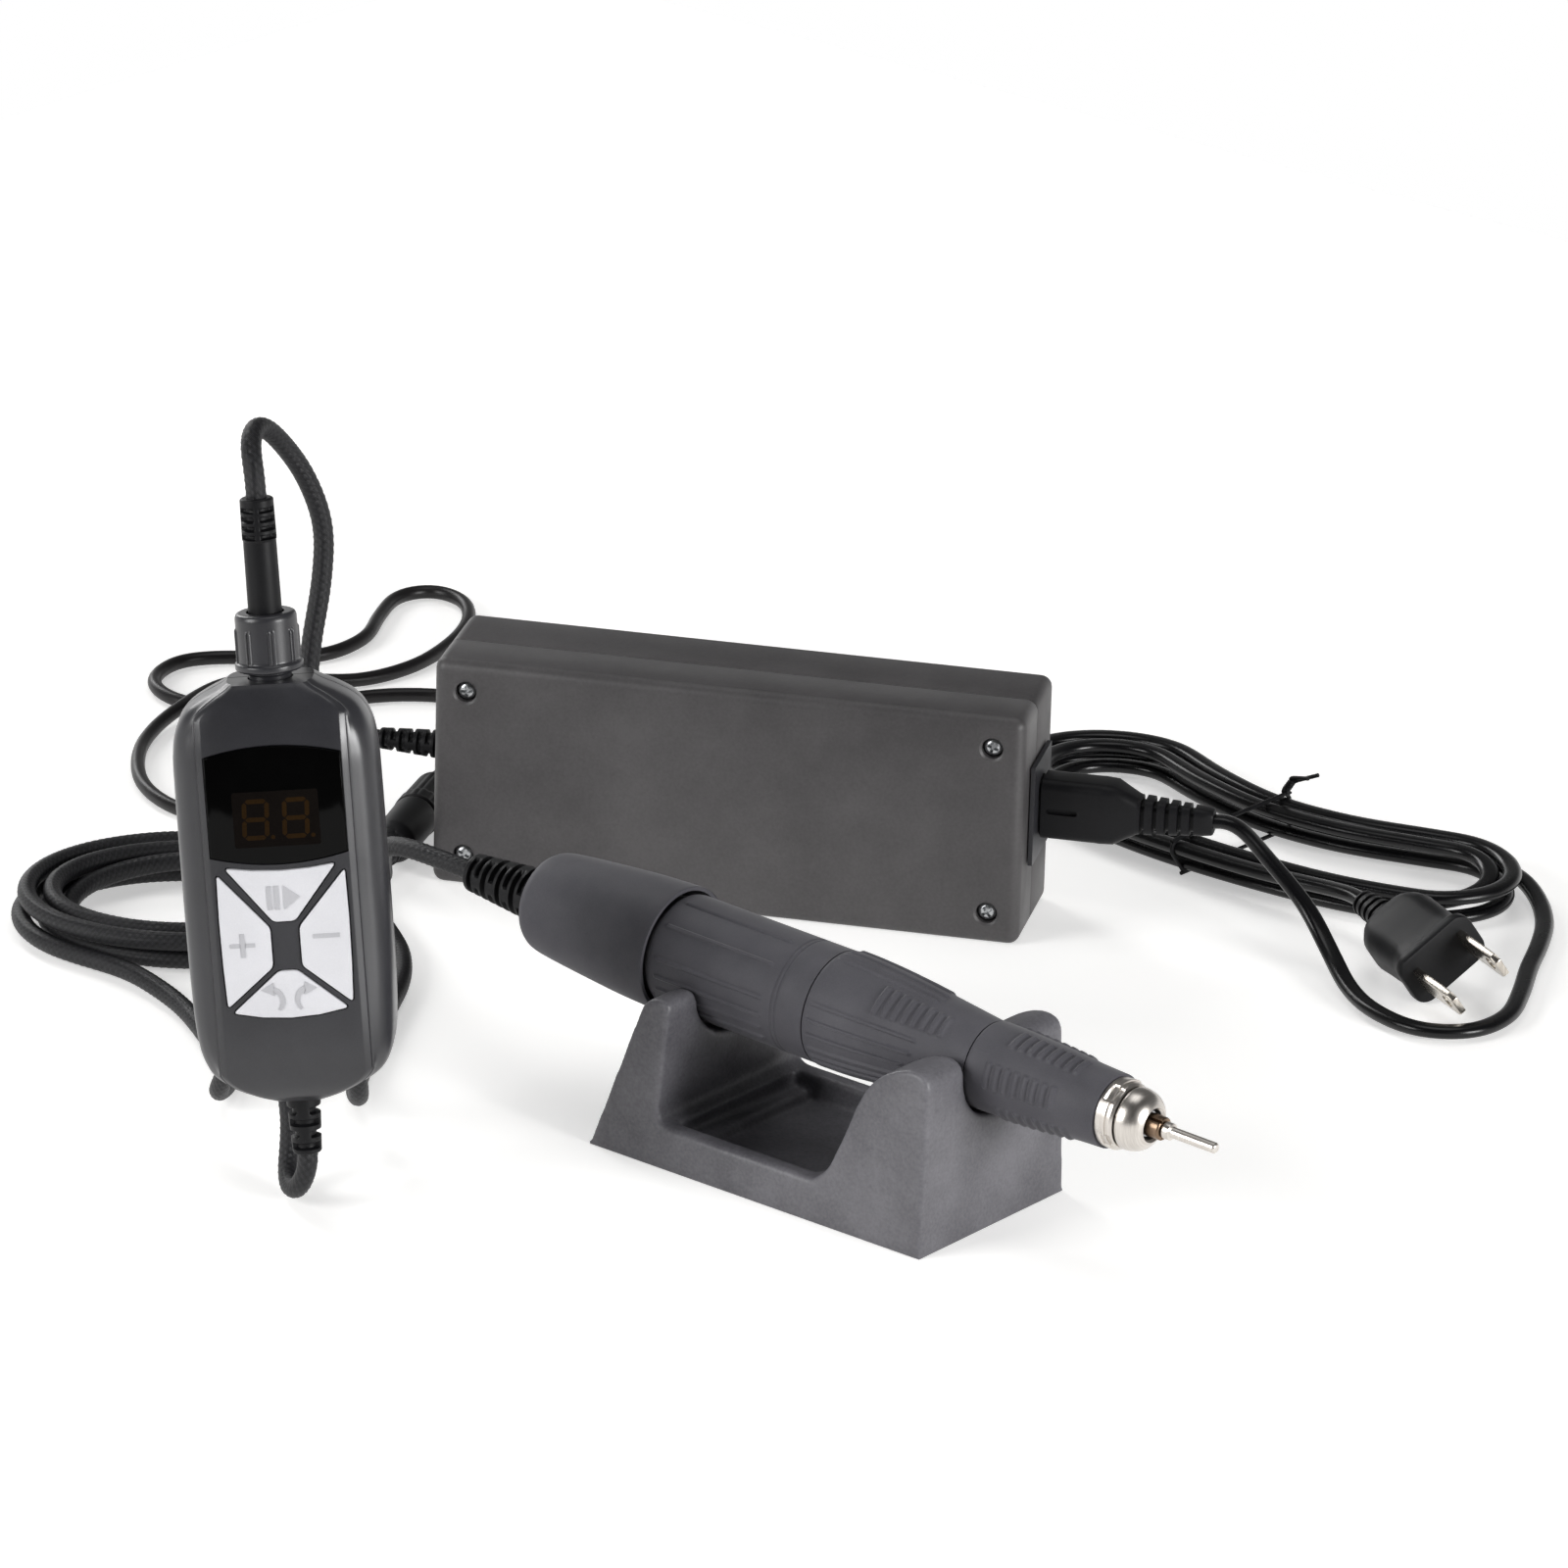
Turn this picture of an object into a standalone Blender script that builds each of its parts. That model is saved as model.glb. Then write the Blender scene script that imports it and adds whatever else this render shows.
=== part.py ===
"""Portable nail drill: controller, handpiece on its cradle, power adapter and cords.

Metres, +Z up. The origin is the centre of the cradle's underside. +X runs along the cradle
towards the bit, so the handpiece's axis lies in the XZ plane. Each sub-assembly hangs from its
own empty, and its pieces are drawn in that empty's frame.
"""

import math

import bmesh
import bpy
from mathutils import Euler, Matrix, Vector

# Clearances and facets shared by all pieces
GAP = 0.0003
OVERRUN = 0.002
MERGE = 0.0000005
ROUND_STEPS = 24
SMALL_STEPS = 12
TINY_STEPS = 8

# Cradle
CRADLE_LENGTH = 0.0888
CRADLE_WIDTH = 0.0487
CRADLE_HEIGHT = 0.0400
CRADLE_SIDE_DRAFT = 0.0018
CRADLE_EDGE = 0.0016
CRADLE_SILL_SHARE = 0.235
CRADLE_PLATE_THICK = 0.0020
CRADLE_PLATE_MARGIN = 0.0034
CRADLE_PEG_RADIUS = 0.0016
CRADLE_PEG_LENGTH = 0.0070
CRADLE_PEG_ACROSS = 0.0150
CRADLE_PEG_SHARES = (-0.76, 0.50)
TRAY_FLOOR = 0.0034
TRAY_LEDGE = 0.0056
TRAY_LEDGE_LENGTH = 0.0080
TRAY_SILL_WIDTH = 0.0050
SADDLE_CLEARANCE = 0.0004
# Side outline of the cradle, as shares of its half length and of its height
CRADLE_SIDE_SHARES = (
    (-1.000, 0.000), (-0.710, 0.905), (-0.555, 0.935), (-0.598, CRADLE_SILL_SHARE),
    (0.345, CRADLE_SILL_SHARE), (0.430, 0.330), (0.520, 0.560),
    (0.600, 0.775), (0.680, 0.890), (0.780, 0.965), (0.880, 1.000), (0.960, 0.985),
    (0.990, 0.930), (1.000, 0.000),
)
TRAY_START_SHARE = -0.540
TRAY_END_SHARE = 0.310
FRONT_HOLLOW_SHARES = ((0.62, 0.14), (0.92, 0.14), (0.91, 0.56), (0.72, 0.56), (0.62, 0.40))
FRONT_HOLLOW_WALL = 0.0045

# Handpiece: every place is a distance along its axis from the origin, towards the bit
AXIS_DROP = 0.0032
AXIS_HEIGHT = CRADLE_HEIGHT - AXIS_DROP
AXIS_SLOPE_DEG = 1.7
RELIEF_START = -0.0981
CAP_START = -0.0777
CAP_END = -0.0401
CASING_START = -0.0720
CASING_END = 0.0021
SLEEVE_END = 0.0423
GRIP_END = 0.0748
RING_END = 0.0790
NOSE_END = 0.0848
BIT_END = 0.1007
CAP_MOUTH_RADIUS = 0.0139
CAP_WALL = 0.0010
CAP_REAR_WALL = 0.0035
CASING_RADIUS = 0.0129
SLEEVE_END_RADIUS = 0.0098
GRIP_END_RADIUS = 0.0081
RING_RADIUS = 0.0076
NOSE_RADIUS = 0.0067
NOSE_HOLE = 0.0033
# Outlines of the turned covers, as shares of their length and of their largest radius
CAP_SHARES = (
    (0.000, 0.540), (0.010, 0.670), (0.040, 0.745), (0.085, 0.795), (0.200, 0.840),
    (0.450, 0.905), (0.720, 0.965), (0.985, 1.000), (1.000, 0.990),
)
CAP_BORE_SHARES = ((0.100, 0.695), (0.500, 0.845), (1.000, 0.928))
CASING_SHARES = ((0.000, 0.740), (0.020, 0.760), (0.190, 0.805), (0.380, 0.865), (0.440, 0.925), (0.450, 1.0))
SLEEVE_SHARES = ((0.0, 0.990), (0.015, 1.0), (0.200, 0.985), (0.450, 0.925), (0.700, 0.845))
GRIP_SHARES = ((0.0, 0.985), (0.015, 1.0), (0.250, 0.985), (0.550, 0.935), (0.800, 0.870))
NOSE_SHARES = ((0.0, 1.0), (0.400, 0.985), (0.700, 0.890), (0.900, 0.730), (1.0, 0.560))

# Handpiece strain relief
RELIEF_TAIL_RADIUS = 0.0042
RELIEF_HEAD_RADIUS = 0.0060
RELIEF_NECK = 0.0057
RELIEF_FLANGE = 0.0075
RELIEF_FLANGE_THICK = 0.0014
RELIEF_RIBS = 5
RELIEF_GROOVE = 0.0009

# Motor and spindle, in the same axis frame
MOTOR_RADIUS = 0.0086
MOTOR_BORE = 0.0089
MOTOR_START = -0.0695
MOTOR_END = -0.0165
MOTOR_WALL = 0.0008
MOTOR_END_WALL = 0.0025
MOTOR_SHAFT = 0.0012
MAGNET_THICK = 0.0013
MAGNET_START = -0.0580
MAGNET_END = -0.0260
ROTOR_RADIUS = 0.0059
ROTOR_START = -0.0555
ROTOR_END = -0.0285
COMMUTATOR_RADIUS = 0.0028
COMMUTATOR_START = -0.0660
COMMUTATOR_END = -0.0588
BRUSH_START = -0.0621
BRUSH_END = -0.0593
BRUSH_WIDTH = 0.0024
BRUSH_HOLDER_BORE = 0.0033
BARREL_RADIUS = 0.0065
BARREL_BORE = 0.0052
BARREL_START = -0.0138
BARREL_FLANGE_START = -0.0097
BARREL_FLANGE_END = -0.0060
BARREL_FLANGE_RADIUS = 0.0096
BARREL_NOSE_RADIUS = 0.0059
BARREL_NOSE_END = 0.0785
CASING_BULKHEAD = 0.0040
SPINDLE_RADIUS = 0.0028
SPINDLE_BORE = 0.0022
SPINDLE_START = -0.0040
SPINDLE_END = 0.0835
SPINDLE_BORE_START = 0.0600
SPINDLE_STUB_START = -0.0097
COUPLER_RADIUS = 0.0026
COUPLER_START = -0.0145
COUPLER_END = -0.0045
BEARING_LENGTH = 0.0045
REAR_BEARING_PLACE = 0.0040
FRONT_BEARING_PLACE = 0.0620
COLLET_START = 0.0610
COLLET_RADIUS = 0.0019
COLLET_HEAD_RADIUS = 0.0025
COLLET_END = 0.0875
SHANK_RADIUS = 0.001175
SHANK_START = 0.0620
SHANK_COLLAR_RADIUS = 0.0018
SHANK_COLLAR_LENGTH = 0.0016
PUSHER_START = 0.0300
PUSHER_LENGTH = 0.0060
PUSHER_TRAVEL = 0.0015
PUSHER_PIN_RADIUS = 0.0008
PUSHER_PIN_REACH = 0.0074
SLEEVE_RECESS_RADIUS = 0.0078
SLEEVE_RECESS_MARGIN = 0.0020

# Controller: x across, y away from the face, z up from the foot of the housing
CONTROLLER_PLACE = (-0.0662, -0.0902, 0.0259)
CONTROLLER_LEAN_DEG = 8.0
CONTROLLER_ROLL_DEG = 5.4
CONTROLLER_YAW_DEG = 38.5
CONTROLLER_HEIGHT = 0.0880
CONTROLLER_WIDTH = 0.0420
CONTROLLER_FRONT_DEPTH = 0.0120
CONTROLLER_REAR_DEPTH = 0.0120
CONTROLLER_SEAM = 0.0010
CONTROLLER_WALL = 0.0018
PANEL_HALF_WIDTH = 0.0142
PANEL_STEP = 0.0007
# Height share, half-width share and depth share of each level of the housing
HOUSING_LEVEL_SHARES = (
    (0.000, 0.24, 0.50), (0.020, 0.47, 0.70), (0.052, 0.75, 0.86), (0.095, 0.90, 0.94),
    (0.180, 0.975, 1.00), (0.380, 1.00, 1.00), (0.750, 1.00, 1.00), (0.850, 0.985, 0.985),
    (0.905, 0.930, 0.935), (0.942, 0.830, 0.870), (0.968, 0.670, 0.780), (0.988, 0.500, 0.680),
    (1.000, 0.420, 0.600),
)
REAR_SECTION_SHARES = ((1.0, 0.30), (0.965, 0.62), (0.86, 0.88), (0.66, 1.0))
SHOULDER_SHARES = ((1.0, 0.28), (0.965, 0.56), (0.87, 0.80))
PANEL_LIMIT_SHARE = 0.78

# Display and keys, on the front panel
WINDOW_WIDTH = 0.0278
WINDOW_DROP = 0.0138
WINDOW_HEIGHT = 0.0206
WINDOW_TOP = CONTROLLER_HEIGHT - WINDOW_DROP
WINDOW_BOTTOM = WINDOW_TOP - WINDOW_HEIGHT
WINDOW_ARC = 0.0019
WINDOW_THICK = 0.0010
WINDOW_PROUD = 0.0002
DISPLAY_WIDTH = 0.0200
DISPLAY_HEIGHT = 0.0120
DISPLAY_DEPTH = 0.0060
KEYPAD_GAP = 0.0024
KEYPAD_FOOT = 0.01928
KEYPAD_TOP = WINDOW_BOTTOM - KEYPAD_GAP
KEYPAD_HALF_WIDTH = 0.0131
# The keys reach from 1.0 above their centre to 1.1 below it, in half heights
KEYPAD_REACH_SHARES = 2.1
KEYPAD_HALF_HEIGHT = (KEYPAD_TOP - KEYPAD_FOOT) / KEYPAD_REACH_SHARES
KEYPAD_CENTRE = KEYPAD_TOP - KEYPAD_HALF_HEIGHT
KEY_PROUD = 0.0006
KEY_THICK = 0.0022
KEY_TRAVEL = 0.0005
KEY_STEM = 0.0014
KEY_CORNER = 0.0007
# Key outlines, as shares of the keypad's half width and half height
PLAY_KEY_SHARES = (
    (-0.864, 1.0), (-0.17, 0.237), (0.17, 0.237), (0.864, 1.0), (0.45, 0.953), (0.0, 0.935), (-0.45, 0.953),
)
SIDE_KEY_SHARES = ((1.0, 0.915), (0.23, 0.151), (0.23, -0.388), (0.975, -0.925), (1.0, -0.40), (1.012, 0.25))
TURN_KEY_SHARES = (
    (-0.90, -1.0), (-0.144, -0.447), (0.144, -0.447), (0.90, -1.0), (0.45, -1.075), (0.0, -1.10),
    (-0.45, -1.075),
)
PLAY_STEM_SHARE = 0.62
SIDE_STEM_SHARE = 0.62
TURN_STEM_SHARE = -0.78
SWITCH_SIZE = 0.0060
SWITCH_HEIGHT = 0.0031
SWITCH_MAT_THICK = 0.0006
BOARD_FRONT = -0.0013
BOARD_THICK = 0.0016
BOARD_HALF_WIDTH = 0.0165
BOARD_BOTTOM = 0.0170
BOARD_HEADROOM = 0.0120
BOARD_TOP = CONTROLLER_HEIGHT - BOARD_HEADROOM
HOUSING_BOSS = 0.0029
HOUSING_SCREW_SHANK = 0.0011
HOUSING_SCREW_HEAD = 0.0021
HOUSING_SCREW_PLACE = 0.0108
HOUSING_SCREW_HEAD_HEIGHT = 0.0013
HOUSING_SCREW_SUNK = 0.0030
HOUSING_SCREW_BITE = 0.0060
HOUSING_BOSS_DEPTH_SHARE = 0.88

# Screwed supply connector on top of the controller
NECK_RADIUS = 0.0044
NECK_BORE = 0.0032
NECK_FLANGE = 0.0062
NECK_FLANGE_THICK = 0.0014
NECK_RISE = 0.0095
NECK_TOP = CONTROLLER_HEIGHT + NECK_RISE
NUT_CLEARANCE = 0.0017
NUT_HEIGHT = 0.0120
NUT_BOTTOM = CONTROLLER_HEIGHT + NUT_CLEARANCE
NUT_TOP = NUT_BOTTOM + NUT_HEIGHT
NUT_RADIUS = 0.0064
NUT_FLANGE = 0.0070
NUT_FLANGE_HEIGHT = 0.0016
NUT_CAP_THICK = 0.0020
NUT_FLUTES = 8
NUT_FLUTE_RADIUS = 0.0006
PLUG_RADIUS = 0.0035
PLUG_COLLAR = 0.0043
PLUG_COLLAR_THICK = 0.0012
PLUG_PIN_RADIUS = 0.0027
PLUG_PIN_LENGTH = 0.0090
PLUG_BODY_RISE = 0.0149
PLUG_RELIEF_LENGTH = 0.0087
PLUG_BODY_TOP = NUT_TOP + PLUG_BODY_RISE
PLUG_RELIEF_TOP = PLUG_BODY_TOP + PLUG_RELIEF_LENGTH
PLUG_RELIEF_RIBS = 3
PLUG_RELIEF_GROOVE = 0.0006

# Strain relief at the foot of the controller
FOOT_BOOT_BOTTOM = -0.0125
FOOT_BOOT_RADIUS = 0.0036
FOOT_BOOT_TIP = 0.0030
FOOT_BOOT_RIBS = 3
FOOT_BOOT_GROOVE = 0.0007
FOOT_BOOT_INSIDE = 0.0030
FOOT_BOOT_FLANGE = 0.0046
FOOT_BOOT_NECK = 0.0040

# Power adapter, standing on its long edge: x along, y away from its face, z up
ADAPTER_PLACE = (-0.1651, 0.0639, 0.0)
ADAPTER_YAW_DEG = 26.25
ADAPTER_LENGTH = 0.1340
ADAPTER_HEIGHT = 0.0535
ADAPTER_DEPTH = 0.0317
ADAPTER_SEAM = 0.0136
ADAPTER_WALL = 0.0022
ADAPTER_EDGE = 0.0026
ADAPTER_SCREW_INSET = 0.0073
ADAPTER_BOSS = 0.0035
ADAPTER_HEAD_HOLE = 0.0024
ADAPTER_HEAD_DEPTH = 0.0030
ADAPTER_SCREW_HEAD = 0.0020
ADAPTER_SCREW_SHANK = 0.0012
ADAPTER_SCREW_HEAD_HEIGHT = 0.0016
ADAPTER_SCREW_BITE = 0.0110
ADAPTER_BOARD_THICK = 0.0016
ADAPTER_BOARD_INSET = 0.0120
TRANSFORMER_LENGTH = 0.0280
TRANSFORMER_HEIGHT = 0.0260
TRANSFORMER_DEPTH = 0.0105
TRANSFORMER_PLACE = 0.0500
WINDING_LENGTH = 0.0150
WINDING_PROUD = 0.0024
INLET_HEIGHT = 0.0285
INLET_BODY_HEIGHT = 0.0180
INLET_BODY_DEPTH = 0.0120
INLET_BODY_LENGTH = 0.0130
INLET_PLATE_HEIGHT = 0.0231
INLET_PLATE_DEPTH = 0.0180
INLET_PLATE_THICK = 0.0010
INLET_POCKET_DEPTH = 0.0090
INLET_PIN_RADIUS = 0.0012
INLET_PIN_PITCH = 0.0066
INLET_PIN_LENGTH = 0.0078
INLET_YOKE_THICK = 0.0012
CORD_EXIT_HEIGHT = 0.0270
CORD_EXIT_RADIUS = 0.0033
CORD_EXIT_TIP = 0.0024
CORD_EXIT_LENGTH = 0.0163
CORD_EXIT_FLANGE = 0.0050
CORD_EXIT_RIBS = 3
CORD_EXIT_GROOVE = 0.0005

# Mains connector in the adapter's inlet
CONNECTOR_HEIGHT = 0.0134
CONNECTOR_DEPTH = 0.0076
CONNECTOR_BODY_HEIGHT = 0.0140
CONNECTOR_BODY_DEPTH = 0.0092
CONNECTOR_BODY_LENGTH = 0.0165
CONNECTOR_TAPER = 0.0055
CONNECTOR_RELIEF_LENGTH = 0.0165
CONNECTOR_RELIEF_HEIGHT = 0.0080
CONNECTOR_RELIEF_DEPTH = 0.0066
CONNECTOR_RIBS = 4
CONNECTOR_CORNER = 0.0030
PLUG_CORNER_STEPS = 2

# Mains plug with two flat blades
MAINS_PLUG_PLACE = (0.0100, 0.1770, 0.0100)
MAINS_PLUG_YAW_DEG = -25.0
MAINS_PLUG_ROLL_DEG = 35.0
MAINS_PLUG_RELIEF = 0.0120
MAINS_PLUG_BODY = 0.0240
MAINS_PLUG_WIDTH = 0.0200
MAINS_PLUG_THICK = 0.0130
MAINS_PLUG_TAIL = 0.0072
MAINS_PLUG_CORNER = 0.0040
BLADE_LENGTH = 0.0165
BLADE_WIDTH = 0.0063
BLADE_THICK = 0.0015
BLADE_PITCH = 0.0127
BLADE_HOLE = 0.0016
BLADE_ROOT = 0.0060

# In-line coupling between the smooth and the braided supply cords
COUPLING_PLACE = (-0.1846, 0.0807, 0.0056)
COUPLING_YAW_DEG = -66.0
COUPLING_RADIUS = 0.0052
COUPLING_COLLAR = 0.0054
COUPLING_LENGTH = 0.0180
COUPLING_TAIL = 0.0090
COUPLING_TAIL_RADIUS = 0.0029
COUPLING_PIN_RADIUS = 0.0027
COUPLING_PIN_LENGTH = 0.0095
COUPLING_BORE = 0.0031
COUPLING_RIBS = 2
COUPLING_GROOVE = 0.0006
COUPLING_TAIL_SHARES = (1.35, 1.0)

# Cords and their routes
BRAID_RADIUS = 0.0021
SMOOTH_RADIUS = 0.00165
MAINS_RADIUS = 0.0020
CORD_POINT_SPACING = 0.0065
LONG_CORD_POINT_SPACING = 0.0099
CORD_ROUND_STEPS = 2
COIL_ROUND_STEPS = 1
ROUTE_STEPS = 16
FLOOR_CLEARANCE = 0.0002

# Round coil of the handpiece cord: oval loops in two layers
COIL_CENTRE = (-0.1870, 0.0080)
COIL_LONG = 0.0380
COIL_SHORT = 0.0320
COIL_YAW_DEG = 42.0
COIL_STEP = 0.0056
COIL_LAYER = 0.0048
COIL_TURNS_IN = 2.0
COIL_TURNS_CLIMB = 0.5
COIL_TURNS_OUT = 2.0
COIL_START_DEG = 228.0
LOOP_POINTS = 24

# Hank of the mains cord: long loops drawn in a little at the tie, in two layers
HANK_CENTRE = (-0.0390, 0.2000)
HANK_STRAIGHT = 0.0460
HANK_END_RADIUS = 0.0220
HANK_WAIST_SHARE = 0.88
HANK_BEND_RADIUS = 0.1200
HANK_STEP = 0.0057
HANK_LAYER = 0.0046
HANK_TURNS_IN = 1.5
HANK_TURNS_CLIMB = 0.5
HANK_TURNS_OUT = 1.62
HANK_START_SHARE = 0.139
HANK_END_SHARE = 0.3333333
HANK_TIE_PLACE = -0.0040
HANK_TIE_WIDTH = 0.0060

# Bands that tie the coil and the hank
TIE_THICK = 0.0007
TIE_CLEARANCE = 0.0008
TIE_LIFT = 0.0011
TIE_CORNER = 0.0014
COIL_TIE_WIDTH = 0.0040
COIL_TIE_TURN = 0.75

# Colours (linear), roughness and metallic value of each finish
PLASTIC_BLACK = ((0.010, 0.010, 0.011), 0.50, 0.0)
PLASTIC_MATTE = ((0.014, 0.014, 0.016), 0.70, 0.0)
PLASTIC_GREY = ((0.020, 0.021, 0.024), 0.75, 0.0)
LENS_BLACK = ((0.002, 0.002, 0.002), 0.08, 0.0)
KEY_WHITE = ((0.72, 0.72, 0.73), 0.55, 0.0)
RUBBER_BLACK = ((0.008, 0.008, 0.009), 0.65, 0.0)
BRAID_BLACK = ((0.012, 0.012, 0.014), 0.80, 0.0)
NICKEL = ((0.60, 0.58, 0.55), 0.25, 1.0)
STEEL = ((0.45, 0.45, 0.46), 0.30, 1.0)
COLLET_BRONZE = ((0.22, 0.13, 0.07), 0.40, 1.0)
BRASS = ((0.60, 0.45, 0.18), 0.30, 1.0)
COPPER = ((0.45, 0.16, 0.06), 0.35, 1.0)
BOARD_GREEN = ((0.02, 0.10, 0.04), 0.50, 0.0)
CHIP_BLACK = ((0.02, 0.02, 0.02), 0.45, 0.0)
FERRITE = ((0.05, 0.05, 0.055), 0.60, 0.0)
ALUMINIUM = ((0.55, 0.56, 0.57), 0.35, 1.0)
TAPE_YELLOW = ((0.60, 0.45, 0.05), 0.50, 0.0)


def wipe_scene():
    """Removes every object that is in the scene before the model is made."""
    for old in list(bpy.data.objects):
        bpy.data.objects.remove(old, do_unlink=True)


def finish(name, values):
    """Returns a Principled material named for its piece."""
    colour, roughness, metallic = values
    made = bpy.data.materials.new(name)
    made.use_nodes = True
    shader = made.node_tree.nodes["Principled BSDF"]
    shader.inputs["Base Color"].default_value = (*colour, 1.0)
    shader.inputs["Roughness"].default_value = roughness
    shader.inputs["Metallic"].default_value = metallic
    made.diffuse_color = (*colour, 1.0)
    return made


def frame_at(name, place, turn=(0.0, 0.0, 0.0), parent=None):
    """Returns an empty that carries a sub-assembly, turned by x, y and z angles in radians."""
    made = bpy.data.objects.new(name, None)
    made.location = place
    made.rotation_euler = turn
    made.parent = parent
    bpy.context.collection.objects.link(made)
    return made


def hang(name, shape, parent, values=None):
    """Makes an object of a bmesh under a parent empty, smooth except at its sharp edges."""
    bmesh.ops.remove_doubles(shape, verts=shape.verts, dist=MERGE)
    bmesh.ops.recalc_face_normals(shape, faces=shape.faces)
    mesh = bpy.data.meshes.new(name)
    shape.to_mesh(mesh)
    shape.free()
    mesh.shade_smooth()
    mesh.set_sharp_from_angle(angle=math.radians(35.0))
    made = bpy.data.objects.new(name, mesh)
    made.parent = parent
    bpy.context.collection.objects.link(made)
    if values is not None:
        mesh.materials.append(finish(name, values))
    return made


def combine(target, operation, name, shape):
    """Adds or cuts a hidden shape with an exact Boolean modifier."""
    tool = hang(name, shape, target.parent)
    tool.hide_render = True
    tool.display_type = "WIRE"
    step = target.modifiers.new(name, "BOOLEAN")
    step.operation = operation
    step.object = tool
    step.solver = "EXACT"


def cut(target, name, shape):
    """Cuts a shape out of a piece."""
    combine(target, "DIFFERENCE", name, shape)


def fuse(target, name, shape):
    """Joins a shape to a piece."""
    combine(target, "UNION", name, shape)


def moved(shape, matrix):
    """Transforms a bmesh and returns it."""
    bmesh.ops.transform(shape, matrix=matrix, verts=shape.verts)
    return shape


def joined(shapes):
    """Puts separate bodies into one bmesh."""
    whole = bmesh.new()
    for shape in shapes:
        mesh = bpy.data.meshes.new("part_of_group")
        shape.to_mesh(mesh)
        shape.free()
        whole.from_mesh(mesh)
        bpy.data.meshes.remove(mesh)
    return whole


def along_z(shape):
    """Turns a shape drawn along +X so that it runs along +Z."""
    return moved(shape, Matrix.Rotation(-math.pi / 2.0, 4, "Y"))


def along_y(shape):
    """Turns a shape drawn along +X so that it runs along +Y."""
    return moved(shape, Matrix.Rotation(math.pi / 2.0, 4, "Z"))


def turned(outer, bore=None, steps=ROUND_STEPS):
    """Turns an outline of (place, radius) about +X, solid or with a bore."""
    if bore is None:
        points = [(outer[0][0], 0.0), *outer, (outer[-1][0], 0.0)]
    else:
        points = [*outer, *reversed(bore)]
    shape = bmesh.new()
    corners = [shape.verts.new((place, 0.0, radius)) for place, radius in points]
    edges = [shape.edges.new(pair) for pair in zip(corners, corners[1:])]
    if bore is not None:
        edges.append(shape.edges.new((corners[-1], corners[0])))
    bmesh.ops.spin(shape, geom=corners + edges, axis=(1.0, 0.0, 0.0), cent=(0.0, 0.0, 0.0),
                   dvec=(0.0, 0.0, 0.0), angle=math.tau, steps=steps, use_merge=True)
    bmesh.ops.remove_doubles(shape, verts=shape.verts, dist=MERGE)
    bmesh.ops.recalc_face_normals(shape, faces=shape.faces)
    return shape


def rod(start, end, radius, steps=SMALL_STEPS):
    """Returns a round rod along +X."""
    return turned([(start, radius), (end, radius)], steps=steps)


def tube_along(start, end, radius, bore, steps=SMALL_STEPS):
    """Returns a round tube along +X."""
    return turned([(start, radius), (end, radius)], [(start, bore), (end, bore)], steps)


def block(low, high):
    """Returns a box between two corners."""
    size = [top - bottom for bottom, top in zip(low, high)]
    middle = [(top + bottom) / 2.0 for bottom, top in zip(low, high)]
    shape = bmesh.new()
    bmesh.ops.create_cube(shape, size=1.0)
    return moved(shape, Matrix.Translation(middle) @ Matrix.Diagonal((*size, 1.0)))


def plate(outline, low, high, corner=0.0):
    """Extrudes an outline of (x, z) points along y and rounds its long edges if asked."""
    shape = bmesh.new()
    corners = [shape.verts.new((x, low, z)) for x, z in outline]
    face = shape.faces.new(corners)
    grown = bmesh.ops.extrude_face_region(shape, geom=[face])
    top = [item for item in grown["geom"] if isinstance(item, bmesh.types.BMVert)]
    bmesh.ops.translate(shape, vec=(0.0, high - low, 0.0), verts=top)
    if corner > 0.0:
        long_edges = [edge for edge in shape.edges if abs(edge.verts[0].co.y - edge.verts[1].co.y) > MERGE]
        bmesh.ops.bevel(shape, geom=long_edges, offset=corner, segments=2, profile=0.5, affect="EDGES",
                        offset_type="OFFSET", clamp_overlap=True)
    bmesh.ops.recalc_face_normals(shape, faces=shape.faces)
    return shape


def loft(rings):
    """Joins rings of points, each with as many points, into one closed solid."""
    shape = bmesh.new()
    loops = [[shape.verts.new(point) for point in ring] for ring in rings]
    count = len(loops[0])
    for first, second in zip(loops, loops[1:]):
        for index in range(count):
            after = (index + 1) % count
            shape.faces.new((first[index], first[after], second[after], second[index]))
    shape.faces.new(list(reversed(loops[0])))
    shape.faces.new(loops[-1])
    bmesh.ops.recalc_face_normals(shape, faces=shape.faces)
    return shape


def soften(shape, width, segments=2, keep=None):
    """Rounds the edges of a shape, or only those that keep() picks."""
    edges = [edge for edge in shape.edges if edge.calc_face_angle(0.0) > math.radians(30.0)]
    if keep is not None:
        edges = [edge for edge in edges if keep(edge)]
    bmesh.ops.bevel(shape, geom=edges, offset=width, segments=segments, profile=0.5, affect="EDGES",
                    offset_type="OFFSET", clamp_overlap=True)
    return shape


def scaled(shares, start, length, radius):
    """Turns an outline of shares into places and radii."""
    return [(start + place * length, share * radius) for place, share in shares]


def spread(outline, distance):
    """Moves each side of a closed outline outwards by a distance."""
    count = len(outline)
    area = sum(outline[i][0] * outline[(i + 1) % count][1] - outline[(i + 1) % count][0] * outline[i][1]
               for i in range(count))
    side = 1.0 if area > 0.0 else -1.0
    grown = []
    for index, here in enumerate(outline):
        before = Vector(outline[index - 1])
        after = Vector(outline[(index + 1) % count])
        here = Vector(here)
        first = (here - before).normalized()
        second = (after - here).normalized()
        first_out = Vector((first.y, -first.x)) * side
        second_out = Vector((second.y, -second.x)) * side
        middle = (first_out + second_out).normalized()
        grown.append(tuple(here + middle * (distance / max(middle.dot(first_out), 0.3))))
    return grown


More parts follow.
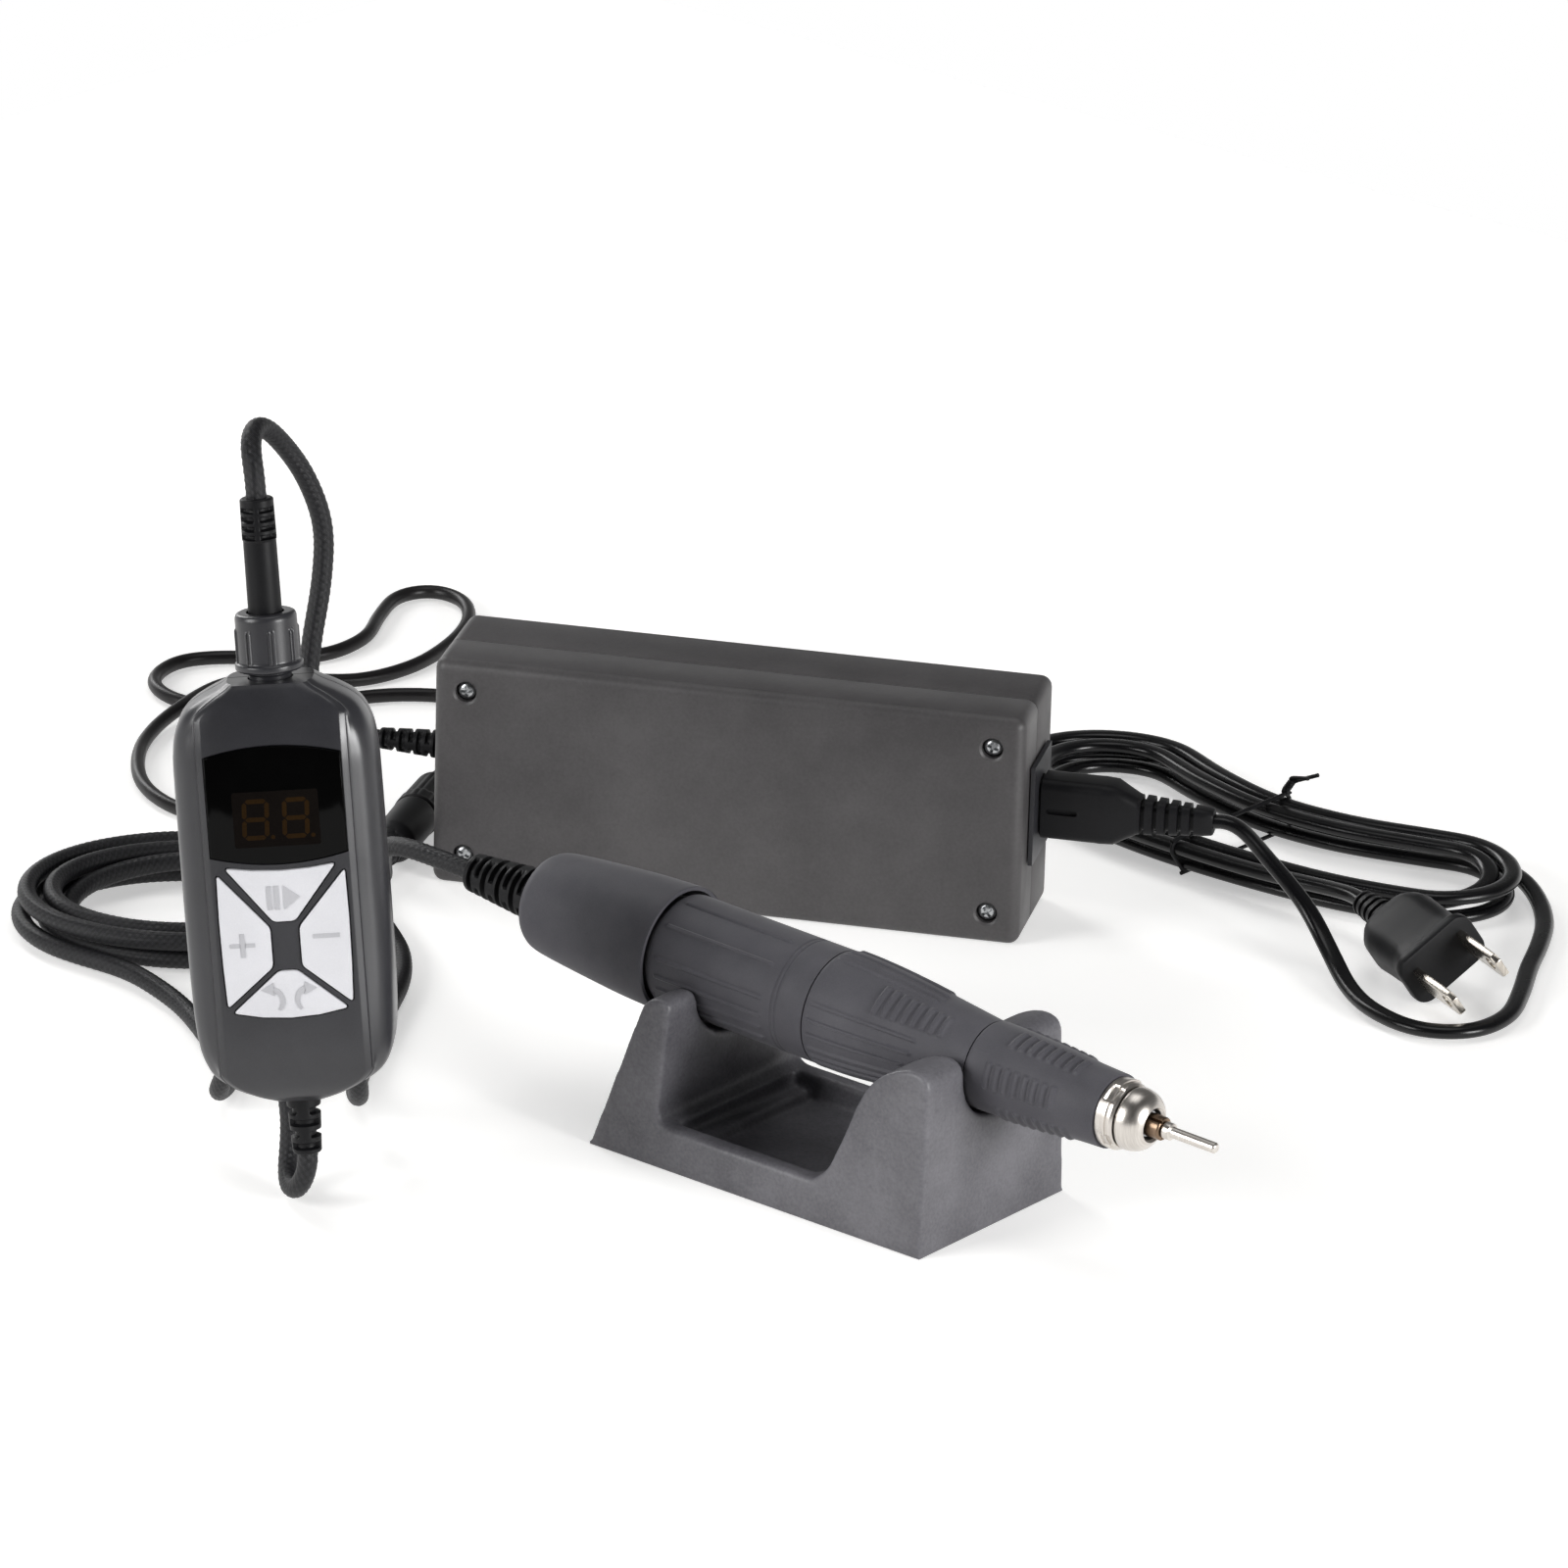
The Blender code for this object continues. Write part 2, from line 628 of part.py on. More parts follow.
def ribbed(start, end, start_radius, end_radius, ribs, groove):
    """Returns the outline of a tapered strain relief with ring grooves."""
    points = [(start, start_radius)]
    pitch = (end - start) / (2 * ribs + 1)
    for index in range(ribs):
        for side, depth in ((1.0, 0.0), (1.2, groove), (1.8, groove), (2.0, 0.0)):
            place = start + pitch * (2 * index + side)
            share = (place - start) / (end - start)
            radius = start_radius + (end_radius - start_radius) * share
            points.append((place, radius - depth))
    points.append((end, end_radius))
    return points


def rounded(width, height, corner, steps=3):
    """Returns the outline of a rectangle with round corners, centred on zero."""
    corner = min(corner, width / 2.0, height / 2.0)
    points = []
    for across, up, first in ((1, 1, 0.0), (-1, 1, 90.0), (-1, -1, 180.0), (1, -1, 270.0)):
        for index in range(steps + 1):
            angle = math.radians(first + 90.0 * index / steps)
            points.append((across * (width / 2.0 - corner) + corner * math.cos(angle),
                           up * (height / 2.0 - corner) + corner * math.sin(angle)))
    return points


# Cradle

def cradle_outline():
    """Returns the side outline of the cradle in metres."""
    half = CRADLE_LENGTH / 2.0
    return [(x * half, z * CRADLE_HEIGHT) for x, z in CRADLE_SIDE_SHARES]


def handpiece_radius(place):
    """Returns the largest radius of the covers at a place along the axis."""
    sleeve_start = CASING_END + GAP
    if place <= sleeve_start:
        return CASING_RADIUS
    outline = covers_outline()
    for (first, low), (second, high) in zip(outline, outline[1:]):
        if first <= place <= second:
            return low + (high - low) * (place - first) / (second - first)
    return outline[-1][1]


def saddle_cutter(start, end):
    """Returns the U-shaped groove that the handpiece is laid in from above."""
    rings = []
    turns = [place for place, _ in covers_outline() if start < place < end]
    for place in (start, *turns, end):
        radius = handpiece_radius(place) + SADDLE_CLEARANCE
        ring = [(place, -radius, CRADLE_HEIGHT)]
        for step in range(9):
            angle = math.pi + math.pi * step / 8.0
            ring.append((place, radius * math.cos(angle), radius * math.sin(angle)))
        ring.append((place, radius, CRADLE_HEIGHT))
        rings.append(ring)
    return loft(rings)


def build_cradle():
    """Builds the cradle's shell and its base plate with the pegs."""
    frame = frame_at("cradle_frame", (0.0, 0.0, 0.0))
    half = CRADLE_LENGTH / 2.0
    side = CRADLE_WIDTH / 2.0
    shape = plate(cradle_outline(), -side, side)
    for vert in shape.verts:
        share = vert.co.z / CRADLE_HEIGHT
        vert.co.y *= (side - CRADLE_SIDE_DRAFT * share) / side
    shell = hang("cradle_shell", shape, frame, PLASTIC_GREY)
    rounding = shell.modifiers.new("moulded_edges", "BEVEL")
    rounding.width = CRADLE_EDGE
    rounding.segments = 2
    rounding.limit_method = "ANGLE"
    rounding.angle_limit = math.radians(38.0)

    tray_start = TRAY_START_SHARE * half
    tray_end = TRAY_END_SHARE * half
    inside = side - TRAY_SILL_WIDTH
    ledge_end = tray_start + TRAY_LEDGE_LENGTH
    top = CRADLE_SILL_SHARE * CRADLE_HEIGHT + OVERRUN
    cut(shell, "tray_deep", block((ledge_end, -inside, TRAY_FLOOR), (tray_end, inside, top)))
    cut(shell, "tray_ledge", block((tray_start, -inside, TRAY_LEDGE), (ledge_end + OVERRUN, inside, top)))
    axis = axis_matrix()
    rear_start = -half
    rear_end = tray_start + OVERRUN
    cut(shell, "rear_saddle", moved(saddle_cutter(rear_start, rear_end), axis))
    cut(shell, "front_saddle", moved(saddle_cutter(tray_end, half + OVERRUN), axis))

    margin = CRADLE_PLATE_MARGIN
    plate_top = CRADLE_PLATE_THICK + GAP
    recess = block((-half + margin, -side + margin, -OVERRUN), (half - margin, side - margin, plate_top))
    cut(shell, "plate_recess", recess)
    hollow = [(x * half, z * CRADLE_HEIGHT) for x, z in FRONT_HOLLOW_SHARES]
    hollow_side = side - FRONT_HOLLOW_WALL
    hollow[0] = (hollow[0][0], plate_top - GAP)
    hollow[1] = (hollow[1][0], plate_top - GAP)
    cut(shell, "front_hollow", plate(hollow, -hollow_side, hollow_side))

    low = (-half + margin + GAP, -side + margin + GAP, 0.0)
    high = (half - margin - GAP, side - margin - GAP, CRADLE_PLATE_THICK)
    base = hang("cradle_base_plate", block(low, high), frame, PLASTIC_BLACK)
    index = 0
    for share in CRADLE_PEG_SHARES:
        for across in (CRADLE_PEG_ACROSS, -CRADLE_PEG_ACROSS):
            place = Matrix.Translation((share * half, across, 0.0))
            peg = along_z(rod(CRADLE_PLATE_THICK / 2.0, CRADLE_PEG_LENGTH, CRADLE_PEG_RADIUS, TINY_STEPS))
            hole = along_z(rod(0.0, CRADLE_PEG_LENGTH + GAP, CRADLE_PEG_RADIUS + GAP, TINY_STEPS))
            fuse(base, f"plate_peg_{index}", moved(peg, place))
            cut(shell, f"peg_hole_{index}", moved(hole, place))
            index += 1


# Handpiece

def axis_matrix():
    """Returns the pose of the handpiece's axis in the world."""
    return Matrix.Translation((0.0, 0.0, AXIS_HEIGHT)) @ Matrix.Rotation(math.radians(AXIS_SLOPE_DEG), 4, "Y")


def sleeve_outline():
    """Returns the outline of the twist sleeve."""
    start = CASING_END + GAP
    length = SLEEVE_END - start
    return [*scaled(SLEEVE_SHARES, start, length, CASING_RADIUS), (SLEEVE_END, SLEEVE_END_RADIUS)]


def grip_outline():
    """Returns the outline of the front grip."""
    start = SLEEVE_END + GAP
    length = GRIP_END - start
    return [*scaled(GRIP_SHARES, start, length, SLEEVE_END_RADIUS), (GRIP_END, GRIP_END_RADIUS)]


def covers_outline():
    """Returns the outline of the sleeve and the grip together."""
    return [*sleeve_outline(), *grip_outline()]


def build_covers(frame):
    """Builds the turned covers of the handpiece and its strain relief."""
    cap_length = CAP_END - CAP_START
    neck_hole = RELIEF_NECK + GAP
    bore_floor = CAP_START + CAP_REAR_WALL
    bore = [(CAP_START, neck_hole), (bore_floor, neck_hole)]
    bore += [(max(CAP_START + place * cap_length, bore_floor), share * CAP_MOUTH_RADIUS)
             for place, share in CAP_BORE_SHARES]
    outer = scaled(CAP_SHARES, CAP_START, cap_length, CAP_MOUTH_RADIUS)
    hang("motor_end_cap", turned(outer, bore), frame, PLASTIC_MATTE)

    neck_start = CAP_START - GAP
    flange_start = bore_floor + GAP
    relief = ribbed(RELIEF_START, neck_start, RELIEF_TAIL_RADIUS, RELIEF_HEAD_RADIUS, RELIEF_RIBS,
                    RELIEF_GROOVE)
    relief += [(neck_start, RELIEF_NECK), (flange_start, RELIEF_NECK), (flange_start, RELIEF_FLANGE),
               (flange_start + RELIEF_FLANGE_THICK, RELIEF_FLANGE)]
    hang("handpiece_strain_relief", turned(relief, steps=SMALL_STEPS), frame, RUBBER_BLACK)

    casing_length = CASING_END - CASING_START
    outer = scaled(CASING_SHARES, CASING_START, casing_length, CASING_RADIUS)
    outer.append((CASING_END, CASING_RADIUS))
    bulkhead_start = BARREL_START
    bulkhead_end = BARREL_START + CASING_BULKHEAD - GAP
    flange_bore = BARREL_FLANGE_RADIUS + GAP
    barrel_hole = BARREL_RADIUS + GAP
    bore = [(CASING_START, MOTOR_BORE), (bulkhead_start, MOTOR_BORE), (bulkhead_start, barrel_hole),
            (bulkhead_end, barrel_hole), (bulkhead_end, flange_bore), (CASING_END, flange_bore)]
    hang("motor_casing", turned(outer, bore), frame, PLASTIC_MATTE)

    sleeve_start = CASING_END + GAP
    recess_start = PUSHER_START - SLEEVE_RECESS_MARGIN
    recess_end = PUSHER_START + PUSHER_LENGTH + PUSHER_TRAVEL + SLEEVE_RECESS_MARGIN
    bore = [(sleeve_start, barrel_hole), (recess_start, barrel_hole), (recess_start, SLEEVE_RECESS_RADIUS),
            (recess_end, SLEEVE_RECESS_RADIUS), (recess_end, barrel_hole), (SLEEVE_END, barrel_hole)]
    hang("twist_sleeve", turned(sleeve_outline(), bore), frame, PLASTIC_MATTE)

    bore = [(SLEEVE_END + GAP, barrel_hole), (GRIP_END, barrel_hole)]
    hang("front_grip", turned(grip_outline(), bore), frame, PLASTIC_MATTE)


def build_nose(frame):
    """Builds the metal ring and the nose that close the front of the barrel."""
    start = GRIP_END + GAP
    nose_fit = BARREL_NOSE_RADIUS + GAP
    chamfer = GAP
    outer = [(start, RING_RADIUS - chamfer), (start + chamfer, RING_RADIUS), (RING_END - chamfer, RING_RADIUS),
             (RING_END, RING_RADIUS - chamfer)]
    hang("nose_ring", turned(outer, [(start, nose_fit), (RING_END, nose_fit)]), frame, NICKEL)
    start = RING_END + GAP
    skirt = BARREL_BORE - GAP
    skirt_start = FRONT_BEARING_PLACE + BEARING_LENGTH + GAP
    outer = [(skirt_start, skirt), (start, skirt), *scaled(NOSE_SHARES, start, NOSE_END - start, NOSE_RADIUS)]
    bore = [(skirt_start, NOSE_HOLE), (NOSE_END, NOSE_HOLE)]
    hang("nose_cone", turned(outer, bore), frame, NICKEL)


def build_motor(frame):
    """Builds the motor can with its bonded magnets, the brush gear and the rotor."""
    shaft_hole = MOTOR_SHAFT + GAP
    inner = MOTOR_RADIUS - MOTOR_WALL
    magnet = inner - MAGNET_THICK
    rear_floor = MOTOR_START + MOTOR_END_WALL
    front_floor = MOTOR_END - MOTOR_END_WALL
    bore = [(MOTOR_START, shaft_hole), (rear_floor, shaft_hole), (rear_floor, inner), (MAGNET_START, inner),
            (MAGNET_START, magnet), (MAGNET_END, magnet), (MAGNET_END, inner), (front_floor, inner),
            (front_floor, shaft_hole), (MOTOR_END, shaft_hole)]
    hang("motor_can", turned([(MOTOR_START, MOTOR_RADIUS), (MOTOR_END, MOTOR_RADIUS)], bore, SMALL_STEPS),
         frame, STEEL)
    shaft_end = SPINDLE_STUB_START - 2.0 * GAP
    outline = [(MOTOR_START + GAP, MOTOR_SHAFT), (COMMUTATOR_START, MOTOR_SHAFT),
               (COMMUTATOR_START, COMMUTATOR_RADIUS), (COMMUTATOR_END, COMMUTATOR_RADIUS),
               (COMMUTATOR_END, MOTOR_SHAFT), (ROTOR_START, MOTOR_SHAFT), (ROTOR_START, ROTOR_RADIUS),
               (ROTOR_END, ROTOR_RADIUS), (ROTOR_END, MOTOR_SHAFT), (shaft_end, MOTOR_SHAFT)]
    hang("rotor", turned(outline, steps=SMALL_STEPS), frame, STEEL)
    holder = tube_along(rear_floor + GAP, BRUSH_END - GAP, inner - GAP, BRUSH_HOLDER_BORE, SMALL_STEPS)
    gear = hang("brush_gear", holder, frame, PLASTIC_GREY)
    brush_low = COMMUTATOR_RADIUS + GAP
    half = BRUSH_WIDTH / 2.0
    for index, side in enumerate((1.0, -1.0)):
        near, far = sorted((side * brush_low, side * (inner - 4.0 * GAP)))
        fuse(gear, f"brush_{index}", block((BRUSH_START, near, -half), (BRUSH_END, far, half)))


def build_spindle(frame):
    """Builds the barrel, bearings, spindle, collet, chuck pusher and test bit."""
    nose_start = GRIP_END
    outer = [(BARREL_START, BARREL_RADIUS), (BARREL_FLANGE_START, BARREL_RADIUS),
             (BARREL_FLANGE_START, BARREL_FLANGE_RADIUS), (BARREL_FLANGE_END, BARREL_FLANGE_RADIUS),
             (BARREL_FLANGE_END, BARREL_RADIUS), (nose_start, BARREL_RADIUS), (nose_start, BARREL_NOSE_RADIUS),
             (BARREL_NOSE_END, BARREL_NOSE_RADIUS)]
    bore = [(BARREL_START, BARREL_BORE), (BARREL_NOSE_END, BARREL_BORE)]
    barrel = hang("spindle_barrel", turned(outer, bore, SMALL_STEPS), frame, ALUMINIUM)
    pin_place = PUSHER_START + PUSHER_LENGTH / 2.0
    slot = PUSHER_PIN_RADIUS + GAP
    cut(barrel, "pusher_slots", block((pin_place - slot, -CASING_RADIUS, -slot),
                                      (pin_place + PUSHER_TRAVEL + slot, CASING_RADIUS, slot)))

    fit = BARREL_BORE - GAP
    running = SPINDLE_RADIUS + GAP
    hang("rear_bearing", tube_along(REAR_BEARING_PLACE, REAR_BEARING_PLACE + BEARING_LENGTH, fit, running),
         frame, STEEL)
    hang("front_bearing", tube_along(FRONT_BEARING_PLACE, FRONT_BEARING_PLACE + BEARING_LENGTH, fit, running),
         frame, STEEL)
    coupler = tube_along(COUPLER_START, COUPLER_END, COUPLER_RADIUS, MOTOR_SHAFT + GAP)
    hang("drive_coupler", coupler, frame, BRASS)
    stub_end = COUPLER_END + GAP
    points = [(SPINDLE_STUB_START, 0.0), (SPINDLE_STUB_START, MOTOR_SHAFT), (stub_end, MOTOR_SHAFT),
              (stub_end, SPINDLE_RADIUS), (SPINDLE_END, SPINDLE_RADIUS), (SPINDLE_END, SPINDLE_BORE),
              (SPINDLE_BORE_START, SPINDLE_BORE)]
    hang("spindle_shaft", turned(points, steps=SMALL_STEPS), frame, STEEL)
    hole = SHANK_RADIUS + GAP
    head_start = SPINDLE_END + GAP
    outer = [(COLLET_START, COLLET_RADIUS), (head_start, COLLET_RADIUS), (head_start, COLLET_HEAD_RADIUS),
             (COLLET_END - GAP, COLLET_HEAD_RADIUS), (COLLET_END, COLLET_HEAD_RADIUS - GAP)]
    hang("collet", turned(outer, [(COLLET_START, hole), (COLLET_END, hole)], SMALL_STEPS), frame, COLLET_BRONZE)

    collar_start = COLLET_END + GAP
    collar_end = collar_start + SHANK_COLLAR_LENGTH
    points = [(SHANK_START, SHANK_RADIUS), (collar_start, SHANK_RADIUS), (collar_start, SHANK_COLLAR_RADIUS),
              (collar_end, SHANK_COLLAR_RADIUS), (collar_end, SHANK_RADIUS), (BIT_END - GAP, SHANK_RADIUS),
              (BIT_END, SHANK_RADIUS - GAP)]
    hang("test_bit", turned(points, steps=SMALL_STEPS), frame, NICKEL)

    pusher = hang("collet_pusher", tube_along(PUSHER_START, PUSHER_START + PUSHER_LENGTH, fit, running),
                  frame, STEEL)
    pin = along_y(rod(-PUSHER_PIN_REACH, PUSHER_PIN_REACH, PUSHER_PIN_RADIUS, TINY_STEPS))
    pin = moved(pin, Matrix.Translation((pin_place, 0.0, 0.0)))
    fuse(pusher, "pusher_pins", pin)
    cut(pusher, "pusher_bore", rod(PUSHER_START - OVERRUN, PUSHER_START + PUSHER_LENGTH + OVERRUN, running))


def build_handpiece():
    """Builds the handpiece in the frame of its axis."""
    frame = frame_at("handpiece_axis", (0.0, 0.0, AXIS_HEIGHT), (0.0, math.radians(AXIS_SLOPE_DEG), 0.0))
    build_covers(frame)
    build_nose(frame)
    build_motor(frame)
    build_spindle(frame)


# Controller

def controller_matrix():
    """Returns the pose of the controller in the world."""
    turn = Euler(controller_turn(), "XYZ").to_matrix().to_4x4()
    return Matrix.Translation(CONTROLLER_PLACE) @ turn


def controller_turn():
    """Returns the controller's x, y and z angles."""
    return (-math.radians(CONTROLLER_LEAN_DEG), -math.radians(CONTROLLER_ROLL_DEG),
            math.radians(CONTROLLER_YAW_DEG))


def front_section(half_width, depth, seam, height):
    """Returns one level of the front shell: round shoulders and a raised flat panel."""
    panel = min(PANEL_HALF_WIDTH, PANEL_LIMIT_SHARE * half_width)
    step = PANEL_STEP * depth / CONTROLLER_FRONT_DEPTH
    right = [(half_width, seam)]
    right += [(half_width * share, -depth * deep) for share, deep in SHOULDER_SHARES]
    right += [(panel + step, -depth + step * 1.8), (panel, -depth)]
    left = [(-x, y) for x, y in reversed(right)]
    return [(x, y, height) for x, y in right + left]


def rear_section(half_width, depth, seam, height):
    """Returns one level of the rear shell: a plain rounded back."""
    right = [(half_width, seam)]
    right += [(half_width * share, depth * deep) for share, deep in REAR_SECTION_SHARES]
    left = [(-x, y) for x, y in reversed(right)]
    return [(x, y, height) for x, y in right + left]


def housing_solid(section, depth, seam, inset=0.0):
    """Lofts one half of the housing, or its cavity when an inset is given."""
    rings = []
    height = CONTROLLER_HEIGHT - 2.0 * inset
    half = CONTROLLER_WIDTH / 2.0
    every = 2 if inset > 0.0 else 1
    for level, width_share, depth_share in HOUSING_LEVEL_SHARES[::every]:
        rings.append(section(half * width_share - inset, depth * depth_share - inset, seam,
                             inset + level * height))
    return loft(rings)


def keypad_outline(shares, mirror=1.0):
    """Returns a key's outline on the panel."""
    return [(mirror * x * KEYPAD_HALF_WIDTH, KEYPAD_CENTRE + z * KEYPAD_HALF_HEIGHT) for x, z in shares]


def window_outline():
    """Returns the display window's outline: straight sides, arched top and bottom."""
    half = WINDOW_WIDTH / 2.0
    points = []
    for index in range(7):
        share = -1.0 + index / 3.0
        points.append((half * share, WINDOW_BOTTOM - WINDOW_ARC * (1.0 - share * share)))
    for index in range(7):
        share = 1.0 - index / 3.0
        points.append((half * share, WINDOW_TOP + WINDOW_ARC * (1.0 - share * share)))
    return points


KEYS = (
    ("button_run_pause", PLAY_KEY_SHARES, 1.0, (0.0, PLAY_STEM_SHARE)),
    ("button_plus", SIDE_KEY_SHARES, -1.0, (-SIDE_STEM_SHARE, 0.0)),
    ("button_minus", SIDE_KEY_SHARES, 1.0, (SIDE_STEM_SHARE, 0.0)),
    ("button_direction", TURN_KEY_SHARES, 1.0, (0.0, TURN_STEM_SHARE)),
)


def build_housing(frame):
    """Builds the two shells of the controller with their bosses and screws."""
    wall = CONTROLLER_WALL
    rear_seam = CONTROLLER_SEAM + GAP
    front = hang("controller_front_shell",
                 housing_solid(front_section, CONTROLLER_FRONT_DEPTH, CONTROLLER_SEAM), frame, PLASTIC_BLACK)
    cut(front, "front_cavity",
        housing_solid(front_section, CONTROLLER_FRONT_DEPTH, CONTROLLER_SEAM + OVERRUN, wall))
    rear = hang("controller_rear_shell", housing_solid(rear_section, CONTROLLER_REAR_DEPTH, rear_seam),
                frame, PLASTIC_BLACK)
    cut(rear, "rear_cavity", housing_solid(rear_section, CONTROLLER_REAR_DEPTH, rear_seam - OVERRUN, wall))

    face = -CONTROLLER_FRONT_DEPTH
    window = window_outline()
    cut(front, "window_seat", plate(spread(window, GAP), face - OVERRUN, face + WINDOW_THICK))
    opening = [(x * 0.82, WINDOW_BOTTOM + (z - WINDOW_BOTTOM) * 0.84 + (WINDOW_TOP - WINDOW_BOTTOM) * 0.08)
               for x, z in window]
    cut(front, "window_opening", plate(opening, face - OVERRUN, face + wall + OVERRUN))
    for name, shares, mirror, _ in KEYS:
        hole = spread(keypad_outline(shares, mirror), GAP)
        cut(front, f"{name}_hole", plate(hole, face - OVERRUN, face + wall + OVERRUN))

    rear_face = CONTROLLER_REAR_DEPTH
    place = Matrix.Translation((0.0, 0.0, HOUSING_SCREW_PLACE))
    boss = along_y(rod(rear_seam, rear_face * HOUSING_BOSS_DEPTH_SHARE, HOUSING_BOSS, SMALL_STEPS))
    fuse(rear, "screw_boss", moved(boss, place))
    shank = HOUSING_SCREW_SHANK
    head = HOUSING_SCREW_HEAD
    sunk = rear_face - HOUSING_SCREW_SUNK
    hole = along_y(turned([(rear_seam - OVERRUN, shank + GAP), (sunk, shank + GAP), (sunk, head + GAP),
                           (rear_face + OVERRUN, head + GAP)], steps=SMALL_STEPS))
    cut(rear, "screw_hole", moved(hole, place))
    post_front = -CONTROLLER_FRONT_DEPTH * HOUSING_BOSS_DEPTH_SHARE
    post_end = CONTROLLER_SEAM
    post = along_y(rod(post_front, post_end, HOUSING_BOSS, SMALL_STEPS))
    fuse(front, "screw_post", moved(post, place))
    bite = post_end - HOUSING_SCREW_BITE
    cut(front, "post_hole", moved(along_y(rod(bite - GAP, post_end + OVERRUN, shank + GAP, TINY_STEPS)), place))
    screw = along_y(turned([(bite, shank), (sunk + GAP, shank), (sunk + GAP, head),
                            (sunk + GAP + HOUSING_SCREW_HEAD_HEIGHT, head)], steps=TINY_STEPS))
    hang("housing_screw", moved(screw, place), frame, STEEL)

    neck_hole = NECK_RADIUS + GAP
    boot_hole = FOOT_BOOT_INSIDE + GAP
    top = CONTROLLER_HEIGHT
    for target, side in ((front, "front"), (rear, "rear")):
        cut(target, f"neck_hole_{side}", along_z(rod(top - wall - OVERRUN, top + OVERRUN, neck_hole)))
        cut(target, f"boot_hole_{side}", along_z(rod(-OVERRUN, FOOT_BOOT_NECK, boot_hole)))


def build_face(frame):
    """Builds the display window, the keys and the parts behind them."""
    face = -CONTROLLER_FRONT_DEPTH
    lens = plate(window_outline(), face - WINDOW_PROUD, face + WINDOW_THICK - GAP)
    hang("display_window", lens, frame, LENS_BLACK)
    middle = (WINDOW_TOP + WINDOW_BOTTOM) / 2.0
    board_front = BOARD_FRONT - GAP
    half = DISPLAY_WIDTH / 2.0
    module_front = board_front - DISPLAY_DEPTH
    tall = DISPLAY_HEIGHT / 2.0
    module = block((-half, module_front, middle - tall), (half, board_front, middle + tall))
    hang("display_module", module, frame, CHIP_BLACK)

    mat_half = KEYPAD_HALF_WIDTH - SWITCH_SIZE / 2.0
    mat_bottom = KEYPAD_CENTRE + TURN_STEM_SHARE * KEYPAD_HALF_HEIGHT
    mat_top = KEYPAD_CENTRE + PLAY_STEM_SHARE * KEYPAD_HALF_HEIGHT
    mat = hang("switch_mat", block((-mat_half, board_front - SWITCH_MAT_THICK, mat_bottom),
                                   (mat_half, board_front, mat_top)), frame, RUBBER_BLACK)
    switch_front = board_front - SWITCH_HEIGHT
    for name, shares, mirror, (across, up) in KEYS:
        key = plate(keypad_outline(shares, mirror), face - KEY_PROUD, face + KEY_THICK, KEY_CORNER)
        button = hang(name, key, frame, KEY_WHITE)
        x = across * KEYPAD_HALF_WIDTH
        z = KEYPAD_CENTRE + up * KEYPAD_HALF_HEIGHT
        place = Matrix.Translation((x, 0.0, z))
        stem_end = switch_front - KEY_TRAVEL - GAP
        fuse(button, f"{name}_stem",
             moved(along_y(rod(face + KEY_THICK / 2.0, stem_end, KEY_STEM, TINY_STEPS)), place))
        half = SWITCH_SIZE / 2.0
        switch_back = board_front - SWITCH_MAT_THICK / 2.0
        switch = block((x - half, switch_front, z - half), (x + half, switch_back, z + half))
        fuse(mat, f"{name}_switch", switch)


def build_electronics(frame):
    """Builds the controller's board."""
    board_back = BOARD_FRONT + BOARD_THICK
    board = block((-BOARD_HALF_WIDTH, BOARD_FRONT, BOARD_BOTTOM), (BOARD_HALF_WIDTH, board_back, BOARD_TOP))
    hang("circuit_board", board, frame, BOARD_GREEN)


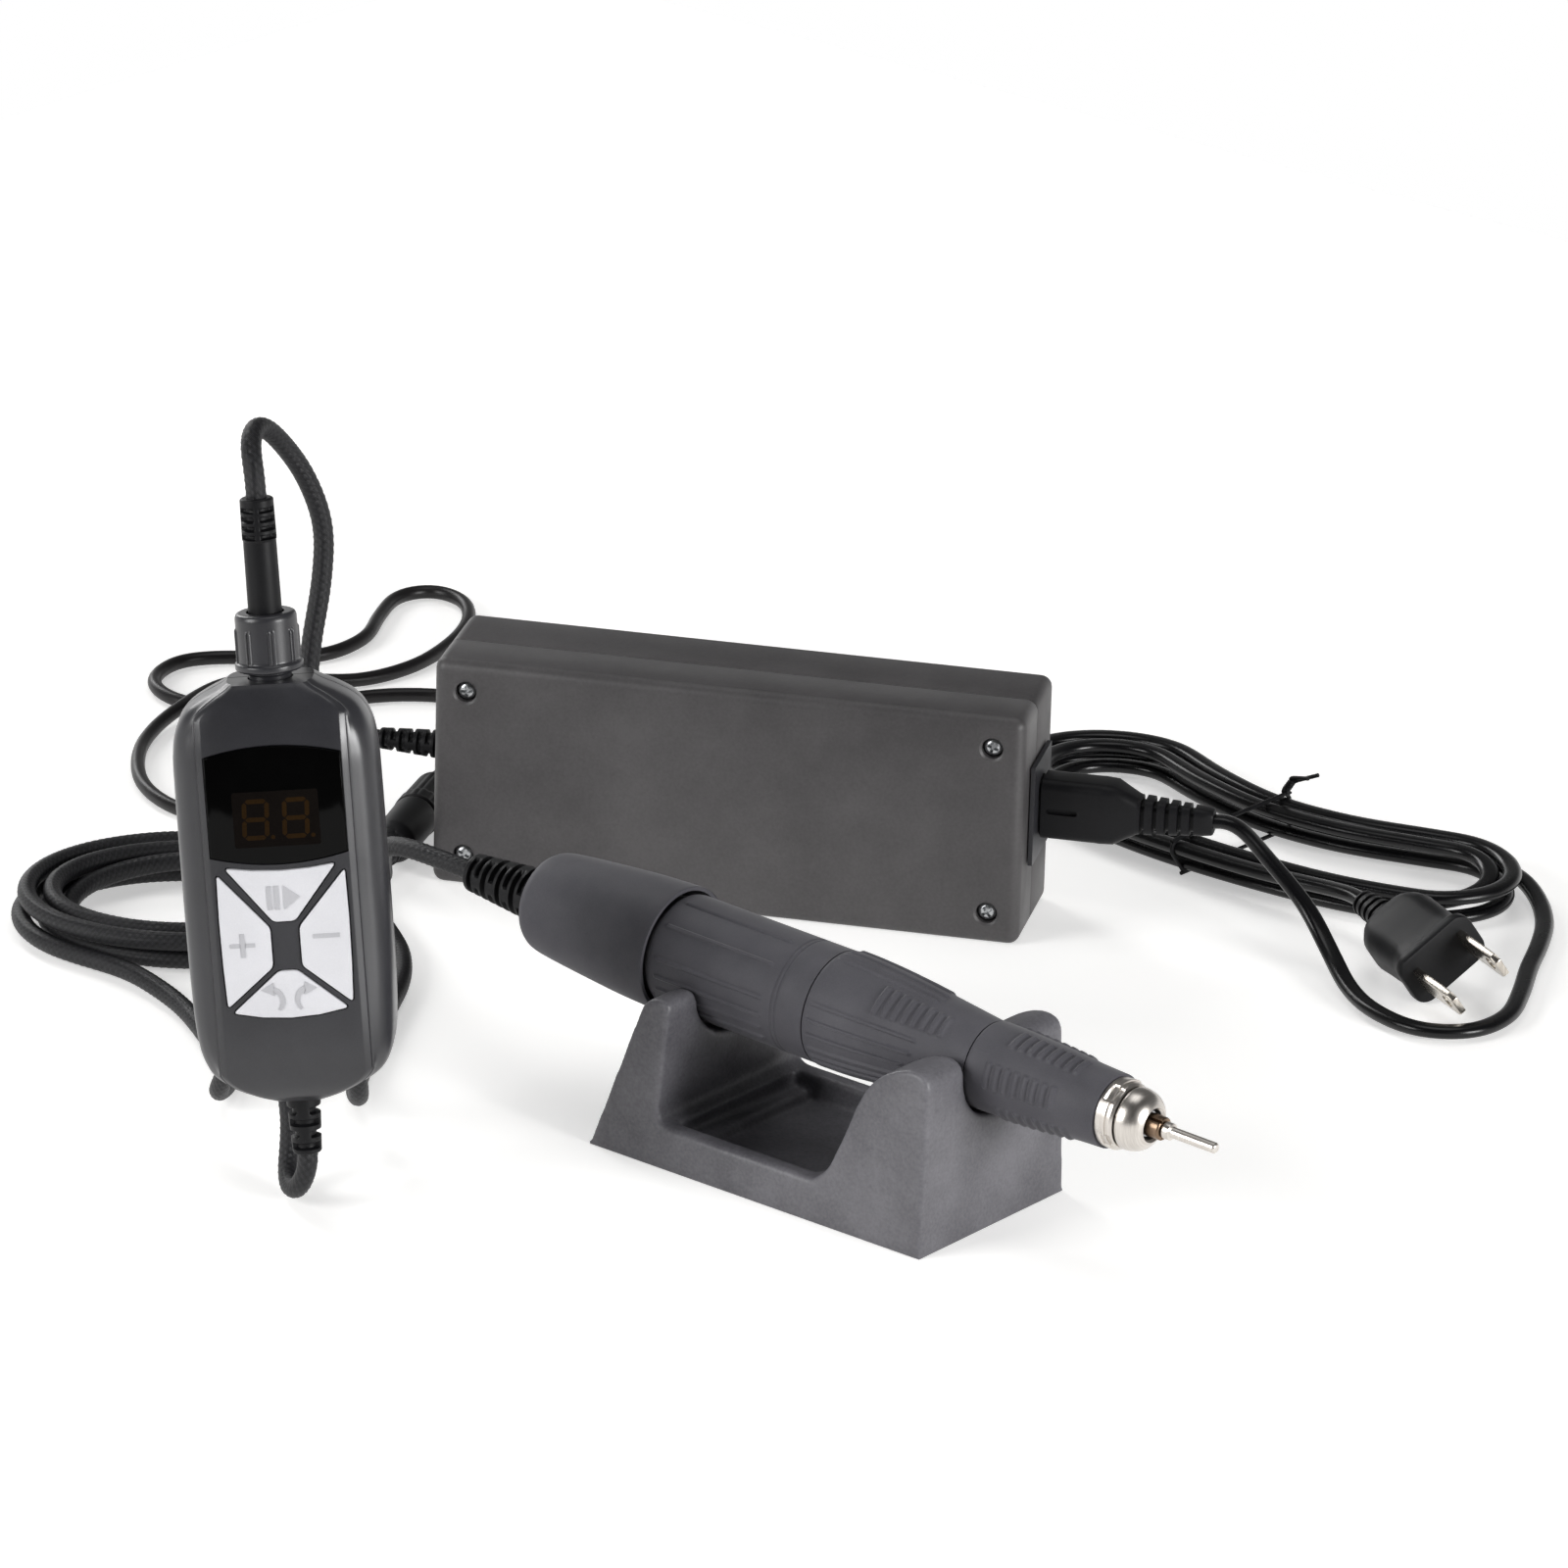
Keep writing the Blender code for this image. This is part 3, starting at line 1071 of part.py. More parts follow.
def build_supply_plug(frame):
    """Builds the threaded socket, the coupling nut and the plug of the supply cord."""
    inside = CONTROLLER_HEIGHT - CONTROLLER_WALL
    flange_top = inside - GAP - (CONTROLLER_HEIGHT - inside) * 0.5
    flange_bottom = flange_top - NECK_FLANGE_THICK
    outer = [(flange_bottom, NECK_FLANGE), (flange_top, NECK_FLANGE), (flange_top, NECK_RADIUS),
             (NECK_TOP, NECK_RADIUS)]
    socket = turned([*outer, (NECK_TOP, NECK_BORE), (CONTROLLER_HEIGHT, NECK_BORE)])
    hang("threaded_socket", along_z(socket), frame, PLASTIC_BLACK)

    thread_fit = NECK_RADIUS + 2.0 * GAP
    cap_bottom = NUT_TOP - NUT_CAP_THICK
    body_hole = PLUG_RADIUS + GAP
    outer = [(NUT_BOTTOM, NUT_FLANGE), (NUT_BOTTOM + NUT_FLANGE_HEIGHT, NUT_FLANGE),
             (NUT_BOTTOM + NUT_FLANGE_HEIGHT, NUT_RADIUS), (NUT_TOP - 2.0 * GAP, NUT_RADIUS),
             (NUT_TOP, NUT_RADIUS - 2.0 * GAP)]
    bore = [(NUT_BOTTOM, thread_fit), (cap_bottom, thread_fit), (cap_bottom, body_hole), (NUT_TOP, body_hole)]
    nut = hang("coupling_nut", along_z(turned(outer, bore)), frame, PLASTIC_BLACK)
    flutes = []
    for index in range(NUT_FLUTES):
        angle = math.tau * index / NUT_FLUTES
        flute = along_z(rod(NUT_BOTTOM + NUT_FLANGE_HEIGHT + GAP, NUT_TOP - NUT_CAP_THICK / 2.0,
                            NUT_FLUTE_RADIUS, TINY_STEPS))
        radius = NUT_RADIUS + NUT_FLUTE_RADIUS / 3.0
        place = Matrix.Translation((radius * math.cos(angle), radius * math.sin(angle), 0.0))
        flutes.append(moved(flute, place))
    cut(nut, "nut_flutes", joined(flutes))

    collar_top = cap_bottom - GAP
    collar_bottom = collar_top - PLUG_COLLAR_THICK
    pin_bottom = collar_bottom - PLUG_PIN_LENGTH
    outline = [(pin_bottom, PLUG_PIN_RADIUS), (collar_bottom, PLUG_PIN_RADIUS), (collar_bottom, PLUG_COLLAR),
               (collar_top, PLUG_COLLAR), (collar_top, PLUG_RADIUS), (PLUG_BODY_TOP, PLUG_RADIUS)]
    ribs = ribbed(PLUG_BODY_TOP, PLUG_RELIEF_TOP, PLUG_RADIUS, PLUG_RADIUS * 0.92, PLUG_RELIEF_RIBS,
                  PLUG_RELIEF_GROOVE)
    outline += ribs[1:]
    hang("supply_plug", along_z(turned(outline, steps=SMALL_STEPS)), frame, RUBBER_BLACK)

    shoulder = -GAP
    neck_top = FOOT_BOOT_NECK + GAP
    outline = ribbed(FOOT_BOOT_BOTTOM, shoulder, FOOT_BOOT_TIP, FOOT_BOOT_RADIUS, FOOT_BOOT_RIBS,
                     FOOT_BOOT_GROOVE)
    outline += [(shoulder, FOOT_BOOT_INSIDE), (neck_top, FOOT_BOOT_INSIDE), (neck_top, FOOT_BOOT_FLANGE),
                (neck_top + NECK_FLANGE_THICK, FOOT_BOOT_FLANGE)]
    hang("controller_strain_relief", along_z(turned(outline, steps=SMALL_STEPS)), frame, RUBBER_BLACK)


def build_controller():
    """Builds the controller in its own frame."""
    frame = frame_at("controller_frame", CONTROLLER_PLACE, controller_turn())
    build_housing(frame)
    build_face(frame)
    build_electronics(frame)
    build_supply_plug(frame)


# Power adapter

def adapter_screw_places():
    """Returns the four screw centres on the adapter's face."""
    inset = ADAPTER_SCREW_INSET
    return [(x, z) for x in (inset, ADAPTER_LENGTH - inset) for z in (inset, ADAPTER_HEIGHT - inset)]


def adapter_shell(name, frame, outside, seam, inside_way):
    """Builds one open half of the adapter case: outside is its closed face, seam its rim."""
    length = ADAPTER_LENGTH
    height = ADAPTER_HEIGHT
    wall = ADAPTER_WALL
    shape = block((0.0, min(outside, seam), 0.0), (length, max(outside, seam), height))
    on_seam = MERGE * 10.0
    soften(shape, ADAPTER_EDGE, 2, lambda edge: max(abs(v.co.y - seam) for v in edge.verts) > on_seam)
    shell = hang(name, shape, frame, PLASTIC_BLACK)
    floor = outside + wall * inside_way
    rim = seam + OVERRUN * inside_way
    cut(shell, f"{name}_cavity",
        block((wall, min(floor, rim), wall), (length - wall, max(floor, rim), height - wall)))
    return shell


def build_case(frame):
    """Builds the two halves of the adapter case, their bosses and the screws."""
    seam = ADAPTER_SEAM
    depth = ADAPTER_DEPTH
    wall = ADAPTER_WALL
    front = adapter_shell("adapter_front_shell", frame, 0.0, seam, 1.0)
    rear = adapter_shell("adapter_rear_shell", frame, depth, seam + GAP, -1.0)
    board_front = seam + GAP
    shank = ADAPTER_SCREW_SHANK
    head = ADAPTER_SCREW_HEAD
    sunk = ADAPTER_HEAD_DEPTH
    screw_end = board_front + ADAPTER_SCREW_BITE
    for index, (x, z) in enumerate(adapter_screw_places()):
        place = Matrix.Translation((x, 0.0, z))
        fuse(front, f"front_boss_{index}", moved(along_y(rod(wall / 2.0, seam, ADAPTER_BOSS)), place))
        boss = turned([(screw_end + GAP, shank + GAP), (seam + GAP, shank + GAP), (seam + GAP, ADAPTER_BOSS),
                       (depth - wall / 2.0, ADAPTER_BOSS)], steps=SMALL_STEPS)
        fuse(rear, f"rear_boss_{index}", moved(along_y(boss), place))
        hole = turned([(-OVERRUN, ADAPTER_HEAD_HOLE), (sunk, ADAPTER_HEAD_HOLE), (sunk, shank + GAP),
                       (seam + OVERRUN, shank + GAP)], steps=SMALL_STEPS)
        cut(front, f"front_hole_{index}", moved(along_y(hole), place))
        head_bottom = sunk - GAP
        head_top = head_bottom - ADAPTER_SCREW_HEAD_HEIGHT
        screw = turned([(head_top, head), (head_bottom, head), (head_bottom, shank), (screw_end, shank)],
                       steps=TINY_STEPS)
        hang(f"adapter_screw_{index + 1}", moved(along_y(screw), place), frame, STEEL)

    middle = depth / 2.0
    half_depth = INLET_BODY_DEPTH / 2.0 + GAP
    half_height = INLET_BODY_HEIGHT / 2.0 + GAP
    length = ADAPTER_LENGTH
    for shell, side in ((front, "front"), (rear, "rear")):
        cut(shell, f"inlet_window_{side}",
            block((length - wall - OVERRUN, middle - half_depth, INLET_HEIGHT - half_height),
                  (length + OVERRUN, middle + half_depth, INLET_HEIGHT + half_height)))
        exit_hole = rod(-OVERRUN, wall + OVERRUN, CORD_EXIT_RADIUS + GAP)
        cut(shell, f"exit_hole_{side}", moved(exit_hole, Matrix.Translation((0.0, middle, CORD_EXIT_HEIGHT))))


def build_adapter_inside(frame):
    """Builds the adapter's board and what stands on it."""
    seam = ADAPTER_SEAM
    wall = ADAPTER_WALL
    height = ADAPTER_HEIGHT
    inset = ADAPTER_BOARD_INSET
    board_front = seam + GAP
    board_back = board_front + ADAPTER_BOARD_THICK
    board = block((inset, board_front, wall + GAP), (ADAPTER_LENGTH - inset - INLET_BODY_LENGTH / 2.0, board_back,
                                                     height - wall - GAP))
    hang("adapter_board", board, frame, BOARD_GREEN)
    middle = height / 2.0
    near = board_front - GAP

    half_length = TRANSFORMER_LENGTH / 2.0
    half_height = TRANSFORMER_HEIGHT / 2.0
    far = near - TRANSFORMER_DEPTH
    transformer = hang("transformer", block(
        (TRANSFORMER_PLACE - half_length, far, middle - half_height),
        (TRANSFORMER_PLACE + half_length, near, middle + half_height)), frame, FERRITE)
    half = WINDING_LENGTH / 2.0
    proud = half_height + WINDING_PROUD
    fuse(transformer, "transformer_winding", block(
        (TRANSFORMER_PLACE - half, far + GAP, middle - proud),
        (TRANSFORMER_PLACE + half, near - GAP, middle + proud)))


def figure_eight(height, depth, steps=5):
    """Returns the outline of two touching rounds: (depth, height) points about zero."""
    radius = depth / 2.0
    reach = height / 2.0 - radius
    points = []
    for index in range(2 * steps + 1):
        angle = math.pi * index / (2 * steps)
        points.append((radius * math.cos(angle), reach + radius * math.sin(angle)))
    points.append((-radius * 0.8, 0.0))
    for index in range(2 * steps + 1):
        angle = math.pi + math.pi * index / (2 * steps)
        points.append((radius * math.cos(angle), -reach + radius * math.sin(angle)))
    points.append((radius * 0.8, 0.0))
    return points


def plug_section(depth, height, corner):
    """Returns one section of a moulded plug, with few points at its corners."""
    return rounded(depth, height, corner, PLUG_CORNER_STEPS)


def sleeve_between(outlines):
    """Lofts (place, outline) sections along +X; outline points are (y, z)."""
    return loft([[(place, y, z) for y, z in outline] for place, outline in outlines])


def build_adapter_ends(frame):
    """Builds the inlet with its pins, the mains connector in it and the supply cord's gland."""
    length = ADAPTER_LENGTH
    middle = ADAPTER_DEPTH / 2.0
    centre = Matrix.Translation((length, middle, INLET_HEIGHT))
    half_depth = INLET_BODY_DEPTH / 2.0
    half_height = INLET_BODY_HEIGHT / 2.0
    plate_end = GAP + INLET_PLATE_THICK
    body_face = GAP + INLET_PLATE_THICK / 2.0
    body = block((-INLET_BODY_LENGTH, -half_depth, -half_height), (body_face, half_depth, half_height))
    inlet = hang("mains_inlet", moved(body, centre), frame, PLASTIC_BLACK)
    flange = block((GAP, -INLET_PLATE_DEPTH / 2.0, -INLET_PLATE_HEIGHT / 2.0),
                   (plate_end, INLET_PLATE_DEPTH / 2.0, INLET_PLATE_HEIGHT / 2.0))
    fuse(inlet, "inlet_plate", moved(flange, centre))
    floor = plate_end - INLET_POCKET_DEPTH
    pocket = figure_eight(CONNECTOR_HEIGHT + 2.0 * GAP, CONNECTOR_DEPTH + 2.0 * GAP)
    cut(inlet, "inlet_pocket", moved(sleeve_between([(floor, pocket), (plate_end + OVERRUN, pocket)]), centre))
    yoke_end = -INLET_BODY_LENGTH - GAP
    yoke_start = yoke_end - INLET_YOKE_THICK
    reach = INLET_PIN_PITCH / 2.0 + 1.5 * INLET_PIN_RADIUS
    yoke = block((yoke_start, -1.5 * INLET_PIN_RADIUS, -reach), (yoke_end, 1.5 * INLET_PIN_RADIUS, reach))
    pins = hang("inlet_pins", moved(yoke, centre), frame, NICKEL)
    for index, side in enumerate((1.0, -1.0)):
        place = centre @ Matrix.Translation((0.0, 0.0, side * INLET_PIN_PITCH / 2.0))
        pin = rod(yoke_start + INLET_YOKE_THICK / 2.0, floor + INLET_PIN_LENGTH, INLET_PIN_RADIUS, TINY_STEPS)
        fuse(pins, f"inlet_pin_{index}", moved(pin, place))
        hole = rod(-INLET_BODY_LENGTH - OVERRUN, floor + OVERRUN, INLET_PIN_RADIUS + GAP, TINY_STEPS)
        cut(inlet, f"inlet_pin_hole_{index}", moved(hole, place))

    nose = figure_eight(CONNECTOR_HEIGHT, CONNECTOR_DEPTH)
    nose_start = floor + 2.0 * GAP
    shoulder = plate_end + GAP
    body_end = shoulder + CONNECTOR_BODY_LENGTH
    taper_end = body_end + CONNECTOR_TAPER
    wide = plug_section(CONNECTOR_BODY_DEPTH, CONNECTOR_BODY_HEIGHT, CONNECTOR_CORNER)
    edge = plug_section(CONNECTOR_BODY_DEPTH - 2.0 * GAP, CONNECTOR_BODY_HEIGHT - 2.0 * GAP, CONNECTOR_CORNER)
    slim_height = CONNECTOR_RELIEF_HEIGHT
    slim_depth = CONNECTOR_RELIEF_DEPTH
    sections = [(shoulder, edge), (shoulder + GAP, wide), (body_end, wide),
                (taper_end, plug_section(slim_depth, slim_height, CONNECTOR_CORNER))]
    pitch = CONNECTOR_RELIEF_LENGTH / (2 * CONNECTOR_RIBS + 1)
    for index in range(CONNECTOR_RIBS):
        share = 1.0 - 0.30 * index / CONNECTOR_RIBS
        for place, scale in ((1.0, 0.78), (1.9, 0.78), (2.1, 1.0), (3.0, 0.97)):
            outline = plug_section(slim_depth * share * scale, slim_height * share * scale, CONNECTOR_CORNER)
            sections.append((taper_end + pitch * (2 * index + place - 1.0), outline))
    last = taper_end + CONNECTOR_RELIEF_LENGTH
    tail_share = 0.66
    sections.append((last, plug_section(slim_depth * tail_share, slim_height * tail_share, CONNECTOR_CORNER)))
    connector = hang("mains_connector", moved(sleeve_between(sections), centre), frame, PLASTIC_BLACK)
    fuse(connector, "connector_nose",
         moved(sleeve_between([(nose_start, nose), (shoulder + OVERRUN, nose)]), centre))
    for side in (1.0, -1.0):
        place = centre @ Matrix.Translation((0.0, 0.0, side * INLET_PIN_PITCH / 2.0))
        hole = rod(nose_start - OVERRUN, floor + 2.0 * GAP + INLET_PIN_LENGTH, INLET_PIN_RADIUS + GAP, TINY_STEPS)
        cut(connector, f"pin_hole_{side:+.0f}", moved(hole, place))

    wall = ADAPTER_WALL
    outline = ribbed(-CORD_EXIT_LENGTH, -GAP, CORD_EXIT_TIP, CORD_EXIT_RADIUS, CORD_EXIT_RIBS, CORD_EXIT_GROOVE)
    outline += [(wall + GAP, CORD_EXIT_RADIUS), (wall + GAP, CORD_EXIT_FLANGE),
                (wall + GAP + NECK_FLANGE_THICK, CORD_EXIT_FLANGE)]
    grommet = turned(outline, steps=SMALL_STEPS)
    hang("adapter_strain_relief", moved(grommet, Matrix.Translation((0.0, middle, CORD_EXIT_HEIGHT))),
         frame, RUBBER_BLACK)


def build_adapter():
    """Builds the power adapter in its own frame."""
    frame = frame_at("adapter_frame", ADAPTER_PLACE, (0.0, 0.0, math.radians(ADAPTER_YAW_DEG)))
    build_case(frame)
    build_adapter_inside(frame)
    build_adapter_ends(frame)


# Plugs on the cords

def build_mains_plug():
    """Builds the mains plug and its two flat blades, lying on the floor."""
    turn = (math.radians(MAINS_PLUG_ROLL_DEG), 0.0, math.radians(MAINS_PLUG_YAW_DEG))
    frame = frame_at("mains_plug_frame", MAINS_PLUG_PLACE, turn)
    relief = MAINS_PLUG_RELIEF
    end = relief + MAINS_PLUG_BODY
    tail = MAINS_PLUG_TAIL
    width = MAINS_PLUG_WIDTH
    thick = MAINS_PLUG_THICK
    corner = MAINS_PLUG_CORNER
    sections = [(0.0, plug_section(tail * 0.8, tail * 0.8, corner))]
    ribs = 3
    pitch = relief / (2 * ribs + 1)
    for index in range(ribs):
        share = 0.8 + 0.2 * index / ribs
        for place, scale in ((1.0, 1.0), (1.2, 0.80), (1.8, 0.80), (2.0, 1.0)):
            size = tail * share * scale
            sections.append((pitch * (2 * index + place), plug_section(size, size, corner)))
    sections += [(relief, plug_section(width * 0.55, thick * 0.75, corner)),
                 (relief + MAINS_PLUG_BODY * 0.30, plug_section(width * 0.92, thick, corner)),
                 (end - GAP * 4.0, plug_section(width, thick, corner)),
                 (end, plug_section(width - GAP * 6.0, thick - GAP * 6.0, corner))]
    body = hang("mains_plug", sleeve_between(sections), frame, PLASTIC_BLACK)
    root = end - BLADE_ROOT
    bar = BLADE_PITCH / 2.0
    tall = BLADE_WIDTH / 4.0
    prongs = hang("plug_blades", block((root, -bar, -tall), (root + BLADE_THICK, bar, tall)), frame, NICKEL)
    cut(body, "bar_slot", block((root - GAP, -bar, -tall - GAP), (root + BLADE_THICK + GAP, bar, tall + GAP)))
    for index, side in enumerate((1.0, -1.0)):
        y = side * BLADE_PITCH / 2.0
        low = y - BLADE_THICK / 2.0
        high = y + BLADE_THICK / 2.0
        flat = BLADE_WIDTH / 2.0
        fuse(prongs, f"blade_{index}", block((root, low, -flat), (end + BLADE_LENGTH, high, flat)))
        cut(body, f"blade_slot_{index}", block((root - GAP, low - GAP, -flat - GAP),
                                               (end + OVERRUN, high + GAP, flat + GAP)))
    hole = along_y(rod(-width, width, BLADE_HOLE, TINY_STEPS))
    cut(prongs, "blade_holes", moved(hole, Matrix.Translation((end + BLADE_LENGTH * 0.75, 0.0, 0.0))))


def build_coupling():
    """Builds the in-line plug and socket that join the two supply cords."""
    turn = (0.0, 0.0, math.radians(COUPLING_YAW_DEG))
    frame = frame_at("coupling_frame", COUPLING_PLACE, turn)
    radius = COUPLING_RADIUS
    chamfer = 2.0 * GAP
    body_end = COUPLING_LENGTH
    tail_end = body_end + COUPLING_TAIL
    first, last = (COUPLING_TAIL_RADIUS * share for share in COUPLING_TAIL_SHARES)
    tail = ribbed(body_end, tail_end, first, last, COUPLING_RIBS, COUPLING_GROOVE)
    socket = turned([(GAP / 2.0, radius), (body_end - chamfer, radius), (body_end, radius - chamfer), *tail],
                    steps=SMALL_STEPS)
    female = hang("coupling_socket", socket, frame, RUBBER_BLACK)
    cut(female, "coupling_bore", rod(-OVERRUN, COUPLING_PIN_LENGTH + GAP, COUPLING_BORE))
    outline = [(-COUPLING_PIN_LENGTH, COUPLING_PIN_RADIUS), (GAP / 2.0, COUPLING_PIN_RADIUS),
               (GAP / 2.0, COUPLING_COLLAR), (COUPLING_TAIL / 2.0, COUPLING_COLLAR), (COUPLING_TAIL / 2.0, radius),
               (body_end - chamfer, radius), (body_end, radius - chamfer), *tail]
    male = turned(outline, steps=SMALL_STEPS)
    hang("coupling_plug", moved(male, Matrix.Rotation(math.pi, 4, "Z")), frame, RUBBER_BLACK)


# Cords

def smooth_curve(points):
    """Reads a smooth curve through the points of a route."""
    points = [Vector(point) for point in points]
    ends = [2.0 * points[0] - points[1], *points, 2.0 * points[-1] - points[-2]]
    fine = []
    for before, first, second, after in zip(ends, ends[1:], ends[2:], ends[3:]):
        for index in range(ROUTE_STEPS):
            t = index / ROUTE_STEPS
            fine.append(0.5 * (2.0 * first + (second - before) * t
                               + (2.0 * before - 5.0 * first + 4.0 * second - after) * t ** 2
                               + (3.0 * first - before - 3.0 * second + after) * t ** 3))
    fine.append(points[-1])
    return fine


def evenly(points, spacing):
    """Returns points a spacing apart along a line of points, with both ends kept."""
    lengths = [0.0]
    for first, second in zip(points, points[1:]):
        lengths.append(lengths[-1] + (second - first).length)
    count = max(2, round(lengths[-1] / spacing))
    even = []
    index = 0
    for step in range(count + 1):
        target = lengths[-1] * step / count
        while index < len(lengths) - 2 and lengths[index + 1] < target:
            index += 1
        part = (target - lengths[index]) / max(lengths[index + 1] - lengths[index], MERGE)
        even.append(points[index].lerp(points[index + 1], part))
    return even


def lay_cord(name, points, radius, sides, values):
    """Makes a round tube with closed ends along a line of points."""
    curve = bpy.data.curves.new(name, "CURVE")
    curve.dimensions = "3D"
    curve.bevel_depth = radius
    curve.bevel_resolution = sides
    curve.use_fill_caps = True
    line = curve.splines.new("POLY")
    line.points.add(len(points) - 1)
    for slot, point in zip(line.points, points):
        slot.co = (*point, 1.0)
    curve.materials.append(finish(name, values))
    made = bpy.data.objects.new(name, curve)
    bpy.context.collection.objects.link(made)
    return made


def wound(turn, turns_in, turns_climb, step, layer):
    """Returns how far a turn lies inside the first one and how high it has climbed."""
    inward = min(turn, turns_in)
    climb = min(max(turn - turns_in, 0.0) / turns_climb, 1.0)
    outward = max(turn - turns_in - turns_climb, 0.0)
    return step * (inward - outward), layer * (3.0 * climb ** 2 - 2.0 * climb ** 3)


def coil_point(turn):
    """Returns a point of the handpiece cord's coil: an oval spiral in, a climb and a spiral out."""
    inset, rise = wound(turn, COIL_TURNS_IN, COIL_TURNS_CLIMB, COIL_STEP, COIL_LAYER)
    yaw = math.radians(COIL_YAW_DEG)
    angle = math.radians(COIL_START_DEG) - math.tau * turn
    along = (COIL_LONG - inset) * math.cos(angle)
    across = (COIL_SHORT - inset) * math.sin(angle)
    return Vector((COIL_CENTRE[0] + along * math.cos(yaw) - across * math.sin(yaw),
                   COIL_CENTRE[1] + along * math.sin(yaw) + across * math.cos(yaw),
                   TIE_LIFT + BRAID_RADIUS + rise))


def hank_point(turn):
    """Returns a point of the mains cord's hank: round ends, straight sides, waist drawn in, bent."""
    inset, rise = wound(turn, HANK_TURNS_IN, HANK_TURNS_CLIMB, HANK_STEP, HANK_LAYER)
    radius = HANK_END_RADIUS - inset
    share = (HANK_START_SHARE + turn) % 1.0
    quarter = HANK_END_SHARE / 2.0
    side = 0.5 - HANK_END_SHARE
    if share > 0.5:
        flip = -1.0
        share -= 0.5
    else:
        flip = 1.0
    if share < quarter:
        angle = math.pi / 2.0 * share / quarter
        along = HANK_STRAIGHT + radius * math.cos(angle)
        across = radius * math.sin(angle)
    elif share < quarter + side:
        along = HANK_STRAIGHT * (1.0 - 2.0 * (share - quarter) / side)
        across = radius
    else:
        angle = math.pi / 2.0 * (1.0 + (share - quarter - side) / quarter)
        along = -HANK_STRAIGHT + radius * math.cos(angle)
        across = radius * math.sin(angle)
    out = min(abs(along) / HANK_STRAIGHT, 1.0)
    across *= HANK_WAIST_SHARE + (1.0 - HANK_WAIST_SHARE) * (3.0 * out ** 2 - 2.0 * out ** 3)
    return hank_bend(flip * along, flip * across, TIE_LIFT + MAINS_RADIUS + rise)


def hank_bend(along, across, height):
    """Bends a point of the straight hank along the hank's arc."""
    bend = along / HANK_BEND_RADIUS
    reach = HANK_BEND_RADIUS - across
    return Vector((HANK_CENTRE[0] + reach * math.sin(bend),
                   HANK_CENTRE[1] + HANK_BEND_RADIUS - reach * math.cos(bend), height))


def wound_path(point_at, total):
    """Returns the points of a coil or hank, evenly over its turns."""
    count = round(total * LOOP_POINTS)
    return [point_at(total * index / count) for index in range(count + 1)]


def band(width, height, reach):
    """Returns a flat band of a reach along +X round a space of a width and a height, from z = 0 up."""
    inner = rounded(width, height, TIE_CORNER)
    outer = rounded(width + 2.0 * TIE_THICK, height + 2.0 * TIE_THICK, TIE_CORNER + TIE_THICK)
    middle = height / 2.0 + TIE_THICK
    half = reach / 2.0
    shape = bmesh.new()
    rings = [[shape.verts.new((x, y, z + middle)) for y, z in outline]
             for x, outline in ((-half, outer), (half, outer), (half, inner), (-half, inner))]
    for index, ring in enumerate(rings):
        following = rings[(index + 1) % len(rings)]
        for first in range(len(ring)):
            second = (first + 1) % len(ring)
            shape.faces.new((ring[first], ring[second], following[second], following[first]))
    bmesh.ops.recalc_face_normals(shape, faces=shape.faces)
    return shape


def build_ties():
    """Builds the flat bands round the coil and round the waist of the hank."""
    floor_gap = FLOOR_CLEARANCE / 2.0
    inside = TIE_LIFT - TIE_THICK - floor_gap
    first = coil_point(COIL_TIE_TURN)
    second = coil_point(COIL_TIE_TURN + 1.0)
    middle = (first + second) / 2.0
    middle.z = floor_gap
    across = second - first
    width = across.length + 2.0 * (BRAID_RADIUS + TIE_CLEARANCE)
    height = 2.0 * BRAID_RADIUS + COIL_LAYER + inside + TIE_CLEARANCE
    turn = Matrix.Rotation(math.atan2(across.y, across.x) - math.pi / 2.0, 4, "Z")
    coil_band = moved(band(width, height, COIL_TIE_WIDTH), Matrix.Translation(middle) @ turn)
    hang("coil_tie", coil_band, None, PLASTIC_BLACK)

    far = HANK_WAIST_SHARE * (HANK_END_RADIUS + HANK_STEP * (HANK_TURNS_OUT - HANK_TURNS_IN))
    width = 2.0 * (far + MAINS_RADIUS + 2.0 * TIE_CLEARANCE)
    height = 2.0 * MAINS_RADIUS + HANK_LAYER + inside + TIE_CLEARANCE
    turn = Matrix.Rotation(HANK_TIE_PLACE / HANK_BEND_RADIUS, 4, "Z")
    place = hank_bend(HANK_TIE_PLACE, 0.0, floor_gap)
    hank_band = moved(band(width, height, HANK_TIE_WIDTH), Matrix.Translation(place) @ turn)
    hang("hank_tie", hank_band, None, PLASTIC_BLACK)


def lead_out(points, radius, at_end):
    """Returns a point one tube diameter beyond an end of a path, straight on from it."""
    first, second = (points[-2], points[-1]) if at_end else (points[1], points[0])
    return second + (second - first).normalized() * (2.0 * radius)


def least_gap(points, radius):
    """Returns the least gap between turns of one tube, measured on points along it."""
    fine = evenly(points, radius)
    skip = 8
    least = None
    for index, here in enumerate(fine):
        for other in fine[index + skip:]:
            apart = (here - other).length
            if least is None or apart < least:
                least = apart
    return least - 2.0 * radius


def step_off(point, towards, distance):
    """Returns a point moved by a distance in a direction."""
    return point + towards.normalized() * distance


def tip(matrix, place, direction):
    """Returns a world point and direction from a place and direction in a frame."""
    return matrix @ Vector(place), (matrix.to_3x3() @ Vector(direction)).normalized()


def joined_route(start, start_way, middle, end, end_way, radius, spacing):
    """Builds a free stretch that leaves one face and meets another squarely."""
    first = step_off(start, start_way, GAP)
    last = step_off(end, end_way, GAP)
    lead = 2.5 * radius
    route = [first, step_off(first, start_way, lead), *[Vector(point) for point in middle],
             step_off(last, end_way, lead), last]
    return evenly(smooth_curve(route), spacing)


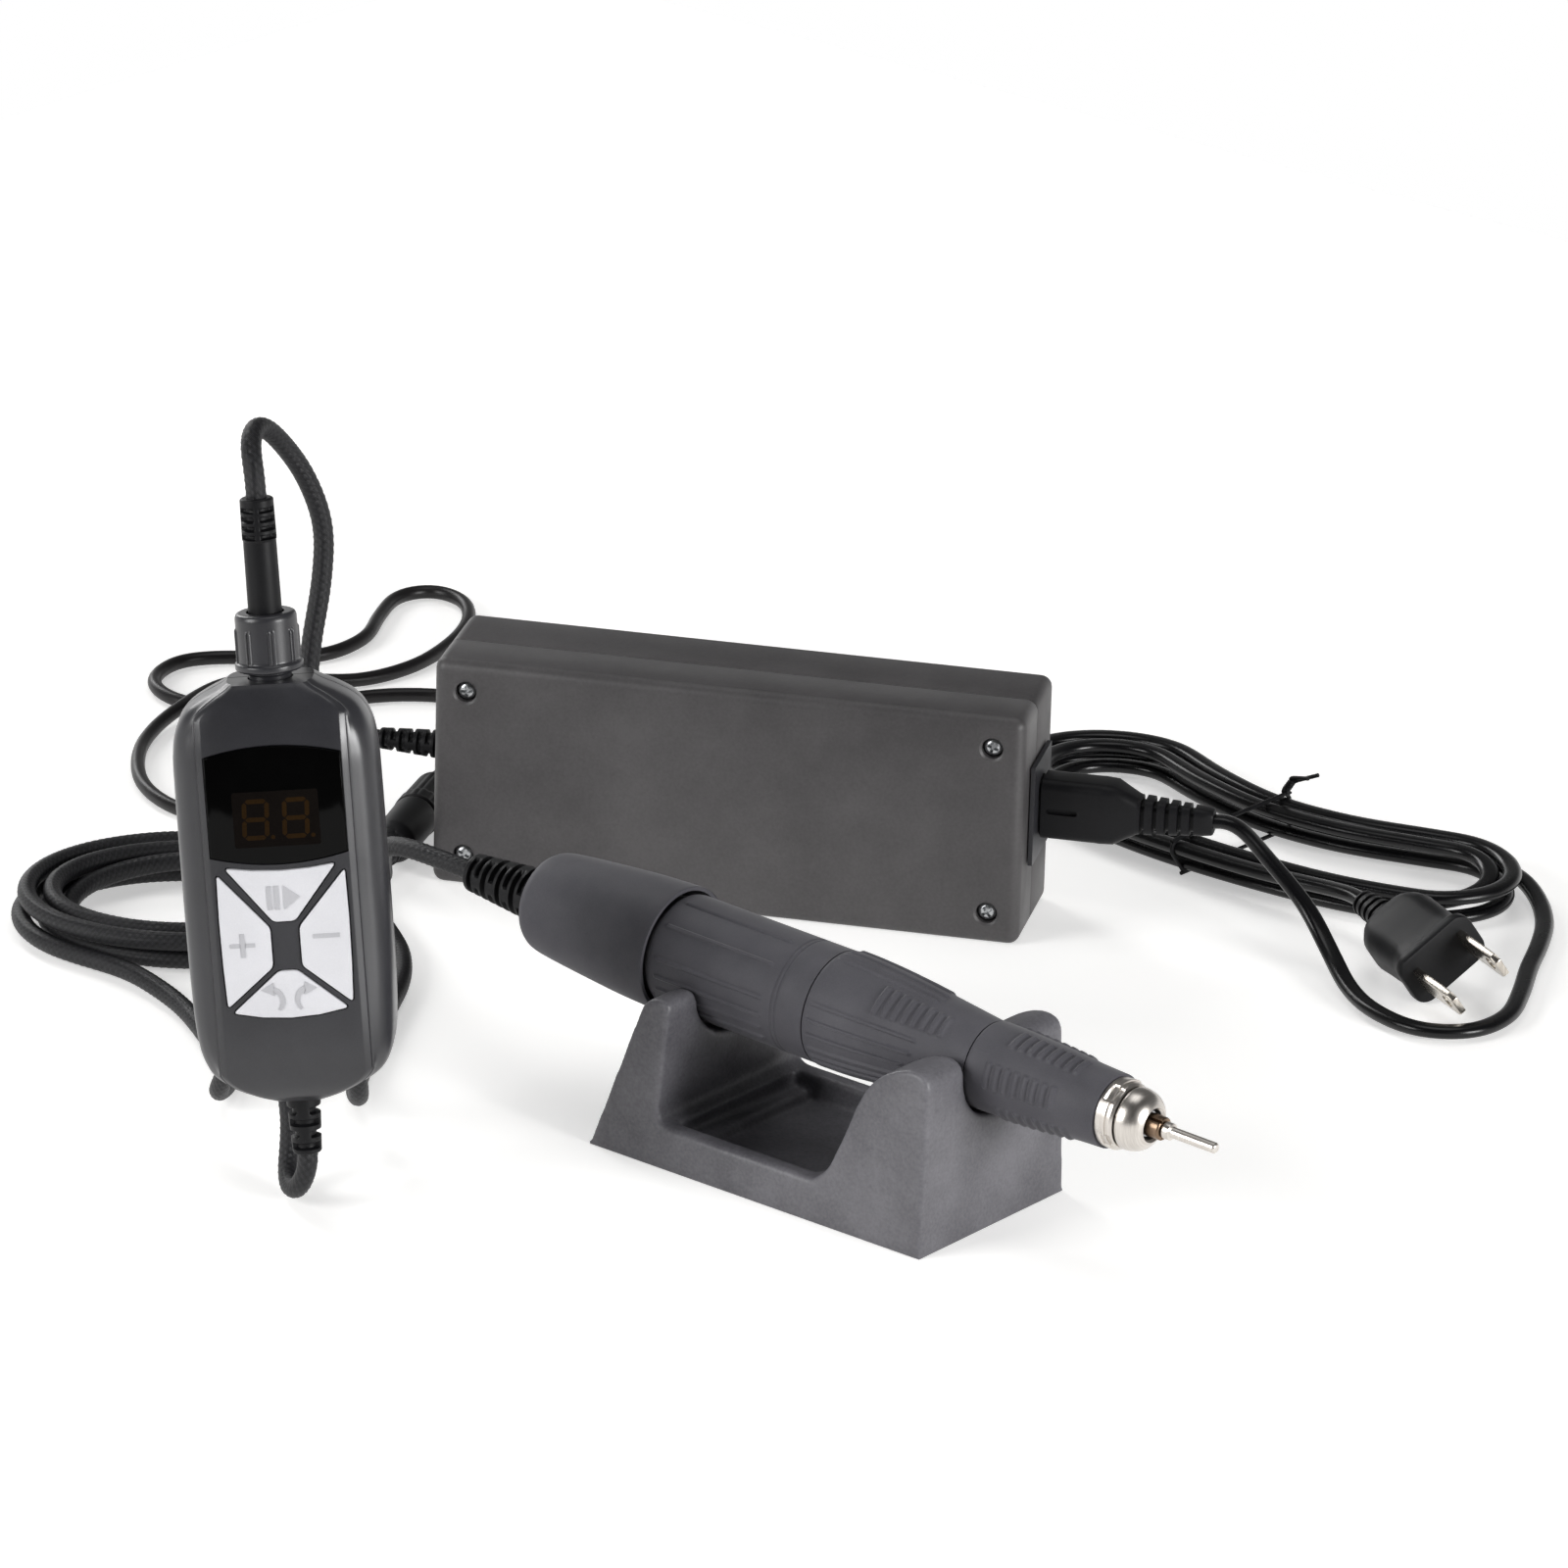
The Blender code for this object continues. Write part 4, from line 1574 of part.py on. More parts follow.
# Points in the controller's frame: down from its foot, up behind it and away to the floor
CONTROLLER_LOOP_ROUTE = (
    (-0.0006, 0.0006, -0.0170), (-0.0025, 0.0028, -0.0208), (-0.0046, 0.0070, -0.0222),
    (-0.0056, 0.0118, -0.0206), (-0.0052, 0.0156, -0.0164), (-0.0046, 0.0176, -0.0104),
    (-0.0050, 0.0186, -0.0035), (-0.0064, 0.0206, 0.0026), (-0.0094, 0.0250, 0.0066),
    (-0.0130, 0.0310, 0.0066), (-0.0164, 0.0375, 0.0020), (-0.0194, 0.0440, -0.0056),
    (-0.0224, 0.0510, -0.0122),
)
HANDPIECE_CORD_FLOOR_ROUTE = (
    (-0.1190, -0.0540, 0.0025), (-0.1300, -0.0455, 0.0023), (-0.1420, -0.0375, 0.0023),
    (-0.1540, -0.0310, 0.0024), (-0.1660, -0.0270, 0.0027), (-0.1760, -0.0254, 0.0030),
)
HANDPIECE_CORD_TO_HANDPIECE = (
    (-0.1660, 0.0430, 0.0088), (-0.1560, 0.0362, 0.0122), (-0.1470, 0.0268, 0.0180),
    (-0.1385, 0.0168, 0.0262), (-0.1295, 0.0075, 0.0345), (-0.1180, 0.0015, 0.0393),
)
SUPPLY_LEAD_FLOOR_ROUTE = (
    (-0.1678, 0.0450, 0.0034), (-0.1600, 0.0385, 0.0024), (-0.1500, 0.0320, 0.0023),
    (-0.1385, 0.0235, 0.0023), (-0.1285, 0.0120, 0.0023), (-0.1200, -0.0020, 0.0023),
    (-0.1120, -0.0160, 0.0023), (-0.1025, -0.0300, 0.0024), (-0.0940, -0.0420, 0.0036),
)
# Points in the controller's frame: up behind the housing and over to the plug on its top
SUPPLY_LEAD_RISE_ROUTE = (
    (0.0080, 0.0430, -0.0120), (0.0080, 0.0345, 0.0040), (0.0070, 0.0270, 0.0250),
    (0.0050, 0.0215, 0.0480), (0.0048, 0.0200, 0.0700), (0.0068, 0.0208, 0.0880),
    (0.0100, 0.0226, 0.1020), (0.0112, 0.0232, 0.1140), (0.0085, 0.0212, 0.1250),
    (0.0045, 0.0172, 0.1330), (0.0014, 0.0120, 0.1376), (-0.0004, 0.0065, 0.1376),
    (-0.0006, 0.0022, 0.1342),
)
SUPPLY_CORD_ROUTE = (
    (-0.2040, 0.0630, 0.0205), (-0.2150, 0.0580, 0.0090), (-0.2270, 0.0550, 0.0026),
    (-0.2380, 0.0556, 0.0020), (-0.2500, 0.0612, 0.0020), (-0.2610, 0.0717, 0.0020),
    (-0.2690, 0.0838, 0.0020), (-0.2735, 0.0980, 0.0030), (-0.2722, 0.1130, 0.0058),
    (-0.2670, 0.1290, 0.0040), (-0.2580, 0.1440, 0.0020), (-0.2545, 0.1600, 0.0020),
    (-0.2580, 0.1775, 0.0020), (-0.2650, 0.1923, 0.0020), (-0.2745, 0.2015, 0.0020),
    (-0.2845, 0.2020, 0.0020), (-0.2880, 0.1930, 0.0020), (-0.2825, 0.1800, 0.0020),
    (-0.2755, 0.1670, 0.0020), (-0.2745, 0.1530, 0.0020), (-0.2810, 0.1420, 0.0020),
    (-0.2905, 0.1345, 0.0020), (-0.2965, 0.1245, 0.0020), (-0.2930, 0.1120, 0.0020),
    (-0.2835, 0.1060, 0.0020), (-0.2720, 0.1070, 0.0020), (-0.2625, 0.1150, 0.0020),
    (-0.2540, 0.1280, 0.0020), (-0.2460, 0.1420, 0.0020), (-0.2345, 0.1510, 0.0020),
    (-0.2210, 0.1500, 0.0026), (-0.2090, 0.1385, 0.0040),
)
MAINS_LEAD_ROUTE = (
    (-0.0045, 0.1600, 0.0215), (0.0055, 0.1610, 0.0130), (0.0155, 0.1570, 0.0060),
    (0.0265, 0.1495, 0.0026), (0.0385, 0.1430, 0.0023), (0.0510, 0.1415, 0.0023),
    (0.0600, 0.1485, 0.0023), (0.0610, 0.1605, 0.0023), (0.0555, 0.1735, 0.0023),
    (0.0485, 0.1865, 0.0023), (0.0425, 0.1990, 0.0023), (0.0355, 0.2110, 0.0023),
    (0.0260, 0.2215, 0.0025), (0.0155, 0.2285, 0.0029),
)
MAINS_TAIL_ROUTE = ((-0.0170, 0.1800, 0.0082), (-0.0040, 0.1800, 0.0092))


def placed(matrix, route):
    """Returns the points of a route given in a frame as world points."""
    return [matrix @ Vector(point) for point in route]


def build_handpiece_cord(body):
    """Lays the braided cord from the controller, through its coil, to the handpiece."""
    coil = wound_path(coil_point, COIL_TURNS_IN + COIL_TURNS_CLIMB + COIL_TURNS_OUT)
    coil_in = lead_out(coil, BRAID_RADIUS, False)
    coil_out = lead_out(coil, BRAID_RADIUS, True)
    lay_cord("handpiece_cord_coil", [coil_in, *coil, coil_out], BRAID_RADIUS, COIL_ROUND_STEPS, BRAID_BLACK)
    print("handpiece_cord_coil least gap mm", round(least_gap(coil, BRAID_RADIUS) * 1000.0, 2))
    foot, foot_way = tip(body, (0.0, 0.0, FOOT_BOOT_BOTTOM), (0.0, 0.0, -1.0))
    route = [*placed(body, CONTROLLER_LOOP_ROUTE), *HANDPIECE_CORD_FLOOR_ROUTE]
    stretch = joined_route(foot, foot_way, route, coil_in, coil_in - coil[0], BRAID_RADIUS, CORD_POINT_SPACING)
    lay_cord("handpiece_cord_rear", stretch, BRAID_RADIUS, CORD_ROUND_STEPS, BRAID_BLACK)
    tail, tail_way = tip(axis_matrix(), (RELIEF_START, 0.0, 0.0), (-1.0, 0.0, 0.0))
    stretch = joined_route(coil_out, coil_out - coil[-1], HANDPIECE_CORD_TO_HANDPIECE, tail, tail_way,
                           BRAID_RADIUS, CORD_POINT_SPACING)
    lay_cord("handpiece_cord_front", stretch, BRAID_RADIUS, CORD_ROUND_STEPS, BRAID_BLACK)


def build_supply_cords(body, adapter):
    """Lays the cords that join the adapter, the in-line coupling and the controller."""
    coupling = Matrix.Translation(COUPLING_PLACE) @ Matrix.Rotation(math.radians(COUPLING_YAW_DEG), 4, "Z")
    reach = COUPLING_LENGTH + COUPLING_TAIL
    socket_end, socket_way = tip(coupling, (reach, 0.0, 0.0), (1.0, 0.0, 0.0))
    top, top_way = tip(body, (0.0, 0.0, PLUG_RELIEF_TOP), (0.0, 0.0, 1.0))
    route = [*SUPPLY_LEAD_FLOOR_ROUTE, *placed(body, SUPPLY_LEAD_RISE_ROUTE)]
    stretch = joined_route(socket_end, socket_way, route, top, top_way, BRAID_RADIUS, CORD_POINT_SPACING)
    lay_cord("supply_lead", stretch, BRAID_RADIUS, CORD_ROUND_STEPS, BRAID_BLACK)
    middle = ADAPTER_DEPTH / 2.0
    gland, gland_way = tip(adapter, (-CORD_EXIT_LENGTH, middle, CORD_EXIT_HEIGHT), (-1.0, 0.0, 0.0))
    plug_end, plug_way = tip(coupling, (-reach, 0.0, 0.0), (-1.0, 0.0, 0.0))
    stretch = joined_route(gland, gland_way, SUPPLY_CORD_ROUTE, plug_end, plug_way, SMOOTH_RADIUS,
                           LONG_CORD_POINT_SPACING)
    lay_cord("supply_cord", stretch, SMOOTH_RADIUS, CORD_ROUND_STEPS, RUBBER_BLACK)


def build_mains_cord(adapter):
    """Lays the mains cord from the connector, through its hank, to the mains plug."""
    hank = wound_path(hank_point, HANK_TURNS_IN + HANK_TURNS_CLIMB + HANK_TURNS_OUT)
    hank_in = lead_out(hank, MAINS_RADIUS, False)
    plug = Matrix.Translation(MAINS_PLUG_PLACE) @ Matrix.Rotation(math.radians(MAINS_PLUG_YAW_DEG), 4, "Z")
    rear, rear_way = tip(plug, (0.0, 0.0, 0.0), (-1.0, 0.0, 0.0))
    last = step_off(rear, rear_way, GAP)
    tail = [hank[-2], hank[-1], *[Vector(point) for point in MAINS_TAIL_ROUTE],
            step_off(last, rear_way, 2.5 * MAINS_RADIUS), last]
    tail = evenly(smooth_curve(tail)[ROUTE_STEPS:], CORD_POINT_SPACING)[1:]
    lay_cord("mains_cord_hank", [hank_in, *hank, *tail], MAINS_RADIUS, COIL_ROUND_STEPS, RUBBER_BLACK)
    print("mains_cord_hank least gap mm", round(least_gap([*hank, *tail], MAINS_RADIUS) * 1000.0, 2))
    middle = ADAPTER_DEPTH / 2.0
    relief = INLET_PLATE_THICK + 2.0 * GAP + CONNECTOR_BODY_LENGTH + CONNECTOR_TAPER + CONNECTOR_RELIEF_LENGTH
    start, way = tip(adapter, (ADAPTER_LENGTH + relief, middle, INLET_HEIGHT), (1.0, 0.0, 0.0))
    lead = joined_route(start, way, MAINS_LEAD_ROUTE, hank_in, hank_in - hank[0], MAINS_RADIUS,
                        CORD_POINT_SPACING)
    lay_cord("mains_lead", lead, MAINS_RADIUS, CORD_ROUND_STEPS, RUBBER_BLACK)


def build_cords():
    """Lays every free cord, its coil or hank and their ties."""
    body = controller_matrix()
    adapter = Matrix.Translation(ADAPTER_PLACE) @ Matrix.Rotation(math.radians(ADAPTER_YAW_DEG), 4, "Z")
    build_handpiece_cord(body)
    build_supply_cords(body, adapter)
    build_mains_cord(adapter)
    build_ties()


def main():
    """Builds the whole set."""
    wipe_scene()
    build_cradle()
    build_handpiece()
    build_controller()
    build_adapter()
    build_mains_plug()
    build_coupling()
    build_cords()


main()
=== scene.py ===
"""Looks of a portable nail drill set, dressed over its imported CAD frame.

The set is a hand-held controller, a drill handpiece lying in its cradle, a power adapter and the
cords between them. Lengths are in metres, in the frame of the CAD, and mm() takes them in
millimetres. Each sub-assembly is drawn in its own frame and then moved to its place.
"""

import logging
import math
from collections.abc import Callable, Iterable, Sequence
from dataclasses import dataclass, field
from enum import Enum
from typing import NamedTuple

import bmesh
import bpy
from mathutils import Euler, Matrix, Vector


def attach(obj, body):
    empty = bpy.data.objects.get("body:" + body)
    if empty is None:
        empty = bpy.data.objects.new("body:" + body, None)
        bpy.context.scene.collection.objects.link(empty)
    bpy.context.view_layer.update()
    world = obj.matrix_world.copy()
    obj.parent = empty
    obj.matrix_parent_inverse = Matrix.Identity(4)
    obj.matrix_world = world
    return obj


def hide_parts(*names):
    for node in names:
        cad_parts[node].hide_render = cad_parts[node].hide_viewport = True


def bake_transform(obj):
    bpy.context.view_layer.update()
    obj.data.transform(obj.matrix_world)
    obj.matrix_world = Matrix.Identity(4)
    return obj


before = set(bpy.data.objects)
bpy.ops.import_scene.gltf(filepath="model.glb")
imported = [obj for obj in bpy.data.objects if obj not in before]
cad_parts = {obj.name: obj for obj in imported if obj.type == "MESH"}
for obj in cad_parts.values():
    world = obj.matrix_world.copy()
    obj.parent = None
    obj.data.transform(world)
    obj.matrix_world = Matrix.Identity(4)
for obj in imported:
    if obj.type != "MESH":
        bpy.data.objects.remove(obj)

LOG = logging.getLogger("nail_drill")

MM = 0.001
GAP = 0.3 * MM
MERGE = 0.0005 * MM
SMOOTH_DEG = 32.0
ALL_SMOOTH_DEG = 180.0

Piece = bpy.types.Object
Shape = bmesh.types.BMesh
Socket = bpy.types.NodeSocket
Outline = list[tuple[float, float]]


class Spot(NamedTuple):
    """A point of a turned piece: its place along the axis, its turn from the top and its radius."""

    place: float
    angle: float
    radius: float


Relief = Callable[[Spot], float]


# Places of the sub-assemblies, the same as in the CAD

HANDPIECE_PLACE = Matrix.Translation((0.0, 0.0, 0.0368)) @ Matrix.Rotation(math.radians(1.7), 4, "Y")
CONTROLLER_TURN = Euler((-math.radians(8.0), -math.radians(5.4), math.radians(38.5)), "XYZ")
CONTROLLER_PLACE = Matrix.Translation((-0.0662, -0.0902, 0.0259)) @ CONTROLLER_TURN.to_matrix().to_4x4()
ADAPTER_PLACE = Matrix.Translation((-0.1651, 0.0639, 0.0)) @ Matrix.Rotation(math.radians(26.25), 4, "Z")
MAINS_PLUG_TURN = Euler((math.radians(35.0), 0.0, math.radians(-25.0)), "XYZ")
MAINS_PLUG_PLACE = Matrix.Translation((0.0100, 0.1770, 0.0100)) @ MAINS_PLUG_TURN.to_matrix().to_4x4()
COUPLING_PLACE = Matrix.Translation((-0.1846, 0.0807, 0.0056)) @ Matrix.Rotation(math.radians(-66.0), 4, "Z")
WORLD_PLACE = Matrix.Identity(4)
UPRIGHT = Matrix.Rotation(-math.pi / 2.0, 4, "Y")
INWARDS = Matrix.Rotation(math.pi / 2.0, 4, "Z")


# Finishes

class Surface(Enum):
    """How a surface was made, which gives it its fine texture."""

    MOULDED = "moulded"
    TURNED = "turned"
    BRAIDED = "braided"
    LAYERED = "layered"


def linear(shade: str) -> tuple[float, float, float, float]:
    """Turns an sRGB hex value into a linear colour.

    Args:
        shade: The colour as six hex digits after a number sign.

    Returns:
        Red, green, blue and an alpha of one.
    """
    values = []
    for start in (1, 3, 5):
        share = int(shade[start:start + 2], 16) / 255.0
        values.append(share / 12.92 if share <= 0.04045 else ((share + 0.055) / 1.055) ** 2.4)
    return (*values, 1.0)


def add_node(tree: bpy.types.NodeTree, kind: str, values: dict[str | int, object]) -> bpy.types.Node:
    """Adds a shader node with its settings and links.

    Args:
        tree: The node tree that takes the node.
        kind: The node's type, without the words ShaderNode.
        values: What each property or input is set to, or the output socket that feeds it.

    Returns:
        The new node.
    """
    made = tree.nodes.new("ShaderNode" + kind)
    for key, value in values.items():
        if isinstance(value, Socket):
            tree.links.new(value, made.inputs[key])
        elif isinstance(key, str) and hasattr(made, key):
            setattr(made, key, value)
        else:
            made.inputs[key].default_value = value
    return made


@dataclass(frozen=True)
class Finish:
    """A finish: what the material is, its slot name and how its surface was made."""

    name: str
    slot: str
    light: str
    dark: str
    roughness: float
    grain_mm: float
    relief_mm: float
    surface: Surface = Surface.MOULDED
    metallic: float = 0.0
    ior: float = 1.5
    specular: float = 0.5
    sheen: float = 0.0
    sheen_roughness: float = 0.45
    cloud_mm: float = 14.0
    roughness_spread: float = 0.05
    axis_turn: tuple[float, float, float] = (0.0, 0.0, 0.0)

    def material(self) -> bpy.types.Material:
        """Makes the material of this finish once.

        Returns:
            The material.
        """
        made = bpy.data.materials.get(self.name)
        if made is not None:
            return made
        made = bpy.data.materials.new(self.name)
        made.use_nodes = True
        made.diffuse_color = linear(self.light)
        tree = made.node_tree
        shader = tree.nodes["Principled BSDF"]
        for key, value in (("Metallic", self.metallic), ("IOR", self.ior), ("Specular IOR Level", self.specular),
                           ("Sheen Weight", self.sheen), ("Sheen Roughness", self.sheen_roughness)):
            shader.inputs[key].default_value = value
        coords = add_node(tree, "TexCoord", {}).outputs["Object"]
        height, share = self.texture(tree, coords)
        colour = add_node(tree, "Mix", {"data_type": "RGBA", 0: share, 6: linear(self.dark), 7: linear(self.light)})
        bump = add_node(tree, "Bump", {"Strength": 1.0, "Distance": self.relief_mm * MM, "Height": height})
        cloud = add_node(tree, "TexNoise", {"Scale": 1.0 / (self.cloud_mm * MM), "Detail": 4.0, "Vector": coords})
        rough = add_node(tree, "MapRange", {"Value": cloud.outputs["Fac"], "From Min": 0.3, "From Max": 0.7,
                                            "To Min": self.roughness - self.roughness_spread,
                                            "To Max": self.roughness + self.roughness_spread})
        for key, socket in (("Base Color", colour.outputs[2]), ("Normal", bump.outputs["Normal"]),
                            ("Roughness", rough.outputs["Result"])):
            tree.links.new(socket, shader.inputs[key])
        return made

    def texture(self, tree: bpy.types.NodeTree, coords: Socket) -> tuple[Socket, Socket]:
        """Draws the fine texture that the making of the surface leaves; on a braid it also paints the strands'
        highlight and shade into the colour.

        Args:
            tree: The material's node tree.
            coords: The socket of the object's coordinates.

        Returns:
            The sockets of the height and of the share of the lighter colour.
        """
        fine = 1.0 / (self.grain_mm * MM)
        if self.surface is Surface.LAYERED:
            # The cells of a pressed or laminated surface
            cells = add_node(tree, "TexVoronoi", {"Scale": fine, "Vector": coords}).outputs["Distance"]
            return cells, cells
        if self.surface is Surface.TURNED:
            # The fine rings that a lathe or a drawing die leaves round or along an axis
            place = add_node(tree, "Mapping", {"Vector": coords, "Rotation": self.axis_turn,
                                               "Scale": (fine, fine * 0.02, fine * 0.02)})
            rings = add_node(tree, "TexNoise", {"Vector": place.outputs["Vector"], "Scale": 1.0, "Detail": 4.0,
                                                "Roughness": 0.65}).outputs["Fac"]
            share = add_node(tree, "MapRange", {"Value": rings, "From Min": 0.35, "From Max": 0.65})
            return rings, share.outputs["Result"]
        if self.surface is Surface.BRAIDED:
            # The threads inside each strand, from the cord's own UV map in millimetres and its attributes; the lighter
            # colour on the threads of each strand's crest is a painted highlight, the dark between strands painted
            # shade
            flat = add_node(tree, "UVMap", {"uv_map": "UVMap"}).outputs["UV"]
            waves = []
            for slant in (-math.pi / 4.0, math.pi / 4.0):
                turn = add_node(tree, "Mapping", {"Vector": flat, "Rotation": (0.0, 0.0, slant)}).outputs["Vector"]
                wave = add_node(tree, "TexWave", {"bands_direction": "X", "Scale": math.tau / 20.0 / self.grain_mm,
                                                  "Distortion": 0.6, "Detail": 1.0, "Vector": turn})
                waves.append(wave.outputs["Fac"])
            side, rise = [add_node(tree, "Attribute", {"attribute_name": name}).outputs["Fac"]
                          for name in ("strand_side", "strand_rise")]
            threads = add_node(tree, "Mix", {"data_type": "FLOAT", 0: side, 2: waves[0], 3: waves[1]}).outputs[0]
            # Painted highlight on the strands' crests and painted shade between them
            share = add_node(tree, "Math", {"operation": "MULTIPLY", 0: rise, 1: threads})
            return threads, share.outputs["Value"]
        # The fine grain that a spark-eroded mould leaves, under slow clouds
        grain = add_node(tree, "TexNoise", {"Scale": fine, "Detail": 3.0, "Roughness": 0.62,
                                            "Vector": coords}).outputs["Fac"]
        cloud = add_node(tree, "TexNoise", {"Scale": 0.6 / (self.cloud_mm * MM), "Detail": 5.0, "Roughness": 0.6,
                                            "Vector": coords}).outputs["Fac"]
        mixed = add_node(tree, "Math", {"operation": "MULTIPLY_ADD", 0: grain, 1: 0.5, 2: cloud}).outputs["Value"]
        share = add_node(tree, "MapRange", {"Value": mixed, "From Min": 0.55, "From Max": 0.95})
        return grain, share.outputs["Result"]


# Each finish has its name, slot, light and dark shade, roughness, and its grain and relief in millimetres

# ABS, moulded and lightly grained: near black with a soft satin gloss
HOUSING_ABS = Finish("abs_satin_black", "housing_plastic", "#303034", "#27272a", 0.33, 0.35, 0.004, ior=1.54)
# ABS with a coarser spark-eroded grain: dark grey with a fine sparkle
CRADLE_ABS = Finish("abs_grained_grey", "cradle_plastic", "#6d6c71", "#4b4a4f", 0.48, 0.75, 0.045, ior=1.54)
# Flame-retardant polycarbonate blend with a leathery mould grain: warm black
ADAPTER_PC = Finish("pc_abs_grained_black", "adapter_plastic", "#464445", "#363435", 0.50, 0.70, 0.030, ior=1.58)
# Soft-touch elastomer over a moulded cover: charcoal, matte, with a bloom at the edges
GRIP_TPE = Finish("tpe_soft_charcoal", "handpiece_plastic", "#4f4e54", "#424147", 0.66, 0.30, 0.008, ior=1.48,
                  sheen=0.10, cloud_mm=9.0)
# Flexible PVC of boots and plugs: black with a dull skin
BOOT_PVC = Finish("pvc_dull_black", "soft_black", "#151517", "#0d0d0f", 0.48, 0.40, 0.010, ior=1.53, specular=0.18)
# Extruded PVC jacket: glossy black with slow waves from the extruder
MAINS_JACKET = Finish("pvc_glossy_jacket", "cord_jacket", "#0d0d0f", "#070708", 0.27, 2.6, 0.020, ior=1.53,
                      specular=0.32)
# Extruded PVC of the thin supply cord: duller and a little warm
SUPPLY_JACKET = Finish("pvc_matte_jacket", "cord_jacket", "#171516", "#100e0f", 0.40, 1.2, 0.010, ior=1.53,
                       specular=0.32)
# Nylon yarn braided over the cord, black: the threads are painted lighter where each strand comes over, a painted
# highlight, and near black between the strands, painted shade.
# The threads are drawn about twice as coarse as the real ones, so that they show.
BRAID_NYLON = Finish("nylon_braid_black", "cord_braid", "#353539", "#040405", 0.44, 0.28, 0.045, Surface.BRAIDED,
                     ior=1.53, specular=0.30)
# Silicone keys: pale grey, silky
KEY_SILICONE = Finish("silicone_pale_grey", "key_plastic", "#dcdce0", "#d2d2d6", 0.50, 0.30, 0.003, ior=1.43)
# The raised signs on the keys: the same silicone, painted a shade darker as painted shade along their relief
SIGN_SILICONE_PAINTED_SHADE = Finish("silicone_sign_painted_shade", "key_plastic", "#bdbdc1", "#b1b1b5", 0.55, 0.30, 0.003, ior=1.43)
# Acrylic window printed black from behind: a deep gloss with faint wiping marks
WINDOW_ACRYLIC = Finish("acrylic_smoked_black", "display_lens", "#040404", "#020202", 0.08, 6.0, 0.0005, ior=1.49,
                        specular=0.10, roughness_spread=0.02)
# The panel behind the smoked window, a shade lighter than the print
PANEL_SMOKED = Finish("smoked_panel", "display_lens", "#110e0c", "#0c0908", 0.10, 4.0, 0.0005, ior=1.49,
                      specular=0.10, roughness_spread=0.02)
# Unlit segments seen through the smoked window: a dim amber
SEGMENT_AMBER = Finish("segment_dim_amber", "display_lens", "#281b0b", "#1f1408", 0.12, 0.6, 0.001, ior=1.49,
                       specular=0.10, roughness_spread=0.02)
AXIS_TURN = (0.0, -math.radians(1.7), 0.0)
# Nickel plate over turned brass: bright, with fine rings round the axis
NOSE_NICKEL = Finish("nickel_turned", "nickel", "#dcd7d1", "#c4beb7", 0.31, 0.12, 0.003, Surface.TURNED, 1.0,
                     axis_turn=AXIS_TURN)
# Spring steel of the collet: heat-tinted brown
COLLET_STEEL = Finish("steel_tempered_brown", "steel", "#8f7a66", "#6d5a4a", 0.34, 0.15, 0.004, Surface.TURNED, 1.0,
                      axis_turn=AXIS_TURN)
# Nickel-plated brass strip of the blades: drawn lengthwise
BLADE_NICKEL = Finish("nickel_drawn_strip", "nickel", "#d3cdc4", "#b7b0a6", 0.26, 0.25, 0.003, Surface.TURNED, 1.0,
                      axis_turn=(0.0, 0.0, math.radians(115.0)))
# Zinc-plated steel of screws and pins: pale and even
SCREW_STEEL = Finish("steel_zinc_plated", "steel", "#c6c8ca", "#a9abad", 0.30, 0.20, 0.004, metallic=1.0)
# Turned steel of the motor and the bearings: grey with rings
MOTOR_STEEL = Finish("steel_turned", "steel", "#b9bbbd", "#96989a", 0.32, 0.20, 0.004, Surface.TURNED, 1.0,
                     axis_turn=AXIS_TURN)
# Free-cutting brass and turned aluminium inside the handpiece: yellow and white, with rings
COUPLER_BRASS = Finish("brass_turned", "brass", "#d1ab62", "#b48f49", 0.30, 0.20, 0.004, Surface.TURNED, 1.0,
                       axis_turn=AXIS_TURN)
BARREL_ALUMINIUM = Finish("aluminium_turned", "aluminium", "#c9cccf", "#aeb1b4", 0.34, 0.22, 0.005, Surface.TURNED,
                          1.0, axis_turn=AXIS_TURN)
# Glass-filled nylon of the brush holder and the display frame: a dry dark grey
INNER_NYLON = Finish("nylon_glass_filled", "internal_plastic", "#2b2b2d", "#202022", 0.55, 0.6, 0.010, ior=1.53)
# Epoxy laminate under green solder mask, with the weave faintly through it
BOARD_EPOXY = Finish("epoxy_laminate_green", "board", "#1f5a35", "#174729", 0.38, 1.2, 0.006, Surface.LAYERED,
                     ior=1.55)
# Sintered ferrite of the transformer core: matte dark grey with a dry grain
CORE_FERRITE = Finish("ferrite_sintered", "ferrite", "#46464a", "#38383b", 0.62, 0.8, 0.012, Surface.LAYERED, ior=1.6)


# Outlines

def mm(*points: Sequence[float], at: float = 0.0) -> list[tuple[float, ...]]:
    """Turns points in millimetres into metres, the first number of each counted from a place in metres."""
    return [(at + point[0] * MM, *[value * MM for value in point[1:]]) for point in points]


def turns(*degrees: float) -> tuple[float, ...]:
    """Turns degrees into radians."""
    return tuple(math.radians(turn) for turn in degrees)


def smoothed(points: Sequence[Sequence[float]], steps: int = 8) -> list[Vector]:
    """Reads a smooth curve through points.

    Args:
        points: Points of two or three numbers.
        steps: How many points stand for each stretch.

    Returns:
        The points of the curve, with both ends kept.
    """
    points = [Vector(point) for point in points]
    ends = [2.0 * points[0] - points[1], *points, 2.0 * points[-1] - points[-2]]
    fine = []
    for before, first, second, after in zip(ends, ends[1:], ends[2:], ends[3:]):
        for index in range(steps):
            t = index / steps
            fine.append(0.5 * (2.0 * first + (second - before) * t
                               + (2.0 * before - 5.0 * first + 4.0 * second - after) * t ** 2
                               + (3.0 * first - before - 3.0 * second + after) * t ** 3))
    return [*fine, points[-1]]


